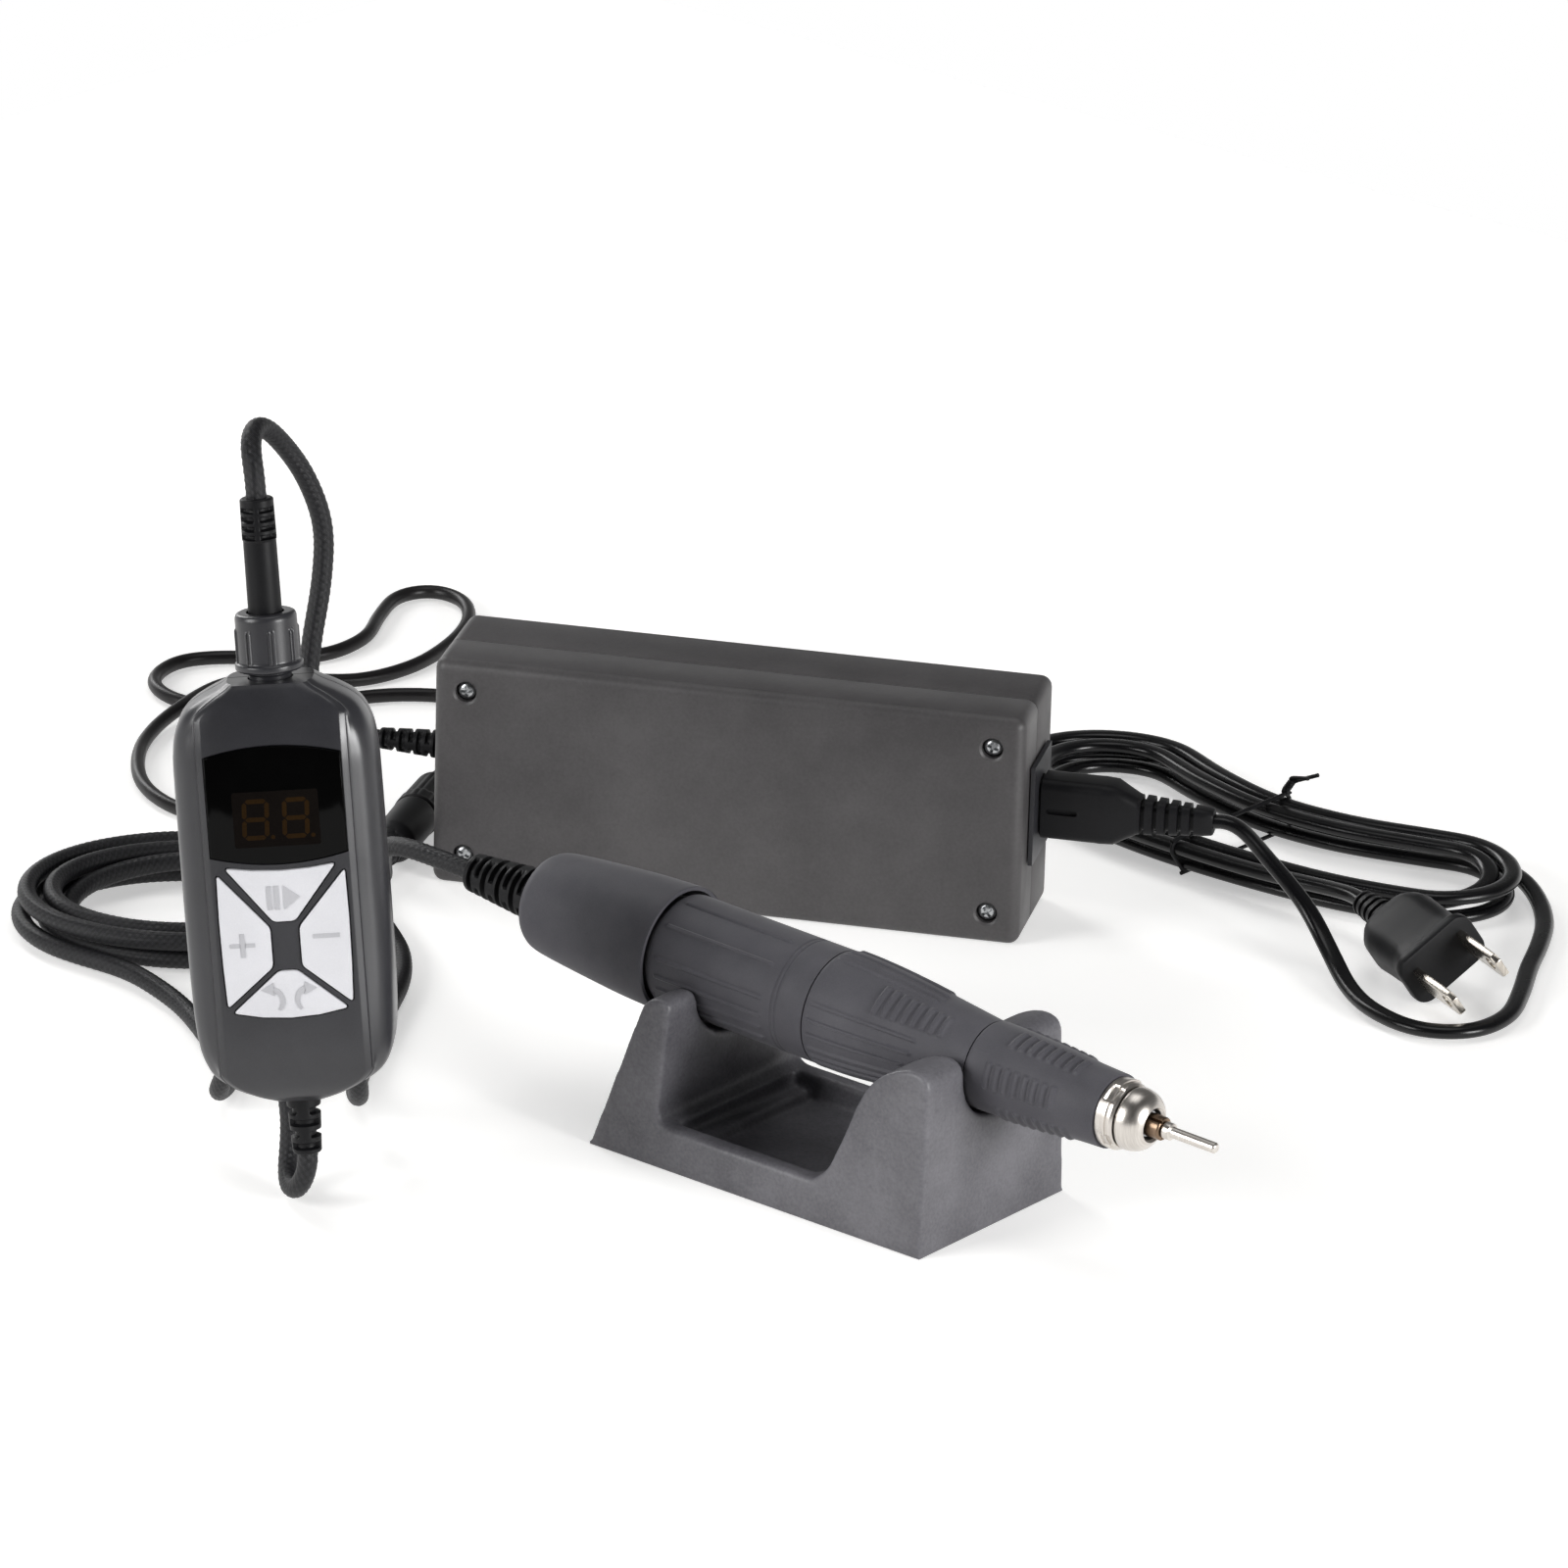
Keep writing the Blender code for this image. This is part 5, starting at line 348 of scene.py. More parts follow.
def scaled(shares: Sequence[tuple[float, float]], start: float, length: float, radius: float) -> Outline:
    """Turns an outline of shares into places and radii."""
    return [(start + place * length, share * radius) for place, share in shares]


def curved(outline: Outline, steps: int = 6) -> Outline:
    """Reads a smooth outline through an outline's points."""
    return [tuple(point) for point in smoothed(outline, steps)]


def eased(outline: Outline, radius: float, closed: bool = False, steps: int = 3) -> Outline:
    """Rounds the corners of an outline with short curves.

    Args:
        outline: The corners.
        radius: How far from each corner its curve starts.
        closed: Whether the last corner joins the first.
        steps: How many edges stand for each curve.

    Returns:
        The outline with round corners.
    """
    count = len(outline)
    made = []
    for index, corner in enumerate(outline):
        here = Vector(corner)
        before = Vector(outline[index - 1]) - here
        after = Vector(outline[(index + 1) % count]) - here
        is_end = not closed and index in (0, count - 1)
        if is_end or before.normalized().dot(after.normalized()) < -0.985:
            made.append(corner)
            continue
        first = here + before.normalized() * min(radius, before.length * 0.45)
        last = here + after.normalized() * min(radius, after.length * 0.45)
        for step in range(steps + 1):
            t = step / steps
            made.append(tuple(first * (1.0 - t) ** 2 + here * (2.0 * t * (1.0 - t)) + last * t ** 2))
    return made


def divided(outline: Outline, spacing: float) -> Outline:
    """Adds points to an outline so that no stretch is longer than a spacing.

    Args:
        outline: The outline.
        spacing: The longest stretch.

    Returns:
        The outline with the added points.
    """
    made = [outline[0]]
    for (x, y), (next_x, next_y) in zip(outline, outline[1:]):
        count = max(1, math.ceil(math.hypot(next_x - x, next_y - y) / spacing))
        for step in range(1, count + 1):
            made.append((x + (next_x - x) * step / count, y + (next_y - y) * step / count))
    return made


def spread(outline: Outline, distance: float) -> Outline:
    """Moves each side of a closed outline outwards.

    Args:
        outline: The corners.
        distance: How far each side moves.

    Returns:
        The grown outline.
    """
    following = [*outline[1:], outline[0]]
    area = sum(x * next_y - next_x * y for (x, y), (next_x, next_y) in zip(outline, following))
    side = 1.0 if area > 0.0 else -1.0
    grown = []
    for before, corner, after in zip([outline[-1], *outline], outline, following):
        here = Vector(corner)
        first = (here - Vector(before)).normalized()
        second = (Vector(after) - here).normalized()
        first_out = Vector((first.y, -first.x)) * side
        second_out = Vector((second.y, -second.x)) * side
        middle = (first_out + second_out).normalized()
        grown.append(tuple(here + middle * (distance / max(middle.dot(first_out), 0.3))))
    return grown


def rounded_rectangle(width: float, height: float, corner: float, steps: int = 5) -> Outline:
    """Draws a rectangle with round corners, centred on zero.

    Args:
        width: Its size along the first axis.
        height: Its size along the second.
        corner: The radius of its corners.
        steps: How many edges stand for each corner.

    Returns:
        The outline.
    """
    corner = min(corner, width / 2.0, height / 2.0)
    points = []
    for across, up, first in ((1, 1, 0.0), (-1, 1, 90.0), (-1, -1, 180.0), (1, -1, 270.0)):
        for index in range(steps + 1):
            angle = math.radians(first + 90.0 * index / steps)
            points.append((across * (width / 2.0 - corner) + corner * math.cos(angle),
                           up * (height / 2.0 - corner) + corner * math.sin(angle)))
    return points


def shifted(outline: Outline, across: float, up: float) -> Outline:
    """Moves an outline across and up."""
    return [(x + across, z + up) for x, z in outline]


def mirrored(right: Outline, middle: float) -> Outline:
    """Adds the left half to the right half of an outline, with a point between them on its axis."""
    return [*right, (0.0, middle), *[(-x, y) for x, y in reversed(right)]]


def ramp(low: float, high: float, value: float) -> float:
    """Returns a smooth rise from zero at low to one at high."""
    share = min(max((value - low) / (high - low), 0.0), 1.0)
    return share * share * (3.0 - 2.0 * share)


def bar(distance: float, half: float, edge: float) -> float:
    """Returns one inside a half width and zero beyond it, with soft flanks of an edge's width."""
    return 1.0 - ramp(half - edge / 2.0, half + edge / 2.0, abs(distance))


def nearest_turn(angle: float, places: Iterable[float]) -> float:
    """Returns the least angle between a turn and any of several places, in radians."""
    return min(abs((angle - place + math.pi) % math.tau - math.pi) for place in places)


# Meshes

def lathed(outline: Outline, columns: int, relief: Relief | None = None) -> Shape:
    """Spins an outline of places and radii about +X.

    Args:
        outline: A closed outline, or an open one whose two ends lie on the axis.
        columns: How many faces go round.
        relief: Tells how far each point is raised.

    Returns:
        The closed shape.
    """
    shape = bmesh.new()
    corners = [shape.verts.new((place, 0.0, radius)) for place, radius in outline]
    edges = [shape.edges.new(pair) for pair in zip(corners, corners[1:])]
    if outline[0][1] > 0.0:
        edges.append(shape.edges.new((corners[-1], corners[0])))
    bmesh.ops.spin(shape, geom=corners + edges, axis=(1.0, 0.0, 0.0), cent=(0.0, 0.0, 0.0),
                   dvec=(0.0, 0.0, 0.0), angle=math.tau, steps=columns, use_merge=True)
    bmesh.ops.remove_doubles(shape, verts=shape.verts, dist=MERGE)
    for vert in shape.verts if relief else ():
        radius = math.hypot(vert.co.y, vert.co.z)
        if radius > MERGE:
            angle = math.atan2(-vert.co.y, vert.co.z) % math.tau
            grown = 1.0 + relief(Spot(vert.co.x, angle, radius)) / radius
            vert.co.y *= grown
            vert.co.z *= grown
    bmesh.ops.recalc_face_normals(shape, faces=shape.faces)
    return shape


def skinned(rings: Sequence[Sequence[Vector]], uv_size: tuple[float, float] | None = None,
            strands: Sequence[Sequence[tuple[float, float]]] | None = None) -> Shape:
    """Rolls a grid into a tube over rings of points, and closes its ends.

    Args:
        rings: Rings of points, each with as many.
        uv_size: The size of the UV map round and along, in millimetres.
        strands: The side and the rise of the braid at each point, kept as attributes.

    Returns:
        The closed shape.
    """
    rows = len(rings) - 1
    columns = len(rings[0])
    shape = bmesh.new()
    if uv_size is not None:
        layer = shape.loops.layers.uv.new("UVMap")
    bmesh.ops.create_grid(shape, x_segments=columns, y_segments=rows, size=0.5)
    if uv_size is not None:
        for loop in [loop for face in shape.faces for loop in face.loops]:
            place = loop.vert.co
            loop[layer].uv = ((place.x + 0.5) * uv_size[0], (place.y + 0.5) * uv_size[1])
    if strands is not None:
        side = shape.verts.layers.float.new("strand_side")
        rise = shape.verts.layers.float.new("strand_rise")
    for vert in shape.verts:
        column = round((vert.co.x + 0.5) * columns) % columns
        row = round((vert.co.y + 0.5) * rows)
        if strands is not None:
            vert[side], vert[rise] = strands[row][column]
        vert.co = rings[row][column]
    bmesh.ops.remove_doubles(shape, verts=shape.verts, dist=MERGE)
    rims = [edge for edge in shape.edges if edge.is_boundary]
    if rims:
        bmesh.ops.holes_fill(shape, edges=rims, sides=0)
    bmesh.ops.recalc_face_normals(shape, faces=shape.faces)
    return shape


def soften(shape: Shape, width: float, segments: int, keep: Callable[[bmesh.types.BMEdge], bool]) -> Shape:
    """Rounds some edges of a shape.

    Args:
        shape: The shape.
        width: How far the rounding reaches from each edge.
        segments: How many faces stand for it.
        keep: Picks the edges.

    Returns:
        The same shape.
    """
    bmesh.ops.bevel(shape, geom=[edge for edge in shape.edges if keep(edge)], offset=width, segments=segments,
                    profile=0.5, affect="EDGES", offset_type="OFFSET", clamp_overlap=True, material=-1)
    return shape


def is_sharp(edge: bmesh.types.BMEdge) -> bool:
    """Tells whether two faces meet at an edge by more than 30 degrees."""
    return edge.calc_face_angle(0.0) > math.radians(30.0)


def slab(outline: Outline, front: float, back: float, edge: float = 0.0) -> Shape:
    """Extrudes an outline of (x, z) points along y, with a rounded front edge if asked.

    Args:
        outline: The corners.
        front: The y of the face towards the user.
        back: The y of the far face.
        edge: How far the front edge is rounded.

    Returns:
        The closed shape.
    """
    shape = bmesh.new()
    face = shape.faces.new([shape.verts.new((x, front, z)) for x, z in outline])
    grown = bmesh.ops.extrude_face_region(shape, geom=[face])
    far = [item for item in grown["geom"] if isinstance(item, bmesh.types.BMVert)]
    bmesh.ops.translate(shape, vec=(0.0, back - front, 0.0), verts=far)
    if edge > 0.0:
        soften(shape, edge, 3, lambda rim: all(abs(vert.co.y - front) < MERGE for vert in rim.verts))
    bmesh.ops.recalc_face_normals(shape, faces=shape.faces)
    return shape


def box(low: Sequence[float], high: Sequence[float]) -> Shape:
    """Makes a box between two corners.

    Args:
        low: The corner with the least numbers.
        high: The corner with the greatest ones.

    Returns:
        The box.
    """
    size = [top - bottom for bottom, top in zip(low, high)]
    middle = [(top + bottom) / 2.0 for bottom, top in zip(low, high)]
    shape = bmesh.new()
    bmesh.ops.create_cube(shape, size=1.0, matrix=Matrix.Translation(middle) @ Matrix.Diagonal((*size, 1.0)))
    return shape


def moved(shape: Shape, matrix: Matrix) -> Shape:
    """Moves a shape and returns it."""
    bmesh.ops.transform(shape, matrix=matrix, verts=shape.verts)
    return shape


def together(shapes: Iterable[Shape]) -> Shape:
    """Puts several shapes into one.

    Args:
        shapes: The shapes, which are freed.

    Returns:
        The whole.
    """
    whole = bmesh.new()
    for shape in shapes:
        mesh = bpy.data.meshes.new("share")
        shape.to_mesh(mesh)
        shape.free()
        whole.from_mesh(mesh)
        bpy.data.meshes.remove(mesh)
    return whole


def as_object(name: str, shape: Shape) -> Piece:
    """Makes an object of a shape.

    Args:
        name: The object's name.
        shape: The shape, which is freed.

    Returns:
        The object.
    """
    mesh = bpy.data.meshes.new(name)
    shape.to_mesh(mesh)
    shape.free()
    made = bpy.data.objects.new(name, mesh)
    bpy.context.scene.collection.objects.link(made)
    return made


def modified(shape: Shape, kind: str, rounds: Sequence[dict[str, object]]) -> Shape:
    """Puts a shape through modifiers of one kind.

    Args:
        shape: The shape, which is freed.
        kind: The type of the modifiers.
        rounds: The settings of each modifier; an object among them is removed afterwards.

    Returns:
        The result.
    """
    whole = as_object("whole", shape)
    for settings in rounds:
        step = whole.modifiers.new("step", kind)
        for key, value in settings.items():
            setattr(step, key, value)
    made = bmesh.new()
    made.from_object(whole, bpy.context.evaluated_depsgraph_get())
    for used in (whole, *[settings["object"] for settings in rounds if "object" in settings]):
        mesh = used.data
        bpy.data.objects.remove(used, do_unlink=True)
        bpy.data.meshes.remove(mesh)
    return made


def carved(shape: Shape, cutters: Iterable[Shape]) -> Shape:
    """Cuts shapes out of a shape, one after another."""
    return modified(shape, "BOOLEAN", [{"operation": "DIFFERENCE", "solver": "EXACT",
                                        "object": as_object("cutter", cutter)} for cutter in cutters])


@dataclass
class SubAssembly:
    """What the sub-assemblies share: a place, a body and the ways to keep a finished piece."""

    place: Matrix
    body: str = "root"

    def keep(self, name: str, shape: Shape, finish: Finish, *nodes: str, slot: str = "", body: str = "",
             smooth_deg: float = SMOOTH_DEG, bend: tuple[Vector, Vector] | None = None) -> Piece:
        """Turns a shape into a finished piece at its place.

        Args:
            name: The piece's name.
            shape: Its shape, in the sub-assembly's own frame.
            finish: Its finish.
            nodes: The CAD nodes that it stands for.
            slot: A material slot name; not used.
            body: The body that it rides on, if not the sub-assembly's own.
            smooth_deg: Edges sharper than this stay sharp.
            bend: If given, the piece is left in the world's frame and is not attached to a body; the points are not
                read.

        Returns:
            The piece.
        """
        body = body or self.body
        made = as_object(name, moved(shape, self.place))
        made.data.shade_smooth()
        made.data.set_sharp_from_angle(angle=math.radians(smooth_deg))
        made.data.materials.append(finish.material())
        if bend is not None:
            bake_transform(made)
        else:
            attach(made, body)
        if nodes:
            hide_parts(*nodes)
        LOG.info("%s: %d faces, on %s", name, len(made.data.polygons), body)
        return made

    def turn(self, name: str, node: str, corners: Outline, finish: Finish, columns: int, ease: float,
             spacing: float = math.inf, relief: Relief | None = None, stand: Matrix = WORLD_PLACE,
             body: str = "") -> Piece:
        """Turns a round piece on its axis and keeps it.

        Args:
            name: The piece's name.
            node: The CAD node that it stands for.
            corners: The corners of its outline, as places and radii.
            finish: Its finish.
            columns: How many faces go round.
            ease: How far its corners are rounded.
            spacing: The longest stretch of its outline.
            relief: Its relief.
            stand: How its axis stands in the sub-assembly.
            body: The body that it rides on, if not the sub-assembly's own.

        Returns:
            The piece.
        """
        shape = lathed(divided(eased(corners, ease), spacing), columns, relief)
        return self.keep(name, moved(shape, stand), finish, node, body=body)


def webbed(start: float, pitch: float, count: int, depth: float, turn_every: float = math.pi / 2.0,
           webs: int = 2, web_half: float = 0.34) -> Relief:
    """Cuts a strain relief's slots, which leave webs between its rings.

    Args:
        start: Where the first slot begins, along the axis.
        pitch: The distance from one slot to the next.
        count: How many slots there are.
        depth: How deep a slot is.
        turn_every: How far the webs turn from one slot to the next, in radians.
        webs: How many webs a slot has.
        web_half: Half the angle that a web takes, in radians.

    Returns:
        The relief.
    """
    def relief(spot: Spot) -> float:
        """Sinks a point that lies in a slot.

        Args:
            spot: A point of the skin.

        Returns:
            How far it is raised, which is below zero.
        """
        index = math.floor((spot.place - start) / pitch)
        if not 0 <= index < count:
            return 0.0
        along = (spot.place - start) / pitch - index
        slot = bar((along - 0.28) * pitch, 0.24 * pitch, 0.16 * pitch)
        webs_at = [turn_every * index + math.tau * web / webs for web in range(webs)]
        return -depth * slot * ramp(web_half - 0.08, web_half + 0.08, nearest_turn(spot.angle, webs_at))

    return relief


def drill(start: float, end: float, radius: float, columns: int, stand: Matrix) -> Shape:
    """Returns a round cutter between two places on an axis that stands as a matrix says."""
    return moved(lathed([(start, 0.0), (start, radius), (end, radius), (end, 0.0)], columns), stand)


def ringed(sections: Sequence[Sequence[float]], centre: Sequence[float] = (0.0, 0.0, 0.0)) -> Shape:
    """Skins rounded rectangles that stand across +X.

    Args:
        sections: The place, width, height and corner radius of each, in millimetres.
        centre: Where their axis starts, in metres.

    Returns:
        The closed shape.
    """
    return skinned([[Vector(centre) + Vector((place * MM, y, z))
                     for y, z in rounded_rectangle(width * MM, height * MM, corner * MM, 6)]
                    for place, width, height, corner in sections])


# Cords

SUNK = 1.2 * MM
LEAD_RADII = 2.5
PATH_STEPS = 16


def evenly(points: Sequence[Vector], spacing: float) -> list[Vector]:
    """Spaces points evenly along a line, with both ends kept.

    Args:
        points: The line.
        spacing: About how far apart the new points are.

    Returns:
        The new points.
    """
    lengths = [0.0]
    for first, second in zip(points, points[1:]):
        lengths.append(lengths[-1] + (second - first).length)
    count = max(2, round(lengths[-1] / spacing))
    even = []
    index = 0
    for step in range(count + 1):
        target = lengths[-1] * step / count
        while index < len(lengths) - 2 and lengths[index + 1] < target:
            index += 1
        part = (target - lengths[index]) / max(lengths[index + 1] - lengths[index], MERGE)
        even.append(points[index].lerp(points[index + 1], part))
    return even


def relaxed(line: Sequence[Vector], reach: float = 2.5 * MM, hold: float = 6.0 * MM) -> list[Vector]:
    """Takes the small kinks out of a line of evenly spaced points.

    Args:
        line: The points.
        reach: How far along the line the smoothing reaches.
        hold: The length at each end over which it fades out.

    Returns:
        As many points, with both ends kept.
    """
    spacing = (line[1] - line[0]).length
    last = len(line) - 1
    shares = [0.25 * min(min(index, last - index) * spacing / hold, 1.0) for index in range(last + 1)]
    points = list(line)
    for _ in range(round(2.0 * (reach / spacing) ** 2)):
        inner = [here + (before + after - 2.0 * here) * share
                 for before, here, after, share in zip(points, points[1:], points[2:], shares[1:])]
        points = [points[0], *inner, points[-1]]
    return points


def mouth(place: Matrix, point: Sequence[float], way: Sequence[float], lead: float) -> list[Vector]:
    """Finds how a cord comes straight out of a boot.

    Args:
        place: The frame of the boot.
        point: The middle of its mouth.
        way: The way out of it.
        lead: How far the cord goes straight on.

    Returns:
        Three points: inside the boot, at its mouth and at the end of the straight lead.
    """
    middle = place @ Vector(point)
    out = (place.to_3x3() @ Vector(way)).normalized()
    return [middle - out * SUNK, middle, middle + out * lead]


def placed(place: Matrix, route: Iterable[Sequence[float]]) -> list[Vector]:
    """Returns the world points of a route given in a frame."""
    return [place @ Vector(point) for point in route]


def crossings(line: Sequence[Vector], place: Matrix, reach: float) -> Outline:
    """Finds where a line crosses the plane x = 0 of a frame.

    Args:
        line: The line's points.
        place: The frame.
        reach: How far from the frame's axis a crossing counts.

    Returns:
        The crossings, as (y, z) points of the frame.
    """
    local = placed(place.inverted(), line)
    found = []
    for first, second in zip(local, local[1:]):
        if first.x * second.x <= 0.0 and first.x != second.x and abs(first.y) < reach:
            point = first.lerp(second, first.x / (first.x - second.x))
            found.append((point.y, point.z))
    return found


@dataclass(frozen=True)
class Cord:
    """A kind of cord: its finish, its cross-section and how it is laid round its centreline."""

    finish: Finish
    width: float
    height: float
    sides: int
    spacing: float
    stiffness: str = "medium"
    waist: float = 0.0
    strands: int = 0
    strand_rise: float = 0.0
    lies_flat: bool = False

    def tube(self, line: Sequence[Vector]) -> Shape:
        """Lays the section along a centreline.

        Args:
            line: Points a spacing apart.

        Returns:
            The closed tube, with a UV map in millimetres.
        """
        way = (line[1] - line[0]).normalized()
        lean = Vector((1.0, 0.0, 0.0)) if abs(way.z) > 0.9 else Vector((0.0, 0.0, 1.0))
        across = way.cross(lean).normalized()
        rings = []
        marks = []
        along = 0.0
        for before, here, after in zip([line[0], *line], line, [*line[1:], line[-1]]):
            way = (after - before).normalized()
            if self.lies_flat:
                across = way.cross(Vector((0.0, 0.0, 1.0))).normalized()
            else:
                across = (across - way * across.dot(way)).normalized()
            up = across.cross(way).normalized()
            along += (here - before).length
            ring = []
            mark = []
            for side in range(self.sides):
                angle = math.tau * side / self.sides
                grown, over, rise = self.strand(side / self.sides, along / MM)
                pinch = 1.0 - self.waist * math.sin(angle) ** 8
                ring.append(here + across * ((self.width / 2.0 + grown) * math.cos(angle))
                            + up * ((self.height / 2.0 * pinch + grown) * math.sin(angle)))
                mark.append((over, rise))
            rings.append(ring)
            marks.append(mark)
        round_mm = math.pi * (self.width + self.height) / 2.0 / MM
        return skinned(rings, (round_mm, along / MM), marks if self.strands else None)

    def strand(self, share: float, along_mm: float) -> tuple[float, float, float]:
        """Gives the braid's relief at a point of the cord's skin.

        Args:
            share: How far round the point is, as a share of a turn.
            along_mm: How far along it is.

        Returns:
            The height over the skin, which of the two sets of strands is on top, and the rise of it.
        """
        if not self.strands:
            return 0.0, 0.0, 0.0
        pitch_mm = math.pi * self.width / self.strands / MM
        first = math.cos(math.pi * (self.strands * share + along_mm / pitch_mm))
        second = math.cos(math.pi * (self.strands * share - along_mm / pitch_mm))
        over = ramp(-0.35, 0.35, first * second)
        rise = over * first ** 2 + (1.0 - over) * second ** 2
        return (rise - 0.6) * self.strand_rise, over, rise


BRAIDED_CORD = Cord(BRAID_NYLON, 4.2 * MM, 4.2 * MM, 32, 0.42 * MM, "limp", strands=8, strand_rise=0.16 * MM)
SUPPLY_CORD = Cord(SUPPLY_JACKET, 3.3 * MM, 3.3 * MM, 20, 1.6 * MM)
MAINS_CORD = Cord(MAINS_JACKET, 4.3 * MM, 3.3 * MM, 24, 1.3 * MM, waist=0.14, lies_flat=True)
TIE_WIRE = Cord(BOOT_PVC, 0.96 * MM, 0.96 * MM, 10, 0.4 * MM)


# Routes of the cords in millimetres: the rises and the loop in the controller's frame, the rest in the world's

CONTROLLER_LOOP_ROUTE = mm(
    (-0.6, 0.6, -17), (-2.5, 2.8, -20.8), (-4.6, 7, -22.2), (-5.6, 11.8, -20.6), (-5.2, 15.6, -16.4),
    (-4.6, 17.6, -10.4), (-5, 18.6, -3.5), (-6.4, 20.6, 2.6), (-9.4, 25, 6.6), (-13, 31, 6.6), (-16.4, 37.5, 2),
    (-19.4, 44, -5.6), (-22.4, 51, -12.2))
HANDPIECE_CORD_FLOOR_ROUTE = mm(
    (-119, -54, 2.5), (-130, -45.5, 2.3), (-142, -37.5, 2.3), (-154, -31, 2.4), (-166, -27, 2.7), (-176, -25.4, 3))
HANDPIECE_CORD_TO_HANDPIECE = mm(
    (-166, 43, 8.8), (-156, 36.2, 12.2), (-147, 26.8, 18), (-138.5, 16.8, 26.2), (-129.5, 7.5, 34.5),
    (-118, 1.5, 39.3))
SUPPLY_LEAD_FLOOR_ROUTE = mm(
    (-167.8, 45, 3.4), (-160, 38.5, 2.4), (-150, 32, 2.3), (-138.5, 23.5, 2.3), (-128.5, 12, 2.3), (-120, -2, 2.3),
    (-112, -16, 2.3), (-102.5, -30, 2.4), (-94, -42, 3.6))
SUPPLY_LEAD_RISE_ROUTE = mm(
    (8, 43, -12), (8, 34.5, 4), (7, 27, 25), (5, 21.5, 48), (4.8, 20, 70), (6.8, 20.8, 88), (10, 22.6, 102),
    (11.2, 23.2, 114), (8.5, 21.2, 125), (4.5, 17.2, 133), (1.4, 12, 137.6), (-0.4, 6.5, 137.6), (-0.6, 2.2, 134.2))
SUPPLY_CORD_ROUTE = mm(
    (-204, 63, 20.5), (-215, 58, 9), (-227, 55, 2.6), (-238, 55.6, 2), (-250, 61.2, 2), (-261, 71.7, 2),
    (-269, 83.8, 2), (-273.5, 98, 3), (-272.2, 113, 5.8), (-267, 129, 4), (-258, 144, 2), (-254.5, 160, 2),
    (-258, 177.5, 2), (-265, 192.3, 2), (-274.5, 201.5, 2), (-284.5, 202, 2), (-288, 193, 2), (-282.5, 180, 2),
    (-275.5, 167, 2), (-274.5, 153, 2), (-281, 142, 2), (-290.5, 134.5, 2), (-296.5, 124.5, 2), (-293, 112, 2),
    (-283.5, 106, 2), (-272, 107, 2), (-262.5, 115, 2), (-254, 128, 2), (-246, 142, 2), (-234.5, 151, 2),
    (-221, 150, 2.6), (-209, 138.5, 4))
MAINS_LEAD_ROUTE = mm(
    (-4.5, 160, 21.5), (5.5, 161, 13), (15.5, 157, 6), (26.5, 149.5, 2.6), (38.5, 143, 2.3), (51, 141.5, 2.3),
    (60, 148.5, 2.3), (61, 160.5, 2.3), (55.5, 173.5, 2.3), (48.5, 186.5, 2.3), (42.5, 199, 2.3), (35.5, 211, 2.3),
    (26, 221.5, 2.5), (15.5, 228.5, 2.9))
MAINS_TAIL_ROUTE = mm(
    (-17, 180, 8.2), (-4, 180, 9.2))


@dataclass(frozen=True)
class Winding:
    """How a coil winds inwards, climbs onto itself and winds outwards again."""

    step: float
    layer: float
    turns_in: float
    turns_climb: float
    turns_out: float
    points_per_turn: int = 24

    def turns(self) -> list[float]:
        """Spaces the coil's points along its turns.

        Returns:
            How many turns each point is along the coil.
        """
        total = self.turns_in + self.turns_climb + self.turns_out
        count = round(total * self.points_per_turn)
        return [total * index / count for index in range(count + 1)]

    def at(self, turn: float) -> tuple[float, float]:
        """Finds where a turn lies.

        Args:
            turn: How many turns it is along the coil.

        Returns:
            How far it lies inside the first turn and how high it has climbed.
        """
        outward = max(turn - self.turns_in - self.turns_climb, 0.0)
        return (self.step * (min(turn, self.turns_in) - outward),
                self.layer * ramp(self.turns_in, self.turns_in + self.turns_climb, turn))


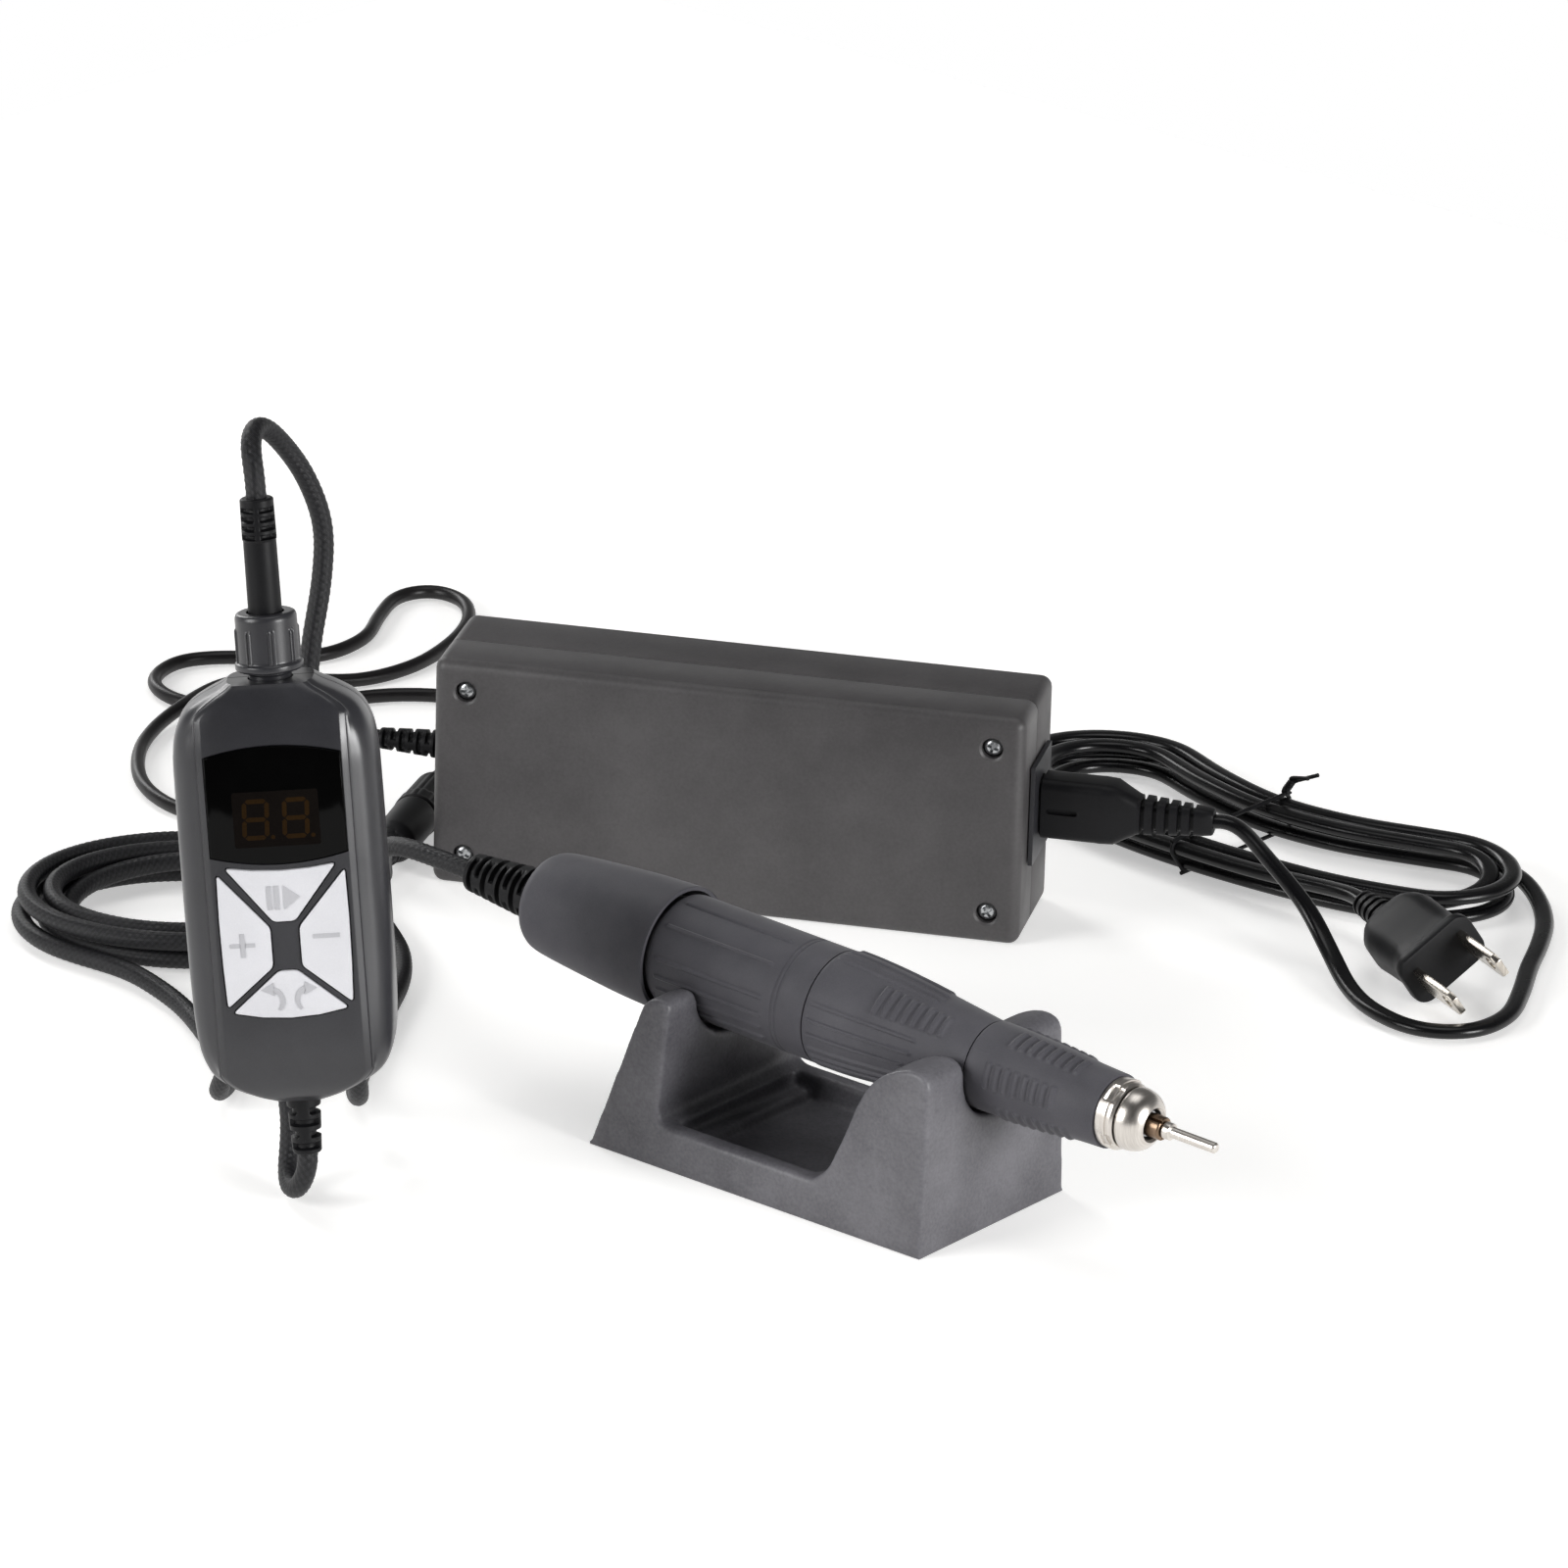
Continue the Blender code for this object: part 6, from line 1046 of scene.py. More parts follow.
@dataclass
class TwistTie(SubAssembly):
    """A plastic-coated wire tie: one wire pulled taut round a bundle, its two ends twisted together."""

    steps: int = 72
    start_turn: float = math.radians(78.0)
    twist_rise: float = 3.2 * MM
    twist_turns: float = 2.5
    twist_lean: float = 0.55
    twist_steps: int = 16
    tail: float = 4.6 * MM

    def taut(self, strands: Outline, half_width: float, half_height: float) -> list[Vector]:
        """Pulls the wire round the strands of a bundle.

        Args:
            strands: The strands' centres, as (y, z) points.
            half_width: Half a strand's width, with the wire's radius.
            half_height: Half its height, with the wire's radius.

        Returns:
            The points, from the start and back to it.
        """
        loop = []
        for step in range(self.steps + 1):
            angle = self.start_turn + math.tau * step / self.steps
            y, z = math.cos(angle), math.sin(angle)
            strand = max(strands, key=lambda centre: centre[0] * y + centre[1] * z)
            reach = math.hypot(half_width * y, half_height * z)
            loop.append(Vector((0.0, strand[0] + half_width ** 2 * y / reach,
                                strand[1] + half_height ** 2 * z / reach)))
        return loop

    def stem(self, root: Vector, side: float, wire: float) -> list[Vector]:
        """Leads one end of the wire from the bundle up through the twist to its tip.

        Args:
            root: Where the twist starts.
            side: Which of the two ends it is, 1 or -1.
            wire: The wire's radius.

        Returns:
            The points.
        """
        up = Vector((self.twist_lean, 0.25, 1.0)).normalized()
        across = up.cross(Vector((0.0, 1.0, 0.0))).normalized()
        other = up.cross(across)
        points = []
        for index in range(1, self.twist_steps + 1):
            share = index / self.twist_steps
            angle = math.tau * self.twist_turns * share + (0.0 if side > 0.0 else math.pi)
            points.append(root + up * (self.twist_rise * share)
                          + (across * math.cos(angle) + other * math.sin(angle)) * (1.1 * wire))
        tip = up * 0.35 + Vector((0.9, 0.25 * side, 0.10 + 0.10 * side))
        bend = points[-1] + (up + Vector((0.5, 0.2 * side, 0.0))) * (0.15 * self.tail)
        return [*points, bend, bend + tip * self.tail]

    def build(self, name: str, node: str, cord: Cord, line: Sequence[Vector], reach: float) -> None:
        """Bends the wire round a bundle of one cord that lies along x.

        Args:
            name: The piece's name.
            node: The CAD node that it stands for.
            cord: The kind of cord.
            line: The cord's line.
            reach: How far from the tie's axis the cord's strands still count.
        """
        wire = TIE_WIRE.width / 2.0
        loop = self.taut(crossings(line, self.place, reach), cord.width / 2.0 + wire, cord.height / 2.0 + wire)
        root = loop[0] + Vector((0.0, 0.0, 1.6 * wire))
        path = [*reversed(self.stem(root, 1.0, wire)), *loop[1:-1], *self.stem(root, -1.0, wire)]
        shape = TIE_WIRE.tube(evenly(smoothed(path, 4), TIE_WIRE.spacing))
        self.keep(name, shape, TIE_WIRE.finish, node, slot="internal_plastic")


@dataclass
class CordRun(SubAssembly):
    """What the cords share: they are laid in the world's frame."""

    place: Matrix = field(default_factory=WORLD_PLACE.copy)

    def lay(self, name: str, nodes: Sequence[str], cord: Cord, path: Sequence[Sequence[float]], start: Vector,
            far_end: str, lay: str, pieces: Sequence[Piece] = (), body: str = "",
            bend: tuple[Vector, Vector] | None = None) -> None:
        """Lays a cord along a path.

        Args:
            name: The piece's name.
            nodes: The CAD nodes that it stands for.
            cord: The kind of cord.
            path: The points of its route.
            start: Where it comes out; not used.
            far_end: What is on its far end; not used.
            lay: How it lies; not used.
            pieces: The pieces on it that go with it; not used.
            body: The body that it rides on, if not the root.
            bend: Handed to keep(): if given, the cord is left in the world's frame and rides on no body.
        """
        line = relaxed(evenly(smoothed(path, PATH_STEPS), cord.spacing))
        made = self.keep(name, cord.tube(line), cord.finish, *nodes, body=body, smooth_deg=ALL_SMOOTH_DEG, bend=bend)


@dataclass
class HandpieceCord(CordRun):
    """The braided cord from the controller, through its coil, to the handpiece."""

    centre: tuple[float, float] = (-0.1870, 0.0080)
    long_half: float = 0.0380
    short_half: float = 0.0320
    yaw: float = math.radians(42.0)
    winding: Winding = Winding(0.0056, 0.0048, 2.0, 0.5, 2.0)
    start_turn: float = math.radians(228.0)
    lift: float = 0.0011
    tie_turn: float = 0.75
    foot: float = -0.0125
    boot_end: float = -0.0981

    def coil_point(self, turn: float) -> Vector:
        """Finds a point of the coil: an oval spiral in, a climb and a spiral out.

        Args:
            turn: How many turns the point is along the coil.

        Returns:
            The point.
        """
        inset, rise = self.winding.at(turn)
        angle = self.start_turn - math.tau * turn
        along = (self.long_half - inset) * math.cos(angle)
        across = (self.short_half - inset) * math.sin(angle)
        return Vector((self.centre[0] + along * math.cos(self.yaw) - across * math.sin(self.yaw),
                       self.centre[1] + along * math.sin(self.yaw) + across * math.cos(self.yaw),
                       self.lift + BRAIDED_CORD.height / 2.0 + rise))

    def build(self) -> None:
        """Lays the cord in two pieces, the first through the coil and the second on to the handpiece, and its tie."""
        radius = BRAIDED_CORD.width / 2.0
        coil = [self.coil_point(turn) for turn in self.winding.turns()]
        ahead = (coil[-1] - coil[-2]).normalized()
        out = coil[-1] + ahead * (2.0 * radius)
        inside, foot, lead = mouth(CONTROLLER_PLACE, (0.0, 0.0, self.foot), (0.0, 0.0, -1.0), radius)
        path = [inside, lead, *placed(CONTROLLER_PLACE, CONTROLLER_LOOP_ROUTE), *HANDPIECE_CORD_FLOOR_ROUTE,
                *coil, out]
        self.lay("handpiece_cord", ["handpiece_cord_rear", "handpiece_cord_coil"], BRAIDED_CORD, path, foot,
                 "object", "coiled")
        straight = LEAD_RADII * radius
        inside, tail, lead = mouth(HANDPIECE_PLACE, (self.boot_end, 0.0, 0.0), (-1.0, 0.0, 0.0), straight)
        path = [out, out + ahead * straight, *HANDPIECE_CORD_TO_HANDPIECE, lead, inside]
        self.lay("handpiece_cord_end", ["handpiece_cord_front"], BRAIDED_CORD, path, out, "object", "loose",
                 body="handpiece", bend=(out, tail))
        first, second = self.coil_point(self.tie_turn), self.coil_point(self.tie_turn + 1.0)
        across = second - first
        middle = (first + second) / 2.0
        middle.z = 0.0
        place = Matrix.Translation(middle) @ Matrix.Rotation(math.atan2(across.y, across.x) - math.pi / 2.0, 4, "Z")
        TwistTie(place).build("coil_twist_tie", "coil_tie", BRAIDED_CORD, coil, self.short_half / 2.0)


@dataclass
class SupplyCords(CordRun):
    """The smooth cord from the adapter, the in-line coupling and the braided lead to the controller."""

    coupling_reach: float = 0.0270
    relief_top: float = 0.1253
    gland: tuple[float, float, float] = (-0.0163, 0.01585, 0.0270)

    def build(self) -> None:
        """Lays both cords, with the coupling between them."""
        plug_piece, socket_piece = Coupling(COUPLING_PLACE).build()
        lead = LEAD_RADII * SUPPLY_CORD.width / 2.0
        inside, gland, out = mouth(ADAPTER_PLACE, self.gland, (-1.0, 0.0, 0.0), lead)
        end, _, into = mouth(COUPLING_PLACE, (-self.coupling_reach, 0.0, 0.0), (-1.0, 0.0, 0.0), lead)
        self.lay("smooth_supply_cord", ["supply_cord"], SUPPLY_CORD, [inside, out, *SUPPLY_CORD_ROUTE, into, end],
                 gland, "connector", "loose", [plug_piece])
        lead = LEAD_RADII * BRAIDED_CORD.width / 2.0
        inside, socket, out = mouth(COUPLING_PLACE, (self.coupling_reach, 0.0, 0.0), (1.0, 0.0, 0.0), lead)
        end, _, into = mouth(CONTROLLER_PLACE, (0.0, 0.0, self.relief_top), (0.0, 0.0, 1.0), lead)
        path = [inside, out, *SUPPLY_LEAD_FLOOR_ROUTE, *placed(CONTROLLER_PLACE, SUPPLY_LEAD_RISE_ROUTE), into, end]
        self.lay("braided_supply_lead", ["supply_lead"], BRAIDED_CORD, path, socket, "object", "loose",
                 [socket_piece])


@dataclass
class Coupling(SubAssembly):
    """The in-line plug and socket that join the two supply cords."""

    radius: float = 5.2 * MM
    collar: float = 5.4 * MM
    length: float = 18.0 * MM
    tail: float = 9.0 * MM
    tail_radius: float = 2.9 * MM
    flutes: int = 18
    columns: int = 64

    def half(self, name: str, node: str, collar_end: float, collar: float, flute_depth: float,
             stand: Matrix) -> Piece:
        """Turns one half with the slots of its boot and the grips of its collar.

        Args:
            name: The piece's name.
            node: The CAD node that it stands for.
            collar_end: Where its collar ends, from the joint.
            collar: The radius of the collar.
            flute_depth: How deep the flat grips along it are.
            stand: How its axis stands in the coupling.

        Returns:
            The piece.
        """
        boot = self.tail_radius
        end = self.length + self.tail
        corners = [(0.15 * MM, 0.0), (0.15 * MM, collar - 0.3 * MM), (0.45 * MM, collar), (collar_end, collar),
                   (collar_end + 0.4 * MM, self.radius), (self.length - 2.0 * MM, self.radius * 0.97),
                   (self.length, self.radius * 0.84), (self.length + 0.4 * MM, boot * 1.42), (end - 0.3 * MM, boot),
                   (end, boot - 0.3 * MM), (end, 0.0)]
        slots = webbed(self.length + 0.8 * MM, 1.9 * MM, 4, 0.75 * MM)
        flute_turns = [math.tau * index / self.flutes for index in range(self.flutes)]

        def relief(spot: Spot) -> float:
            """Sinks a point in the boot's slots and in the grips.

            Args:
                spot: A point of the skin.

            Returns:
                How far it is raised, which is below zero.
            """
            raised = slots(spot)
            if 0.8 * MM < spot.place < self.length - 3.0 * MM and spot.radius > self.radius * 0.95:
                raised -= flute_depth * bar(nearest_turn(spot.angle, flute_turns) * spot.radius, 0.35 * MM, 0.3 * MM)
            return raised

        return self.turn(name, node, corners, BOOT_PVC, self.columns, 0.5 * MM, 0.35 * MM, relief, stand)

    def build(self) -> tuple[Piece, Piece]:
        """Builds the plug and the socket.

        Returns:
            Both pieces, the plug first.
        """
        plug = self.half("coupling_plug_body", "coupling_plug", self.tail / 2.0, self.collar, 0.22 * MM,
                         Matrix.Rotation(math.pi, 4, "Z"))
        return plug, self.half("coupling_socket_body", "coupling_socket", 1.0 * MM, self.radius, 0.0, WORLD_PLACE)


@dataclass
class MainsCord(CordRun):
    """The flat mains cord from the connector, through its hank, to the plug."""

    centre: tuple[float, float] = (-0.0390, 0.2000)
    straight: float = 0.0460
    end_radius: float = 0.0220
    waist_share: float = 0.88
    bend_radius: float = 0.1200
    winding: Winding = Winding(0.0057, 0.0046, 1.5, 0.5, 1.62)
    start_share: float = 0.139
    end_share: float = 0.3333333
    lead: float = 5.0 * MM
    centre_height: float = 3.1 * MM
    tie_place: float = -0.0040
    connector_end: tuple[float, float, float] = (0.1741, 0.01585, 0.0285)

    def hank_point(self, turn: float) -> Vector:
        """Finds a point of the hank: round ends, straight sides, a waist, all bent in an arc.

        Args:
            turn: How many turns the point is along the hank.

        Returns:
            The point.
        """
        inset, rise = self.winding.at(turn)
        radius = self.end_radius - inset
        share = (self.start_share + turn) % 1.0
        quarter = self.end_share / 2.0
        side = 0.5 - self.end_share
        flip = 1.0 if share <= 0.5 else -1.0
        if share > 0.5:
            share -= 0.5
        if quarter <= share < quarter + side:
            along = self.straight * (1.0 - 2.0 * (share - quarter) / side)
            across = radius
        else:
            angle = math.pi / 2.0 * (share if share < quarter else share - side) / quarter
            along = math.copysign(self.straight, quarter - share) + radius * math.cos(angle)
            across = radius * math.sin(angle)
        across *= self.waist_share + (1.0 - self.waist_share) * ramp(0.0, self.straight, abs(along))
        return self.bent(flip * along, flip * across, self.centre_height + rise)

    def bent(self, along: float, across: float, height: float) -> Vector:
        """Bends a point of the straight hank along its arc.

        Args:
            along: The point's place along the hank.
            across: Its place across it.
            height: Its height.

        Returns:
            The bent point.
        """
        bend = along / self.bend_radius
        reach = self.bend_radius - across
        return Vector((self.centre[0] + reach * math.sin(bend),
                       self.centre[1] + self.bend_radius - reach * math.cos(bend), height))

    def build(self) -> None:
        """Lays the cord, with the plug at its end and the tie at the hank's waist."""
        hank = [self.hank_point(turn) for turn in self.winding.turns()]
        inside, start, out = mouth(ADAPTER_PLACE, self.connector_end, (1.0, 0.0, 0.0), self.lead)
        end, _, into = mouth(MAINS_PLUG_PLACE, (0.0, 0.0, 0.0), (-1.0, 0.0, 0.0), self.lead)
        path = [inside, out, *MAINS_LEAD_ROUTE, *hank, *MAINS_TAIL_ROUTE, into, end]
        pieces = MainsPlug(MAINS_PLUG_PLACE).build()
        self.lay("mains_cord", ["mains_lead", "mains_cord_hank"], MAINS_CORD, path, start, "plug", "coiled", pieces)
        turn = Matrix.Rotation(self.tie_place / self.bend_radius, 4, "Z")
        place = Matrix.Translation(self.bent(self.tie_place, 0.0, 0.0)) @ turn
        TwistTie(place).build("hank_twist_tie", "hank_tie", MAINS_CORD, hank, self.straight)


@dataclass
class MainsPlug(SubAssembly):
    """The two-blade mains plug."""

    body_end: float = 36.0 * MM
    blade_length: float = 16.5 * MM
    blade_width: float = 6.3 * MM
    blade_thick: float = 1.5 * MM
    blade_pitch: float = 12.7 * MM
    blade_hole: float = 1.6 * MM
    blade_root: float = 6.0 * MM

    def body_shape(self) -> Shape:
        """Skins the body, from the ribbed boot at the cord's end to the face with the blades.

        Returns:
            The closed shape.
        """
        # The place, width, thickness and corner radius of each section, in millimetres
        sections = [(0.0, 5.0, 5.0, 2.2), (0.4, 5.8, 5.8, 2.6)]
        for index in range(4):
            start = 0.9 + 2.6 * index
            size = 5.9 + 0.35 * index
            for offset, sunk in ((0.0, 0.0), (0.15, 0.75), (0.95, 0.75), (1.1, 0.0)):
                sections.append((start + offset, size - 2.0 * sunk, size - 2.0 * sunk, 2.6))
        return ringed([*sections, (11.4, 7.4, 7.2, 3.0), (12.2, 10.4, 9.2, 3.6), (13.6, 14.6, 11.0, 4.2),
                       (16.0, 17.4, 12.2, 4.6), (19.2, 18.6, 12.8, 4.8), (24.0, 18.2, 12.6, 4.6),
                       (29.4, 18.0, 12.4, 4.4), (32.6, 18.4, 12.5, 4.0), (33.4, 19.6, 12.8, 3.8),
                       (33.8, 20.0, 13.0, 3.6), (35.5, 20.0, 13.0, 3.6), (35.9, 19.6, 12.6, 3.4),
                       (36.0, 19.0, 12.0, 3.2)])

    def blade(self, middle: float) -> Shape:
        """Cuts one flat blade with its hole and its eased end.

        Args:
            middle: The blade's place across the plug.

        Returns:
            The blade.
        """
        half = self.blade_width / 2.0
        start = self.body_end - self.blade_root
        tip = self.body_end + self.blade_length
        shape = slab([(start, -half), (tip - 1.6 * MM, -half), (tip, -half + 1.0 * MM), (tip, half - 1.0 * MM),
                      (tip - 1.6 * MM, half), (start, half)],
                     middle - self.blade_thick / 2.0, middle + self.blade_thick / 2.0)
        soften(shape, 0.2 * MM, 2, is_sharp)
        stand = Matrix.Translation((self.body_end + self.blade_length * 0.75, 0.0, 0.0)) @ INWARDS
        reach = self.blade_pitch / 4.0
        return carved(shape, [drill(middle - reach, middle + reach, self.blade_hole, 32, stand)])

    def build(self) -> list[Piece]:
        """Builds the plug.

        Returns:
            Its body and its blades.
        """
        body = self.keep("mains_plug_body", self.body_shape(), BOOT_PVC, "mains_plug", slot="adapter_plastic",
                         smooth_deg=40.0)
        blades = together([self.blade(side * self.blade_pitch / 2.0) for side in (1.0, -1.0)])
        return [body, self.keep("mains_plug_blades", blades, BLADE_NICKEL, "plug_blades")]


@dataclass
class Handpiece(SubAssembly):
    """The drill handpiece: turned covers with raised grips, a metal nose, a collet and a test bit."""

    body: str = "handpiece"
    columns: int = 320
    grain: float = 0.28 * MM
    boot_start: float = -0.0981
    cap_start: float = -0.0777
    cap_end: float = -0.0401
    casing_start: float = -0.0720
    casing_end: float = 0.0021
    sleeve_end: float = 0.0423
    grip_end: float = 0.0748
    ring_end: float = 0.0790
    nose_end: float = 0.0848
    collet_start: float = 0.0610
    collet_head: float = 0.0838
    collet_end: float = 0.0875
    bit_start: float = 0.0620
    bit_collar: float = 0.0878
    bit_end: float = 0.1007
    mouth_radius: float = 0.0139
    casing_radius: float = 0.0129
    sleeve_end_radius: float = 0.0098
    grip_end_radius: float = 0.0081
    ring_radius: float = 0.0076
    nose_radius: float = 0.0067
    shank_radius: float = 1.175 * MM
    motor_bore: float = 8.9 * MM
    bore: float = 0.0068
    nose_fit: float = 6.2 * MM
    rib_rise: float = 0.46 * MM
    rib_half: float = 0.38 * MM
    rib_edge: float = 0.34 * MM
    band_start: float = -0.0062
    band_pitch: float = 1.1 * MM
    casing_rib_turns: tuple[float, ...] = turns(12, 44, 78, 96, 110, 124, 192, 224, 258, 276, 290, 304)
    sleeve_rib_turns: tuple[float, ...] = turns(*[120 * third + turn for third in range(3)
                                                  for turn in (2, 12, 66, 82, 97, 112)])
    rest_turns: tuple[float, ...] = turns(38, 158, 278)
    rest_half: float = 3.6 * MM
    high_grip_turns: tuple[float, ...] = turns(14, 134, 254)
    low_grip_turns: tuple[float, ...] = turns(76, 196, 316)
    grip_half: float = 2.8 * MM
    patch_pitch: float = 2.3 * MM
    patch_bars: int = 8

    def cover(self, name: str, node: str, outer: Outline, bore: float, relief: Relief, body: str = "") -> None:
        """Turns a soft cover over a straight bore.

        Args:
            name: The piece's name.
            node: The CAD node that it stands for.
            outer: Its outer outline, from back to front.
            bore: The radius of its bore.
            relief: Its relief.
            body: The body that it rides on, if not the handpiece.
        """
        outline = [*divided(eased(outer, 0.35 * MM), self.grain), (outer[-1][0], bore), (outer[0][0], bore)]
        self.keep(name, lathed(outline, self.columns, relief), GRIP_TPE, node, body=body)

    def long_rib(self, beside: float, place: float, start: float, end: float, fade: float) -> float:
        """Returns the share of a long rib's rise, from how far a point is beside it and along it."""
        along = bar(place - (start + end) / 2.0, (end - start) / 2.0, fade)
        return bar(beside, self.rib_half, self.rib_edge) * along

    def patch(self, spot: Spot, middles: Sequence[float], start: float, half: float, narrow: float) -> float:
        """Gives short bars across a thumb rest, narrower towards the nose.

        Args:
            spot: A point of the skin.
            middles: The turns of the rests' middles.
            start: Where the first bar begins.
            half: Half the length of the first bar.
            narrow: How much shorter the half is at the last bar.

        Returns:
            The share of a bar's full rise.
        """
        index = math.floor((spot.place - start) / self.patch_pitch)
        if not 0 <= index < self.patch_bars:
            return 0.0
        along = (spot.place - start) - (index + 0.5) * self.patch_pitch
        beside = nearest_turn(spot.angle, middles) * spot.radius
        return (bar(along, 0.26 * self.patch_pitch, 0.30 * self.patch_pitch)
                * bar(beside, half - narrow * index / self.patch_bars, 0.7 * MM))

    def casing_relief(self, spot: Spot) -> float:
        """Gives the casing its raised lines and the two fine grooves before the sleeve.

        Args:
            spot: A point of the skin.

        Returns:
            How far it is raised.
        """
        if spot.radius < self.casing_radius * 0.9:
            return 0.0
        beside = nearest_turn(spot.angle, self.casing_rib_turns) * spot.radius
        line = self.long_rib(beside, spot.place, self.cap_end + 2.8 * MM, self.band_start - 2.6 * MM, 0.8 * MM)
        grooves = sum(bar(spot.place - self.band_start - shift, 0.22 * MM, 0.25 * MM)
                      for shift in (0.0, self.band_pitch))
        return self.rib_rise * line - 0.16 * MM * grooves

    def sleeve_relief(self, spot: Spot) -> float:
        """Gives the twist sleeve its long ribs, which end in a wave, and its thumb rests between them.

        Args:
            spot: A point of the skin.

        Returns:
            How far it is raised.
        """
        if spot.radius < self.bore + 1.0 * MM:
            return 0.0
        line = 0.0
        beside_rest = nearest_turn(spot.angle, self.rest_turns) * spot.radius
        if beside_rest >= 4.4 * MM or spot.place <= self.casing_end + 14.0 * MM:
            beside = nearest_turn(spot.angle, self.sleeve_rib_turns) * spot.radius
            end = self.casing_end + 26.5 * MM + 1.5 * MM * math.cos(5.0 * spot.angle)
            line = self.long_rib(beside, spot.place, self.casing_end + 1.6 * MM, end, 1.0 * MM)
        rest = self.patch(spot, self.rest_turns, self.casing_end + 15.5 * MM, self.rest_half, 1.2 * MM)
        return self.rib_rise * max(line, rest)

    def grip_relief(self, spot: Spot) -> float:
        """Gives the front grip its staggered rows of short bars.

        Args:
            spot: A point of the skin.

        Returns:
            How far it is raised.
        """
        if spot.radius < self.bore + 0.6 * MM:
            return 0.0
        high = self.patch(spot, self.high_grip_turns, self.sleeve_end + 7.6 * MM, self.grip_half, 0.4 * MM)
        low = self.patch(spot, self.low_grip_turns, self.sleeve_end + 5.0 * MM, self.grip_half, 0.4 * MM)
        return self.rib_rise * max(high, low)

    def covers(self) -> None:
        """Builds the smooth end cap, the casing with its raised lines, the twist sleeve and the front grip."""
        shares = ((0.000, 0.540), (0.010, 0.670), (0.040, 0.745), (0.085, 0.795), (0.200, 0.840), (0.450, 0.905),
                  (0.720, 0.965), (0.975, 0.995), (1.000, 0.988))
        cap = [(self.cap_start, 6.0 * MM),
               *curved(scaled(shares, self.cap_start, self.cap_end - self.cap_start, self.mouth_radius)),
               (self.cap_end, self.mouth_radius - 0.9 * MM)]
        bore = [(self.cap_end, self.mouth_radius - 0.95 * MM),
                *mm((4.0, 9.6), (3.5, 6.0), (0.0, 6.0), at=self.cap_start)]
        self.keep("cap_cover", lathed([*divided(cap, 1.0 * MM), *bore], 160), GRIP_TPE, "motor_end_cap")

        radius = self.casing_radius - self.rib_rise
        shares = ((0.000, 0.740), (0.020, 0.760), (0.190, 0.805), (0.380, 0.865), (0.425, 0.915), (0.436, 0.985),
                  (0.450, 1.0))
        outer = scaled(shares, self.casing_start, self.casing_end - self.casing_start, radius)
        self.cover("casing_cover", "motor_casing", [*outer, (self.casing_end, radius)], self.motor_bore,
                   self.casing_relief)

        start = self.casing_end + GAP
        shares = ((0.0, 0.962), (0.015, 0.978), (0.200, 0.965), (0.450, 0.907), (0.700, 0.825))
        outer = [*scaled(shares, start, self.sleeve_end - start, self.casing_radius),
                 (self.sleeve_end, self.sleeve_end_radius - self.rib_rise)]
        self.cover("sleeve_cover", "twist_sleeve", [outer[0], *curved(outer[1:])], self.bore, self.sleeve_relief,
                   "twist_sleeve_body")

        start = self.sleeve_end + GAP
        shares = ((0.0, 0.955), (0.015, 0.970), (0.250, 0.955), (0.550, 0.905), (0.800, 0.845))
        outer = [*scaled(shares, start, self.grip_end - start, self.sleeve_end_radius),
                 (self.grip_end, self.grip_end_radius - 0.1 * MM)]
        self.cover("grip_cover", "front_grip", [outer[0], *curved(outer[1:])], self.bore, self.grip_relief)

    def nose(self) -> None:
        """Builds the plated ring with its spanner flats and the domed nose."""
        start = self.grip_end + GAP
        step = start + 2.4 * MM
        low = self.ring_radius - 0.5 * MM
        outer = eased([(start, self.ring_radius - 0.15 * MM), (step, self.ring_radius), (step, low),
                       (self.ring_end - 0.5 * MM, low), (self.ring_end, self.ring_radius - 0.9 * MM)], 0.2 * MM)
        flat_turns = turns(35, 125, 215, 305)

        def flats(spot: Spot) -> float:
            """Sinks the four spanner flats of the ring.

            Args:
                spot: A point of the skin.

            Returns:
                How far it is raised, which is below zero.
            """
            if spot.radius < self.nose_fit + 0.4 * MM:
                return 0.0
            across = bar(nearest_turn(spot.angle, flat_turns), 0.26, 0.06)
            return -0.55 * MM * across * bar(spot.place - start - 2.2 * MM, 1.3 * MM, 0.2 * MM)

        outline = [*divided(outer, 0.15 * MM), (self.ring_end, self.nose_fit), (start, self.nose_fit)]
        self.keep("nose_ring_plated", lathed(outline, 256, flats), NOSE_NICKEL, "nose_ring")

        foot = self.ring_end + GAP
        shares = ((0.0, 0.955), (0.08, 1.0), (0.25, 1.0), (0.45, 0.970), (0.65, 0.900), (0.82, 0.790), (0.94, 0.660),
                  (1.0, 0.560))
        dome = curved(scaled(shares, foot, self.nose_end - foot, self.nose_radius))
        bore = [(self.nose_end - 0.5 * MM, 3.3 * MM), *mm((-9.0, 3.3), (-9.0, 4.9), (0.0, 4.9), at=foot)]
        self.keep("nose_dome", lathed([*dome, *bore], 128), NOSE_NICKEL, "nose_cone")

    def boot(self) -> None:
        """Builds the ribbed boot that the cord comes out of."""
        corners = [*mm((0.0, 0.0), (0.0, 3.4), (0.5, 4.2), at=self.boot_start),
                   *mm((-0.3, 6.0), (-0.3, 5.7), (4.0, 5.7), (4.0, 0.0), at=self.cap_start)]
        slots = webbed(self.boot_start + 1.6 * MM, 2.15 * MM, 8, 1.15 * MM)
        self.turn("handpiece_boot", "handpiece_strain_relief", corners, BOOT_PVC, 96, 0.3 * MM, 0.25 * MM, slots)

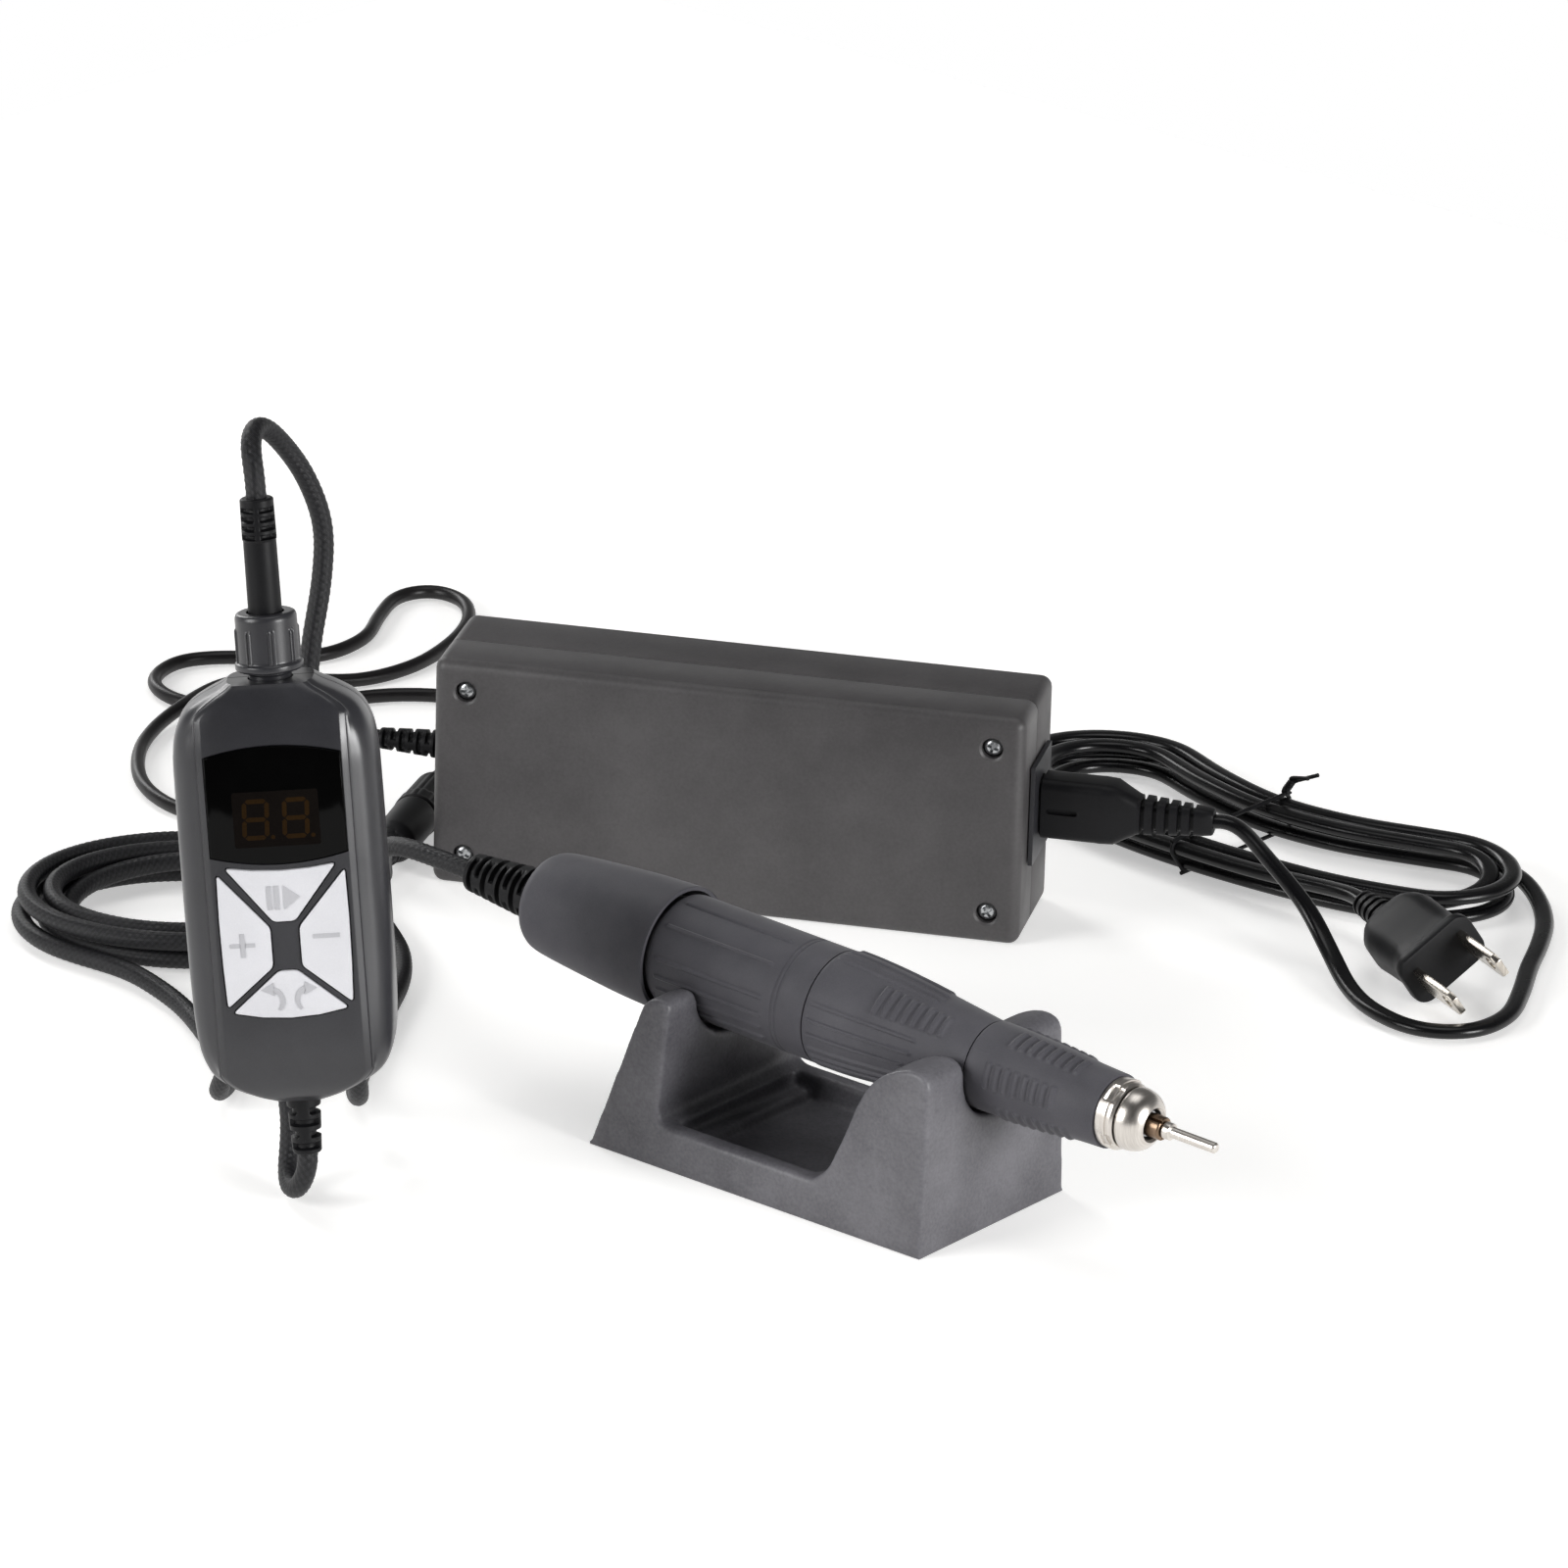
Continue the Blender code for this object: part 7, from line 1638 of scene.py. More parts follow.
    def bit(self) -> None:
        """Builds the collet's split head and the polished test bit."""
        bore = self.shank_radius + 0.305 * MM
        head = eased([(self.collet_head, bore), (self.collet_head, 2.5 * MM), (self.collet_end - 0.3 * MM, 2.5 * MM),
                      (self.collet_end, 2.2 * MM), (self.collet_end, bore)], 0.15 * MM)
        stem = [(self.collet_start, bore), (self.collet_start, 1.9 * MM), (self.collet_head, 1.9 * MM)]
        slit_turns = [math.tau * index / 3.0 + 0.6 for index in range(3)]

        def split(spot: Spot) -> float:
            """Sinks the three slits of the collet's head.

            Args:
                spot: A point of the skin.

            Returns:
                How far it is raised, which is below zero.
            """
            if spot.radius < 1.6 * MM:
                return 0.0
            return -0.7 * MM * bar(nearest_turn(spot.angle, slit_turns) * spot.radius, 0.22 * MM, 0.12 * MM)

        shape = lathed(divided([*stem, *head[1:]], 0.2 * MM), 120, split)
        self.keep("collet_head", shape, COLLET_STEEL, "collet", body="spindle")

        shank = self.shank_radius
        corners = [(self.bit_start, 0.0), (self.bit_start, shank), (self.bit_collar, shank),
                   *mm((0.0, 1.8), (0.3, 1.85), (1.6, 1.8), at=self.bit_collar), (self.bit_collar + 1.8 * MM, shank),
                   (self.bit_end - 0.4 * MM, shank), (self.bit_end, 0.8 * MM), (self.bit_end, 0.0)]
        self.turn("test_bit_polished", "test_bit", corners, NOSE_NICKEL, 64, 0.12 * MM, body="bit")

    def build(self) -> None:
        """Builds the handpiece from its boot to its bit."""
        self.boot()
        self.covers()
        self.nose()
        self.bit()


@dataclass
class Cradle(SubAssembly):
    """The moulded cradle that the handpiece lies in."""

    length: float = 0.0888
    width: float = 0.0487
    height: float = 0.0400
    side_draft: float = 0.0018
    sill: float = 0.0090
    floor: float = 0.0034
    ledge: float = 0.0056
    ledge_length: float = 0.0042
    sill_width: float = 0.0050
    tray_start_share: float = -0.540
    tray_end_share: float = 0.310
    overlap: float = 2.0 * MM
    saddle_clearance: float = 0.0004
    saddle_rows: int = 12
    saddle_steps: int = 24
    plate_margin: float = 0.0034
    plate_recess: float = 0.0023
    voxel: float = 0.48 * MM
    passes: int = 14
    crisp_foot: float = 0.7 * MM
    post_shares: tuple[tuple[float, float], ...] = (
        (-1.000, 0.000), (-0.710, 0.905), (-0.555, 0.935), (-0.598, 0.235), (0.345, 0.235))
    hump_shares: tuple[tuple[float, float], ...] = (
        (0.345, 0.235), (0.430, 0.330), (0.520, 0.560), (0.600, 0.775), (0.680, 0.890), (0.780, 0.965), (0.880, 1.000),
        (0.960, 0.985), (0.990, 0.930))
    # Radius of the handpiece at places along its axis, for the two saddles
    handpiece_radii: tuple[tuple[float, float], ...] = (
        (-0.050, 0.0129), (0.0021, 0.0129), (0.0104, 0.0127), (0.0205, 0.0119), (0.0305, 0.0109), (0.0423, 0.0098),
        (0.0480, 0.0097))

    def outline(self) -> Outline:
        """Draws the side: a raked post, a low sill and a round hump.

        Returns:
            The outline.
        """
        half = self.length / 2.0
        post, hump = [[(x * half, z * self.height) for x, z in shares]
                      for shares in (self.post_shares, self.hump_shares)]
        return [*eased(post, 3.2 * MM, steps=6), *curved(hump)[1:], (half, 0.0)]

    def radius_at(self, place: float) -> float:
        """Reads the handpiece's radius.

        Args:
            place: A place along its axis.

        Returns:
            The radius.
        """
        for (first, low), (second, high) in zip(self.handpiece_radii, self.handpiece_radii[1:]):
            if first <= place <= second:
                return low + (high - low) * (place - first) / (second - first)
        return self.handpiece_radii[-1][1]

    def saddle(self, start: float, end: float) -> Shape:
        """Makes the cutter of the groove that the handpiece is laid in from above.

        Args:
            start: Where the groove starts along the axis.
            end: Where it ends.

        Returns:
            The cutter.
        """
        rings = []
        for index in range(self.saddle_rows + 1):
            place = start + (end - start) * index / self.saddle_rows
            radius = self.radius_at(place) + self.saddle_clearance
            angles = [math.pi + math.pi * step / self.saddle_steps for step in range(self.saddle_steps + 1)]
            rings.append([Vector((place, -radius, self.height)),
                          *[Vector((place, radius * math.cos(angle), radius * math.sin(angle))) for angle in angles],
                          Vector((place, radius, self.height))])
        return moved(skinned(rings), HANDPIECE_PLACE)

    def build(self) -> None:
        """Builds the cradle's shell, with every edge rounded alike but for its crisp foot."""
        half = self.length / 2.0
        side = self.width / 2.0
        shape = slab(self.outline(), -side, side)
        for vert in shape.verts:
            vert.co.y *= (side - self.side_draft * vert.co.z / self.height) / side
        tray_start = self.tray_start_share * half
        tray_end = self.tray_end_share * half
        inside = side - self.sill_width
        ledge_end = tray_start + self.ledge_length
        top = self.sill + self.overlap
        recess = self.plate_margin
        cutters = [box((ledge_end, -inside, self.floor), (tray_end, inside, top)),
                   box((tray_start, -inside, self.ledge), (ledge_end + 1.0 * MM, inside, top)),
                   self.saddle(-half - self.overlap, tray_start + self.overlap),
                   self.saddle(tray_end, half + self.overlap),
                   box((recess - half, recess - side, -self.overlap),
                       (half - recess, side - recess, self.plate_recess))]
        shape = modified(carved(shape, cutters), "REMESH", [{"mode": "VOXEL", "voxel_size": self.voxel}])
        free = [vert for vert in shape.verts if vert.co.z > self.crisp_foot]
        for _ in range(self.passes):
            bmesh.ops.smooth_vert(shape, verts=free, factor=0.5, use_axis_x=True, use_axis_y=True, use_axis_z=True)
        self.keep("cradle_moulding", shape, CRADLE_ABS, "cradle_shell", smooth_deg=ALL_SMOOTH_DEG)


@dataclass
class Controller(SubAssembly):
    """The hand-held controller: two shells, a window, four keys, a screwed plug and a boot."""

    height: float = 0.0880
    half_width: float = 0.0210
    front_depth: float = 0.0120
    rear_depth: float = 0.0120
    seam: float = 0.0010
    wall: float = 0.0018
    overlap: float = 2.0 * MM
    panel_half: float = 0.0142
    panel_step: float = 0.0007
    neck_hole: float = 4.7 * MM
    boot_hole: float = 3.3 * MM
    screw_hole: float = 2.4 * MM
    screw_depth: float = 3.0 * MM
    screw_height: float = 10.8 * MM
    hole_depth: float = 4.0 * MM
    # How far a cutter stands out of the skin that it cuts
    past: float = 2.0 * MM
    level_steps: int = 7
    # Share of the height, of the half width and of the depth at each level
    levels: tuple[tuple[float, float, float], ...] = (
        (0.000, 0.24, 0.50), (0.020, 0.47, 0.70), (0.052, 0.75, 0.86), (0.095, 0.90, 0.94), (0.180, 0.975, 1.00),
        (0.380, 1.00, 1.00), (0.750, 1.00, 1.00), (0.850, 0.985, 0.985), (0.905, 0.930, 0.935),
        (0.942, 0.830, 0.870), (0.968, 0.670, 0.780), (0.988, 0.500, 0.680), (1.000, 0.420, 0.600))
    window_half: float = 0.0139
    window_bottom: float = 0.0536
    window_top: float = 0.0742
    window_arc: float = 0.0019
    window_thick: float = 0.0010
    window_proud: float = 0.0002
    display_width: float = 17.6 * MM
    display_height: float = 11.6 * MM
    digit_height: float = 7.6 * MM
    digit_width: float = 4.6 * MM
    digit_bar: float = 0.95 * MM
    digit_gap: float = 0.15 * MM
    digit_centre: float = 0.0611
    digit_places: tuple[float, float] = (-0.0042, 0.0040)
    digit_slant: float = 0.05
    keypad_centre: float = 0.0360
    keypad_half_width: float = 0.0131
    keypad_half_height: float = 0.0152
    key_proud: float = 0.0006
    key_back: float = 0.0030
    sign_proud: float = 0.16 * MM
    sign_bar_mm: float = 0.85
    nut_bottom: float = 0.0897
    nut_top: float = 0.1017
    plug_start: float = 0.0950
    plug_top: float = 0.1166
    relief_top: float = 0.1253

    def half_shell(self, section: Callable[[float, float, float], Outline], depth: float, inset: float,
                   seam: float) -> Shape:
        """Skins one half of the housing, from its foot to its top.

        Args:
            section: Gives a level's outline from its half width, its depth and the seam's place.
            depth: The depth of this half.
            inset: How far the skin lies inside the outer one.
            seam: Where the seam is.

        Returns:
            The closed shape.
        """
        tall = self.height - 2.0 * inset
        return skinned([[Vector((x, y, inset + level * tall))
                         for x, y in section(self.half_width * width - inset, depth * deep - inset, seam)]
                        for level, width, deep in smoothed(self.levels, self.level_steps if inset == 0.0 else 1)])

    def front_section(self, half: float, depth: float, seam: float) -> Outline:
        """Draws one level of the front shell: round shoulders and a raised flat panel.

        Args:
            half: Half its width.
            depth: Its depth.
            seam: Where the seam is.

        Returns:
            The outline.
        """
        panel = min(self.panel_half, 0.78 * half)
        step = self.panel_step * depth / self.front_depth
        shoulder = curved([(half, seam), (half, -0.28 * depth), (0.970 * half, -0.56 * depth),
                           (0.88 * half, -0.76 * depth), (panel + 2.6 * step, -depth + 2.15 * step)], 5)
        rise = [(panel + across * step, -depth + up * step)
                for across, up in ((2.1, 1.95), (1.8, 1.20), (0.22, 0.16), (-0.22, 0.0))]
        return mirrored([*shoulder, *rise, *[(panel * share, -depth) for share in (0.75, 0.5, 0.25)]], -depth)

    def rear_section(self, half: float, depth: float, seam: float) -> Outline:
        """Draws one level of the rear shell: a plain rounded back.

        Args:
            half: Half its width.
            depth: Its depth.
            seam: Where the seam is.

        Returns:
            The outline.
        """
        right = curved([(half, seam), (half, 0.30 * depth), (0.965 * half, 0.62 * depth),
                        (0.86 * half, 0.88 * depth), (0.66 * half, depth)], 5)
        return mirrored([*right, *[(half * share, depth) for share in (0.50, 0.33, 0.16)]], depth)

    def window_outline(self) -> Outline:
        """Draws the window: straight sides, arched top and bottom.

        Returns:
            The outline.
        """
        shares = [index / 8.0 - 1.0 for index in range(17)]
        arc = [(share, self.window_arc * (1.0 - share * share)) for share in shares]
        return [*[(self.window_half * share, self.window_bottom - bow) for share, bow in arc],
                *[(self.window_half * share, self.window_top + bow) for share, bow in reversed(arc)]]

    def key_outlines(self) -> dict[str, Outline]:
        """Draws each key on the panel, with small round corners.

        Returns:
            The outline of each key by its name.
        """
        side = ((1.0, 0.915), (0.23, 0.151), (0.23, -0.388), (0.975, -0.925), (1.0, -0.40), (1.012, 0.25))
        shares = {
            "run_pause": ((-0.864, 1.0), (-0.17, 0.237), (0.17, 0.237), (0.864, 1.0), (0.45, 0.953), (0.0, 0.935),
                          (-0.45, 0.953)),
            "minus": side,
            "plus": tuple((-x, z) for x, z in side),
            "direction": ((-0.90, -1.0), (-0.144, -0.447), (0.144, -0.447), (0.90, -1.0), (0.45, -1.075),
                          (0.0, -1.10), (-0.45, -1.075)),
        }
        return {name: eased([(x * self.keypad_half_width, self.keypad_centre + z * self.keypad_half_height)
                             for x, z in points], 0.9 * MM, True, 4) for name, points in shares.items()}

    def end_holes(self) -> list[Shape]:
        """Makes the cutters of the holes for the neck and the boot."""
        return [drill(self.height - self.hole_depth, self.height + self.past, self.neck_hole, 48, UPRIGHT),
                drill(-self.past, self.hole_depth, self.boot_hole, 48, UPRIGHT)]

    def housing(self) -> None:
        """Builds the two shells with the seats of the window and the keys cut in the front one."""
        face = -self.front_depth
        keys = [slab(spread(outline, GAP), face - self.past, face + self.hole_depth)
                for outline in self.key_outlines().values()]
        cutters = [self.half_shell(self.front_section, self.front_depth, self.wall, self.seam + self.overlap),
                   slab(spread(self.window_outline(), GAP), face - self.past, face + self.window_thick),
                   *keys, *self.end_holes()]
        front = self.half_shell(self.front_section, self.front_depth, 0.0, self.seam)
        self.keep("controller_front", carved(front, cutters), HOUSING_ABS, "controller_front_shell")
        seam = self.seam + GAP
        stand = Matrix.Translation((0.0, 0.0, self.screw_height)) @ INWARDS
        cutters = [self.half_shell(self.rear_section, self.rear_depth, self.wall, seam - self.overlap),
                   *self.end_holes(),
                   drill(self.rear_depth - self.screw_depth, self.rear_depth + self.past, self.screw_hole, 40, stand)]
        rear = self.half_shell(self.rear_section, self.rear_depth, 0.0, seam)
        self.keep("controller_rear", carved(rear, cutters), HOUSING_ABS, "controller_rear_shell")

    def window(self) -> None:
        """Builds the glossy window with the panel and the unlit digits behind it."""
        face = -self.front_depth - self.window_proud
        lens = slab(self.window_outline(), face, face + self.window_thick, 0.15 * MM)
        self.keep("display_lens", lens, WINDOW_ACRYLIC, "display_window")
        outline = rounded_rectangle(self.display_width, self.display_height, 0.5 * MM)
        outline = shifted(outline, 0.0, self.digit_centre)
        self.keep("display_panel", slab(outline, face - 0.01 * MM, face + 0.2 * MM), PANEL_SMOKED)
        front = face - 0.02 * MM
        bars = [slab(shifted(outline, place, self.digit_centre), front, front + 0.15 * MM)
                for place in self.digit_places for outline in self.digit()]
        self.keep("display_digits", together(bars), SEGMENT_AMBER)

    def digit(self) -> list[Outline]:
        """Draws the seven segments and the point of one digit, centred on zero.

        Returns:
            The outlines.
        """
        half = self.digit_width / 2.0
        tall = self.digit_height / 2.0
        thick = self.digit_bar / 2.0
        lines = [((-half, tall), (half, tall)), ((-half, 0.0), (half, 0.0)), ((-half, -tall), (half, -tall)),
                 ((-half, 0.0), (-half, tall)), ((half, 0.0), (half, tall)), ((-half, -tall), (-half, 0.0)),
                 ((half, -tall), (half, 0.0))]
        outlines = []
        for first, second in lines:
            way = (Vector(second) - Vector(first)).normalized()
            start = Vector(first) + way * self.digit_gap
            end = Vector(second) - way * self.digit_gap
            side = Vector((-way.y, way.x)) * thick
            corners = [start, start + way * thick + side, end - way * thick + side, end, end - way * thick - side,
                       start + way * thick - side]
            outlines.append([(point.x + self.digit_slant * point.y, point.y) for point in corners])
        spot = rounded_rectangle(0.9 * MM, 0.9 * MM, 0.45 * MM)
        return [*outlines, shifted(spot, half + 1.0 * MM, -tall)]

    def signs(self) -> dict[str, list[Outline]]:
        """Draws the sign on each key, counted from the middle of the keypad.

        Returns:
            The outlines of each sign by its key's name.
        """
        thin = self.sign_bar_mm
        # The centre, width and height of each bar, in millimetres
        bars = {"run_pause": ((-2.65, 8.7, 0.9, 5.0), (-1.15, 8.7, 0.9, 5.0)),
                "plus": ((-8.8, -1.0, thin, 5.0), (-10.4, -1.0, 1.9, thin), (-7.2, -1.0, 1.9, thin)),
                "minus": ((8.4, 0.2, 5.4, thin),)}
        signs = {name: [mm(*[(x + across * width / 2.0, z + up * tall / 2.0)
                             for across, up in ((-1.0, -1.0), (1.0, -1.0), (1.0, 1.0), (-1.0, 1.0))])
                        for x, z, width, tall in shapes] for name, shapes in bars.items()}
        signs["run_pause"].append(mm((0.3, 6.2), (3.6, 8.7), (0.3, 11.2)))
        arc = [(math.radians(225.0 - 115.0 * index / 12.0), (0.30 + 0.28 * index / 12.0)) for index in range(13)]
        outer, inner = [[((2.6 + side * thick) * math.cos(angle), (2.6 + side * thick) * math.sin(angle))
                         for angle, thick in arc] for side in (1.0, -1.0)]
        head = [(-1.0, 1.1), (1.6, 2.4), (-0.9, 3.9)]
        signs["direction"] = [mm(*[(side * (x + 4.1), z - 13.0) for x, z in outline])
                              for side in (1.0, -1.0) for outline in ([*outer, *reversed(inner)], head)]
        return signs

    def keys(self) -> None:
        """Builds the four keys, each with its raised sign."""
        face = -self.front_depth - self.key_proud
        signs = self.signs()
        for name, outline in self.key_outlines().items():
            key = slab(outline, face, face + self.key_back, 0.35 * MM)
            self.keep(f"key_{name}", key, KEY_SILICONE, f"button_{name}", body=f"{name}_key")
            shapes = [slab(shifted(sign, 0.0, self.keypad_centre), face - self.sign_proud, face + 0.2 * MM)
                      for sign in signs[name]]
            # The signs are painted a darker grey: painted shade of their relief.
            self.keep(f"sign_{name}", together(shapes), SIGN_SILICONE_PAINTED_SHADE, body=f"{name}_key")

    def nut_and_plug(self) -> None:
        """Builds the threaded neck, the coupling nut with its grips and the supply plug."""
        corners = mm((-2.0, 3.2), (-2.0, 4.4), (0.9, 4.4), (1.1, 4.9), (1.6, 4.9), (1.8, 4.4), (9.5, 4.4), (9.5, 3.2),
                     at=self.height)
        self.turn("threaded_neck", "threaded_socket", corners, HOUSING_ABS, 64, 0.15 * MM, stand=UPRIGHT)
        corners = [*mm((0.0, 5.0), (0.0, 6.6), (0.4, 7.0), (1.5, 7.0), (1.9, 6.35), at=self.nut_bottom),
                   *mm((-1.0, 6.35), (-0.3, 6.1), (0.0, 5.5), (0.0, 3.9), (-1.4, 3.9), (-1.4, 5.0), at=self.nut_top)]
        grip_turns = [math.tau * index / 8.0 + 0.2 for index in range(8)]

        def grips(spot: Spot) -> float:
            """Raises the nut's grips, each a pair of thin lines.

            Args:
                spot: A point of the skin.

            Returns:
                How far it is raised.
            """
            if spot.radius < 6.0 * MM:
                return 0.0
            along = bar(spot.place - (self.nut_bottom + self.nut_top) / 2.0 + 0.7 * MM, 3.4 * MM, 0.5 * MM)
            beside = nearest_turn(spot.angle, grip_turns) * spot.radius
            return 0.30 * MM * along * bar(beside - 0.42 * MM, 0.20 * MM, 0.22 * MM)

        self.turn("coupling_nut_gripped", "coupling_nut", corners, HOUSING_ABS, 288, 0.25 * MM, 0.3 * MM, grips,
                  UPRIGHT, "nut")
        corners = [*mm((0.0, 0.0), (0.0, 3.5), at=self.plug_start), *mm((0.0, 3.4), (0.15, 3.55), at=self.plug_top),
                   *mm((-0.3, 3.45), (0.0, 3.1), (0.0, 0.0), at=self.relief_top)]
        slots = webbed(self.plug_top + 0.35 * MM, 1.85 * MM, 4, 1.0 * MM, 0.0, 4, 0.20)
        self.turn("supply_plug_body", "supply_plug", corners, BOOT_PVC, 128, 0.15 * MM, 0.2 * MM, slots, UPRIGHT)

    def boot(self) -> None:
        """Builds the slotted boot at the foot."""
        corners = mm((-12.5, 0.0), (-12.5, 2.7), (-12.2, 3.0), (-0.3, 3.6), (-0.3, 3.0), (4.3, 3.0), (4.3, 0.0))
        slots = webbed(-11.4 * MM, 2.5 * MM, 4, 1.0 * MM, web_half=0.45)
        self.turn("controller_boot", "controller_strain_relief", corners, BOOT_PVC, 96, 0.25 * MM, 0.2 * MM, slots,
                  UPRIGHT)

    def build(self) -> None:
        """Builds the controller."""
        self.housing()
        self.window()
        self.keys()
        self.nut_and_plug()
        self.boot()


@dataclass
class Adapter(SubAssembly):
    """The power adapter, standing on its long edge, with its mains connector."""

    length: float = 0.1340
    height: float = 0.0535
    depth: float = 0.0317
    seam: float = 0.0136
    edge: float = 2.6 * MM
    seam_edge: float = 0.22 * MM
    screw_inset: float = 7.3 * MM
    screw_sunk: float = 1.1 * MM
    cross_half: float = 0.32 * MM
    hole_radius: float = 2.4 * MM
    hole_depth: float = 3.0 * MM
    inlet_height: float = 0.0285
    inlet_half: tuple[float, float, float] = (2.0 * MM, 6.3 * MM, 9.3 * MM)
    cord_height: float = 0.0270
    shoulder: float = 0.1356
    connector_height_mm: float = 14.0
    connector_depth_mm: float = 9.2
    connector_end_mm: float = 16.5
    taper_end_mm: float = 22.0
    tail_end_mm: float = 38.5

    def screw_places(self) -> list[tuple[float, float]]:
        """Returns the four screw centres on the face."""
        inset = self.screw_inset
        return [(x, z) for x in (inset, self.length - inset) for z in (inset, self.height - inset)]

    def half(self, face: float, seam: float) -> Shape:
        """Makes one half of the case with its outer edges rounded and its seam eased.

        Args:
            face: The y of its closed face.
            seam: The y of its rim.

        Returns:
            The shape.
        """
        shape = box((0.0, min(face, seam), 0.0), (self.length, max(face, seam), self.height))
        on_seam = 0.01 * MM
        soften(shape, self.edge, 6, lambda edge: max(abs(vert.co.y - seam) for vert in edge.verts) > on_seam)
        soften(shape, self.seam_edge, 2, lambda edge: all(abs(vert.co.y - seam) < on_seam for vert in edge.verts))
        for way, place in (((1.0, 0.0, 0.0), self.length / 2.0), ((0.0, 0.0, 1.0), self.height / 2.0)):
            bmesh.ops.bisect_plane(shape, geom=[*shape.verts, *shape.edges, *shape.faces], dist=MERGE,
                                   plane_co=Vector(way) * place, plane_no=way)
        return shape

    def case(self) -> None:
        """Builds both halves of the case, with the screw seats and the opening for the connector."""
        seat = [(-0.4 * MM, 0.0), (-0.4 * MM, self.hole_radius + 1.1 * MM), (0.35 * MM, self.hole_radius),
                (self.hole_depth, self.hole_radius), (self.hole_depth, 0.0)]
        seats = [moved(lathed(seat, 48), Matrix.Translation((x, 0.0, z)) @ INWARDS) for x, z in self.screw_places()]
        centre = Vector((self.length, self.depth / 2.0, self.inlet_height))
        reach = Vector(self.inlet_half)
        for name, face, seam, cutters in (("front", 0.0, self.seam, seats),
                                          ("rear", self.depth, self.seam + GAP, [])):
            shape = carved(self.half(face, seam), [*cutters, box(centre - reach, centre + reach)])
            self.keep(f"adapter_{name}", shape, ADAPTER_PC, f"adapter_{name}_shell")

    def screws(self) -> None:
        """Builds the four pan-head screws with their cross recesses."""
        top = self.screw_sunk
        head = [(top - 0.3 * MM, 0.0), (top - 0.25 * MM, 1.0 * MM), (top, 1.6 * MM), (top + 0.45 * MM, 2.0 * MM),
                (2.7 * MM, 2.0 * MM), (2.7 * MM, 0.0)]
        wide = self.cross_half
        for index, (x, z) in enumerate(self.screw_places()):
            slots = [moved(box((-1.3 * MM, -1.0 * MM, -wide), (1.3 * MM, top + 0.7 * MM, wide)),
                           Matrix.Rotation(0.5 + index + turn, 4, "Y")) for turn in (0.0, math.pi / 2.0)]
            shape = carved(moved(lathed(head, 40), INWARDS), slots)
            moved(shape, Matrix.Translation((x, 0.0, z)))
            self.keep(f"adapter_screw_head_{index + 1}", shape, SCREW_STEEL, f"adapter_screw_{index + 1}")

    def connector(self) -> None:
        """Builds the mains connector with its grip slots, its ribbed tail and the nose in the inlet."""
        deep = self.connector_depth_mm
        tall = self.connector_height_mm
        end = self.connector_end_mm
        taper = self.taper_end_mm
        last = self.tail_end_mm
        # The place, depth, height and corner radius of each section, in millimetres
        sections = [(place, deep * across, tall * up, 2.2) for place, across, up in (
            (0.0, 0.94, 0.92), (0.3, 1.0, 1.0), (end - 4.0, 1.0, 1.0), (end - 3.0, 1.03, 1.0), (end, 1.0, 0.98))]
        sections += [(end + 2.8, deep * 0.88, tall * 0.78, 2.4), (taper - 0.6, 7.4, 8.8, 2.4), (taper, 7.0, 8.3, 2.2)]
        pitch = (last - taper) / 6.0
        for index in range(5):
            start = taper + 0.3 + pitch * index
            for offset, scale in ((0.0, 1.0), (0.12, 0.76), (0.9, 0.76), (1.02, 1.0), (pitch - 0.02, 0.98)):
                share = (1.0 - 0.28 * index / 5.0) * scale
                sections.append((start + offset, 7.0 * share, 8.3 * share, 2.1 * share))
        sections += [(last - 0.3, 4.9, 5.8, 1.6), (last, 4.5, 5.4, 1.5)]
        centre = Vector((self.shoulder, self.depth / 2.0, self.inlet_height))
        slots = []
        for side in (1.0, -1.0):
            place = centre + Vector((5.0 * MM, side * deep * MM / 2.0, 0.0))
            outline = rounded_rectangle(7.0 * MM, 1.3 * MM, 0.6 * MM)
            slots.append(moved(slab(outline, -0.9 * MM, 0.9 * MM), Matrix.Translation(place)))
        self.keep("mains_connector_body", carved(ringed(sections, centre), slots), BOOT_PVC, "mains_connector",
                  slot="adapter_plastic")
        low, high = mm((-7.6, -3.7, -6.6), (1.0, 3.7, 6.6))
        nose = soften(box(low, high), 3.0 * MM, 5,
                      lambda edge: abs(edge.verts[0].co.x - edge.verts[1].co.x) > 1.0 * MM)
        self.keep("mains_connector_nose", moved(nose, Matrix.Translation(centre)), BOOT_PVC, slot="adapter_plastic")

    def gland(self) -> None:
        """Builds the ribbed gland of the supply cord."""
        corners = mm((-16.3, 0.0), (-16.3, 2.1), (-16.0, 2.4), (-0.3, 3.4), (2.6, 3.4), (2.6, 0.0))
        slots = webbed(-15.2 * MM, 2.0 * MM, 7, 0.75 * MM)
        self.turn("adapter_gland", "adapter_strain_relief", corners, BOOT_PVC, 72, 0.25 * MM, 0.2 * MM, slots,
                  Matrix.Translation((0.0, self.depth / 2.0, self.cord_height)))

    def build(self) -> None:
        """Builds the adapter."""
        self.case()
        self.screws()
        self.connector()
        self.gland()


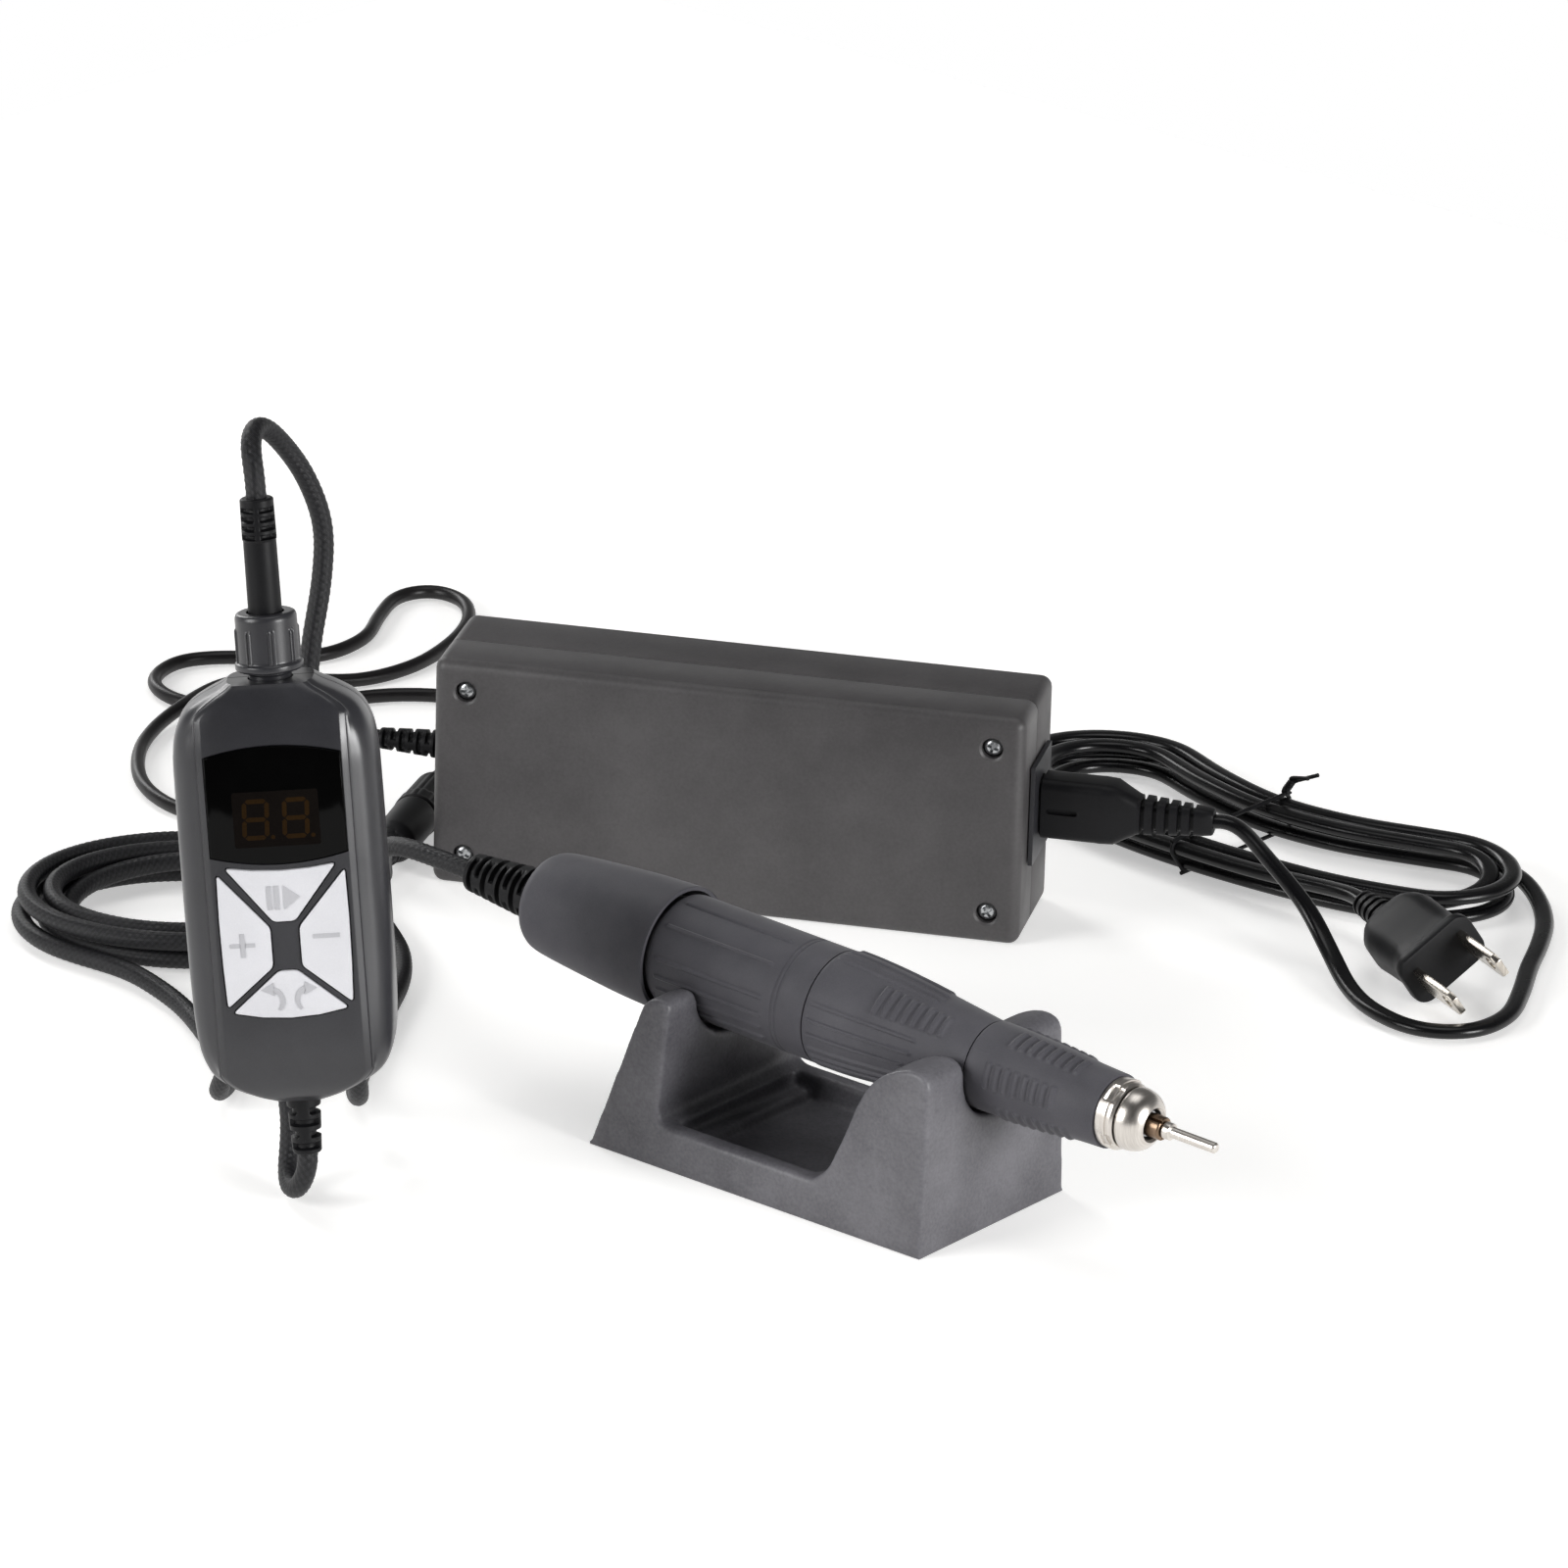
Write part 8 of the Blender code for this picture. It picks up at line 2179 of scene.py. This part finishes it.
@dataclass
class InnerParts:
    """The CAD nodes that keep their own mesh: they get a finish only."""

    finishes: tuple[tuple[Finish, tuple[str, ...]], ...] = (
        (HOUSING_ABS, ("mains_inlet",)),
        (CRADLE_ABS, ("cradle_base_plate",)),
        (INNER_NYLON, ("brush_gear", "display_module")),
        (BOOT_PVC, ("switch_mat",)),
        (MOTOR_STEEL, ("motor_can", "rotor", "front_bearing", "rear_bearing", "spindle_shaft", "collet_pusher")),
        (SCREW_STEEL, ("housing_screw", "inlet_pins")),
        (COUPLER_BRASS, ("drive_coupler",)),
        (BARREL_ALUMINIUM, ("spindle_barrel",)),
        (BOARD_EPOXY, ("circuit_board", "adapter_board")),
        (CORE_FERRITE, ("transformer",)),
    )

    def build(self) -> None:
        """Dresses each node."""
        for finish, names in self.finishes:
            for name in names:
                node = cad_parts[name]
                node.data.materials.clear()
                node.data.materials.append(finish.material())
                LOG.info("%s keeps its mesh and takes %s", name, finish.name)


@dataclass
class Studio:
    """The camera at the photograph's view, the pale floor and the soft lights."""

    camera_place: tuple[float, float, float] = (1.18569542, -1.5058096, 0.83423965)
    camera_right: tuple[float, float, float] = (0.7751722, 0.63116399, 0.02720441)
    camera_up: tuple[float, float, float] = (-0.24941839, 0.26619456, 0.93109125)
    lens_mm: float = 229.02
    sensor_mm: float = 36.0
    clip: tuple[float, float] = (0.1, 50.0)
    floor_half: float = 0.62
    floor_shade: str = "#f4f3f1"
    floor_roughness: float = 0.9
    floor_specular: float = 0.1
    floor_lift: float = 0.45
    room_light: float = 0.11
    # The way to the white backdrop, how its edges fade, and how dim the rest of the room is in a mirror
    backdrop_way: tuple[float, float, float] = (-0.6275, 0.7786, 0.0)
    backdrop_fade: tuple[float, float] = (-0.20, 0.35)
    backdrop_top: tuple[float, float] = (0.08, 0.30)
    room_dim: float = 0.12
    aim: tuple[float, float, float] = (-0.06, 0.04, 0.03)
    # Place, width, height and power of each soft box, in metres and watts
    lamps: tuple[tuple[tuple[float, float, float], float, float, float], ...] = (
        ((1.90, 0.00, 0.50), 0.7, 0.6, 32.0),
        ((-0.75, -1.60, 0.75), 0.9, 1.0, 24.0),
        ((-0.10, 0.20, 1.80), 1.0, 1.0, 5.0),
        ((-1.50, 0.50, 0.80), 0.4, 1.0, 8.0),
    )

    def hang(self, name: str, data: bpy.types.ID) -> bpy.types.Object:
        """Puts a camera or a lamp in the scene.

        Args:
            name: The object's name.
            data: The camera or the lamp.

        Returns:
            The object.
        """
        made = bpy.data.objects.new(name, data)
        bpy.context.scene.collection.objects.link(made)
        return made

    def camera(self) -> None:
        """Puts the camera where the photograph was taken from."""
        data = bpy.data.cameras.new("camera")
        data.lens = self.lens_mm
        data.sensor_width = self.sensor_mm
        data.clip_start, data.clip_end = self.clip
        made = self.hang("camera", data)
        right = Vector(self.camera_right)
        up = Vector(self.camera_up)
        turn = Matrix((right, up, right.cross(up))).transposed().to_4x4()
        made.matrix_world = Matrix.Translation(self.camera_place) @ turn
        bpy.context.scene.camera = made

    def lights(self) -> None:
        """Hangs the soft boxes."""
        for index, (place, width, height, power) in enumerate(self.lamps):
            data = bpy.data.lights.new(f"soft_box_{index}", "AREA")
            data.shape = "RECTANGLE"
            data.size = width
            data.size_y = height
            data.energy = power
            made = self.hang(f"soft_box_{index}", data)
            made.location = place
            made.rotation_euler = (Vector(self.aim) - Vector(place)).to_track_quat("-Z", "Y").to_euler()

    def any_ray(self, tree: bpy.types.NodeTree, *kinds: str) -> Socket:
        """Tells whether a ray is of any of some kinds.

        Args:
            tree: The node tree.
            kinds: The names of the kinds, as outputs of the light path.

        Returns:
            The socket that says it.
        """
        path = add_node(tree, "LightPath", {})
        share = path.outputs[kinds[0]]
        for kind in kinds[1:]:
            share = add_node(tree, "Math", {"operation": "MAXIMUM", 0: share, 1: path.outputs[kind]}).outputs["Value"]
        return share

    def backdrop(self, tree: bpy.types.NodeTree) -> Socket:
        """Works out how bright the room is towards each side: white at the backdrop, dim elsewhere.

        Args:
            tree: The world's node tree.

        Returns:
            The socket of the brightness.
        """
        way = add_node(tree, "TexCoord", {}).outputs["Generated"]
        height = add_node(tree, "SeparateXYZ", {0: way}).outputs["Z"]
        side = add_node(tree, "VectorMath", {"operation": "DOT_PRODUCT", 0: way, 1: self.backdrop_way}).outputs[1]
        shares = [add_node(tree, "MapRange", {"interpolation_type": "SMOOTHSTEP", "Value": value, "From Min": low,
                                              "From Max": high, "To Min": first, "To Max": last}).outputs["Result"]
                  for value, (low, high), first, last in ((height, self.backdrop_top, 1.0, self.room_dim),
                                                          (side, self.backdrop_fade, self.room_dim, 1.0))]
        return add_node(tree, "Math", {"operation": "MULTIPLY", 0: shares[0], 1: shares[1]}).outputs["Value"]

    def room(self) -> None:
        """Sets the even light of the room, which mirrors and glass see white at the backdrop only."""
        world = bpy.data.worlds.new("room")
        bpy.context.scene.world = world
        world.use_nodes = True
        tree = world.node_tree
        white = linear("#ffffff")
        soft, mirrored_room, straight = [
            add_node(tree, "Background", {"Color": white, "Strength": strength}).outputs[0]
            for strength in (self.room_light, self.backdrop(tree), 1.0)]
        clear = self.any_ray(tree, "Is Glossy Ray", "Is Transmission Ray")
        room = add_node(tree, "MixShader", {0: clear, 1: soft, 2: mirrored_room}).outputs[0]
        mixed = add_node(tree, "MixShader", {0: self.any_ray(tree, "Is Camera Ray"), 1: room, 2: straight})
        tree.links.new(mixed.outputs[0], tree.nodes["World Output"].inputs["Surface"])

    def floor(self) -> None:
        """Lays a plain pale floor that takes the set's soft shadow."""
        shape = bmesh.new()
        bmesh.ops.create_grid(shape, x_segments=4, y_segments=4, size=self.floor_half)
        made = as_object("floor", shape)
        material = bpy.data.materials.new("paper_white")
        material.use_nodes = True
        tree = material.node_tree
        shader = tree.nodes["Principled BSDF"]
        shader.inputs["Base Color"].default_value = linear(self.floor_shade)
        shader.inputs["Roughness"].default_value = self.floor_roughness
        shader.inputs["Specular IOR Level"].default_value = self.floor_specular
        lift = add_node(tree, "Emission", {"Color": linear("#ffffff"), "Strength": self.floor_lift})
        both = add_node(tree, "AddShader", {0: shader.outputs[0], 1: lift.outputs[0]})
        seen = self.any_ray(tree, "Is Camera Ray", "Is Glossy Ray", "Is Transmission Ray")
        mixed = add_node(tree, "MixShader", {0: seen, 1: shader.outputs[0], 2: both.outputs[0]})
        tree.links.new(mixed.outputs[0], tree.nodes["Material Output"].inputs["Surface"])
        made.data.materials.append(material)

    def build(self) -> None:
        """Sets up the whole studio."""
        self.camera()
        self.lights()
        self.room()
        self.floor()
        bpy.context.scene.view_settings.view_transform = "Standard"


def main() -> None:
    """Builds the studio and dresses every sub-assembly."""
    logging.basicConfig(level=logging.INFO, format="%(name)s: %(message)s")
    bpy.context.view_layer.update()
    Studio().build()
    HandpieceCord().build()
    SupplyCords().build()
    MainsCord().build()
    Handpiece(HANDPIECE_PLACE).build()
    Cradle(WORLD_PLACE).build()
    Controller(CONTROLLER_PLACE).build()
    Adapter(ADAPTER_PLACE).build()
    InnerParts().build()
    bpy.context.view_layer.update()


if __name__ == "__main__":
    main()
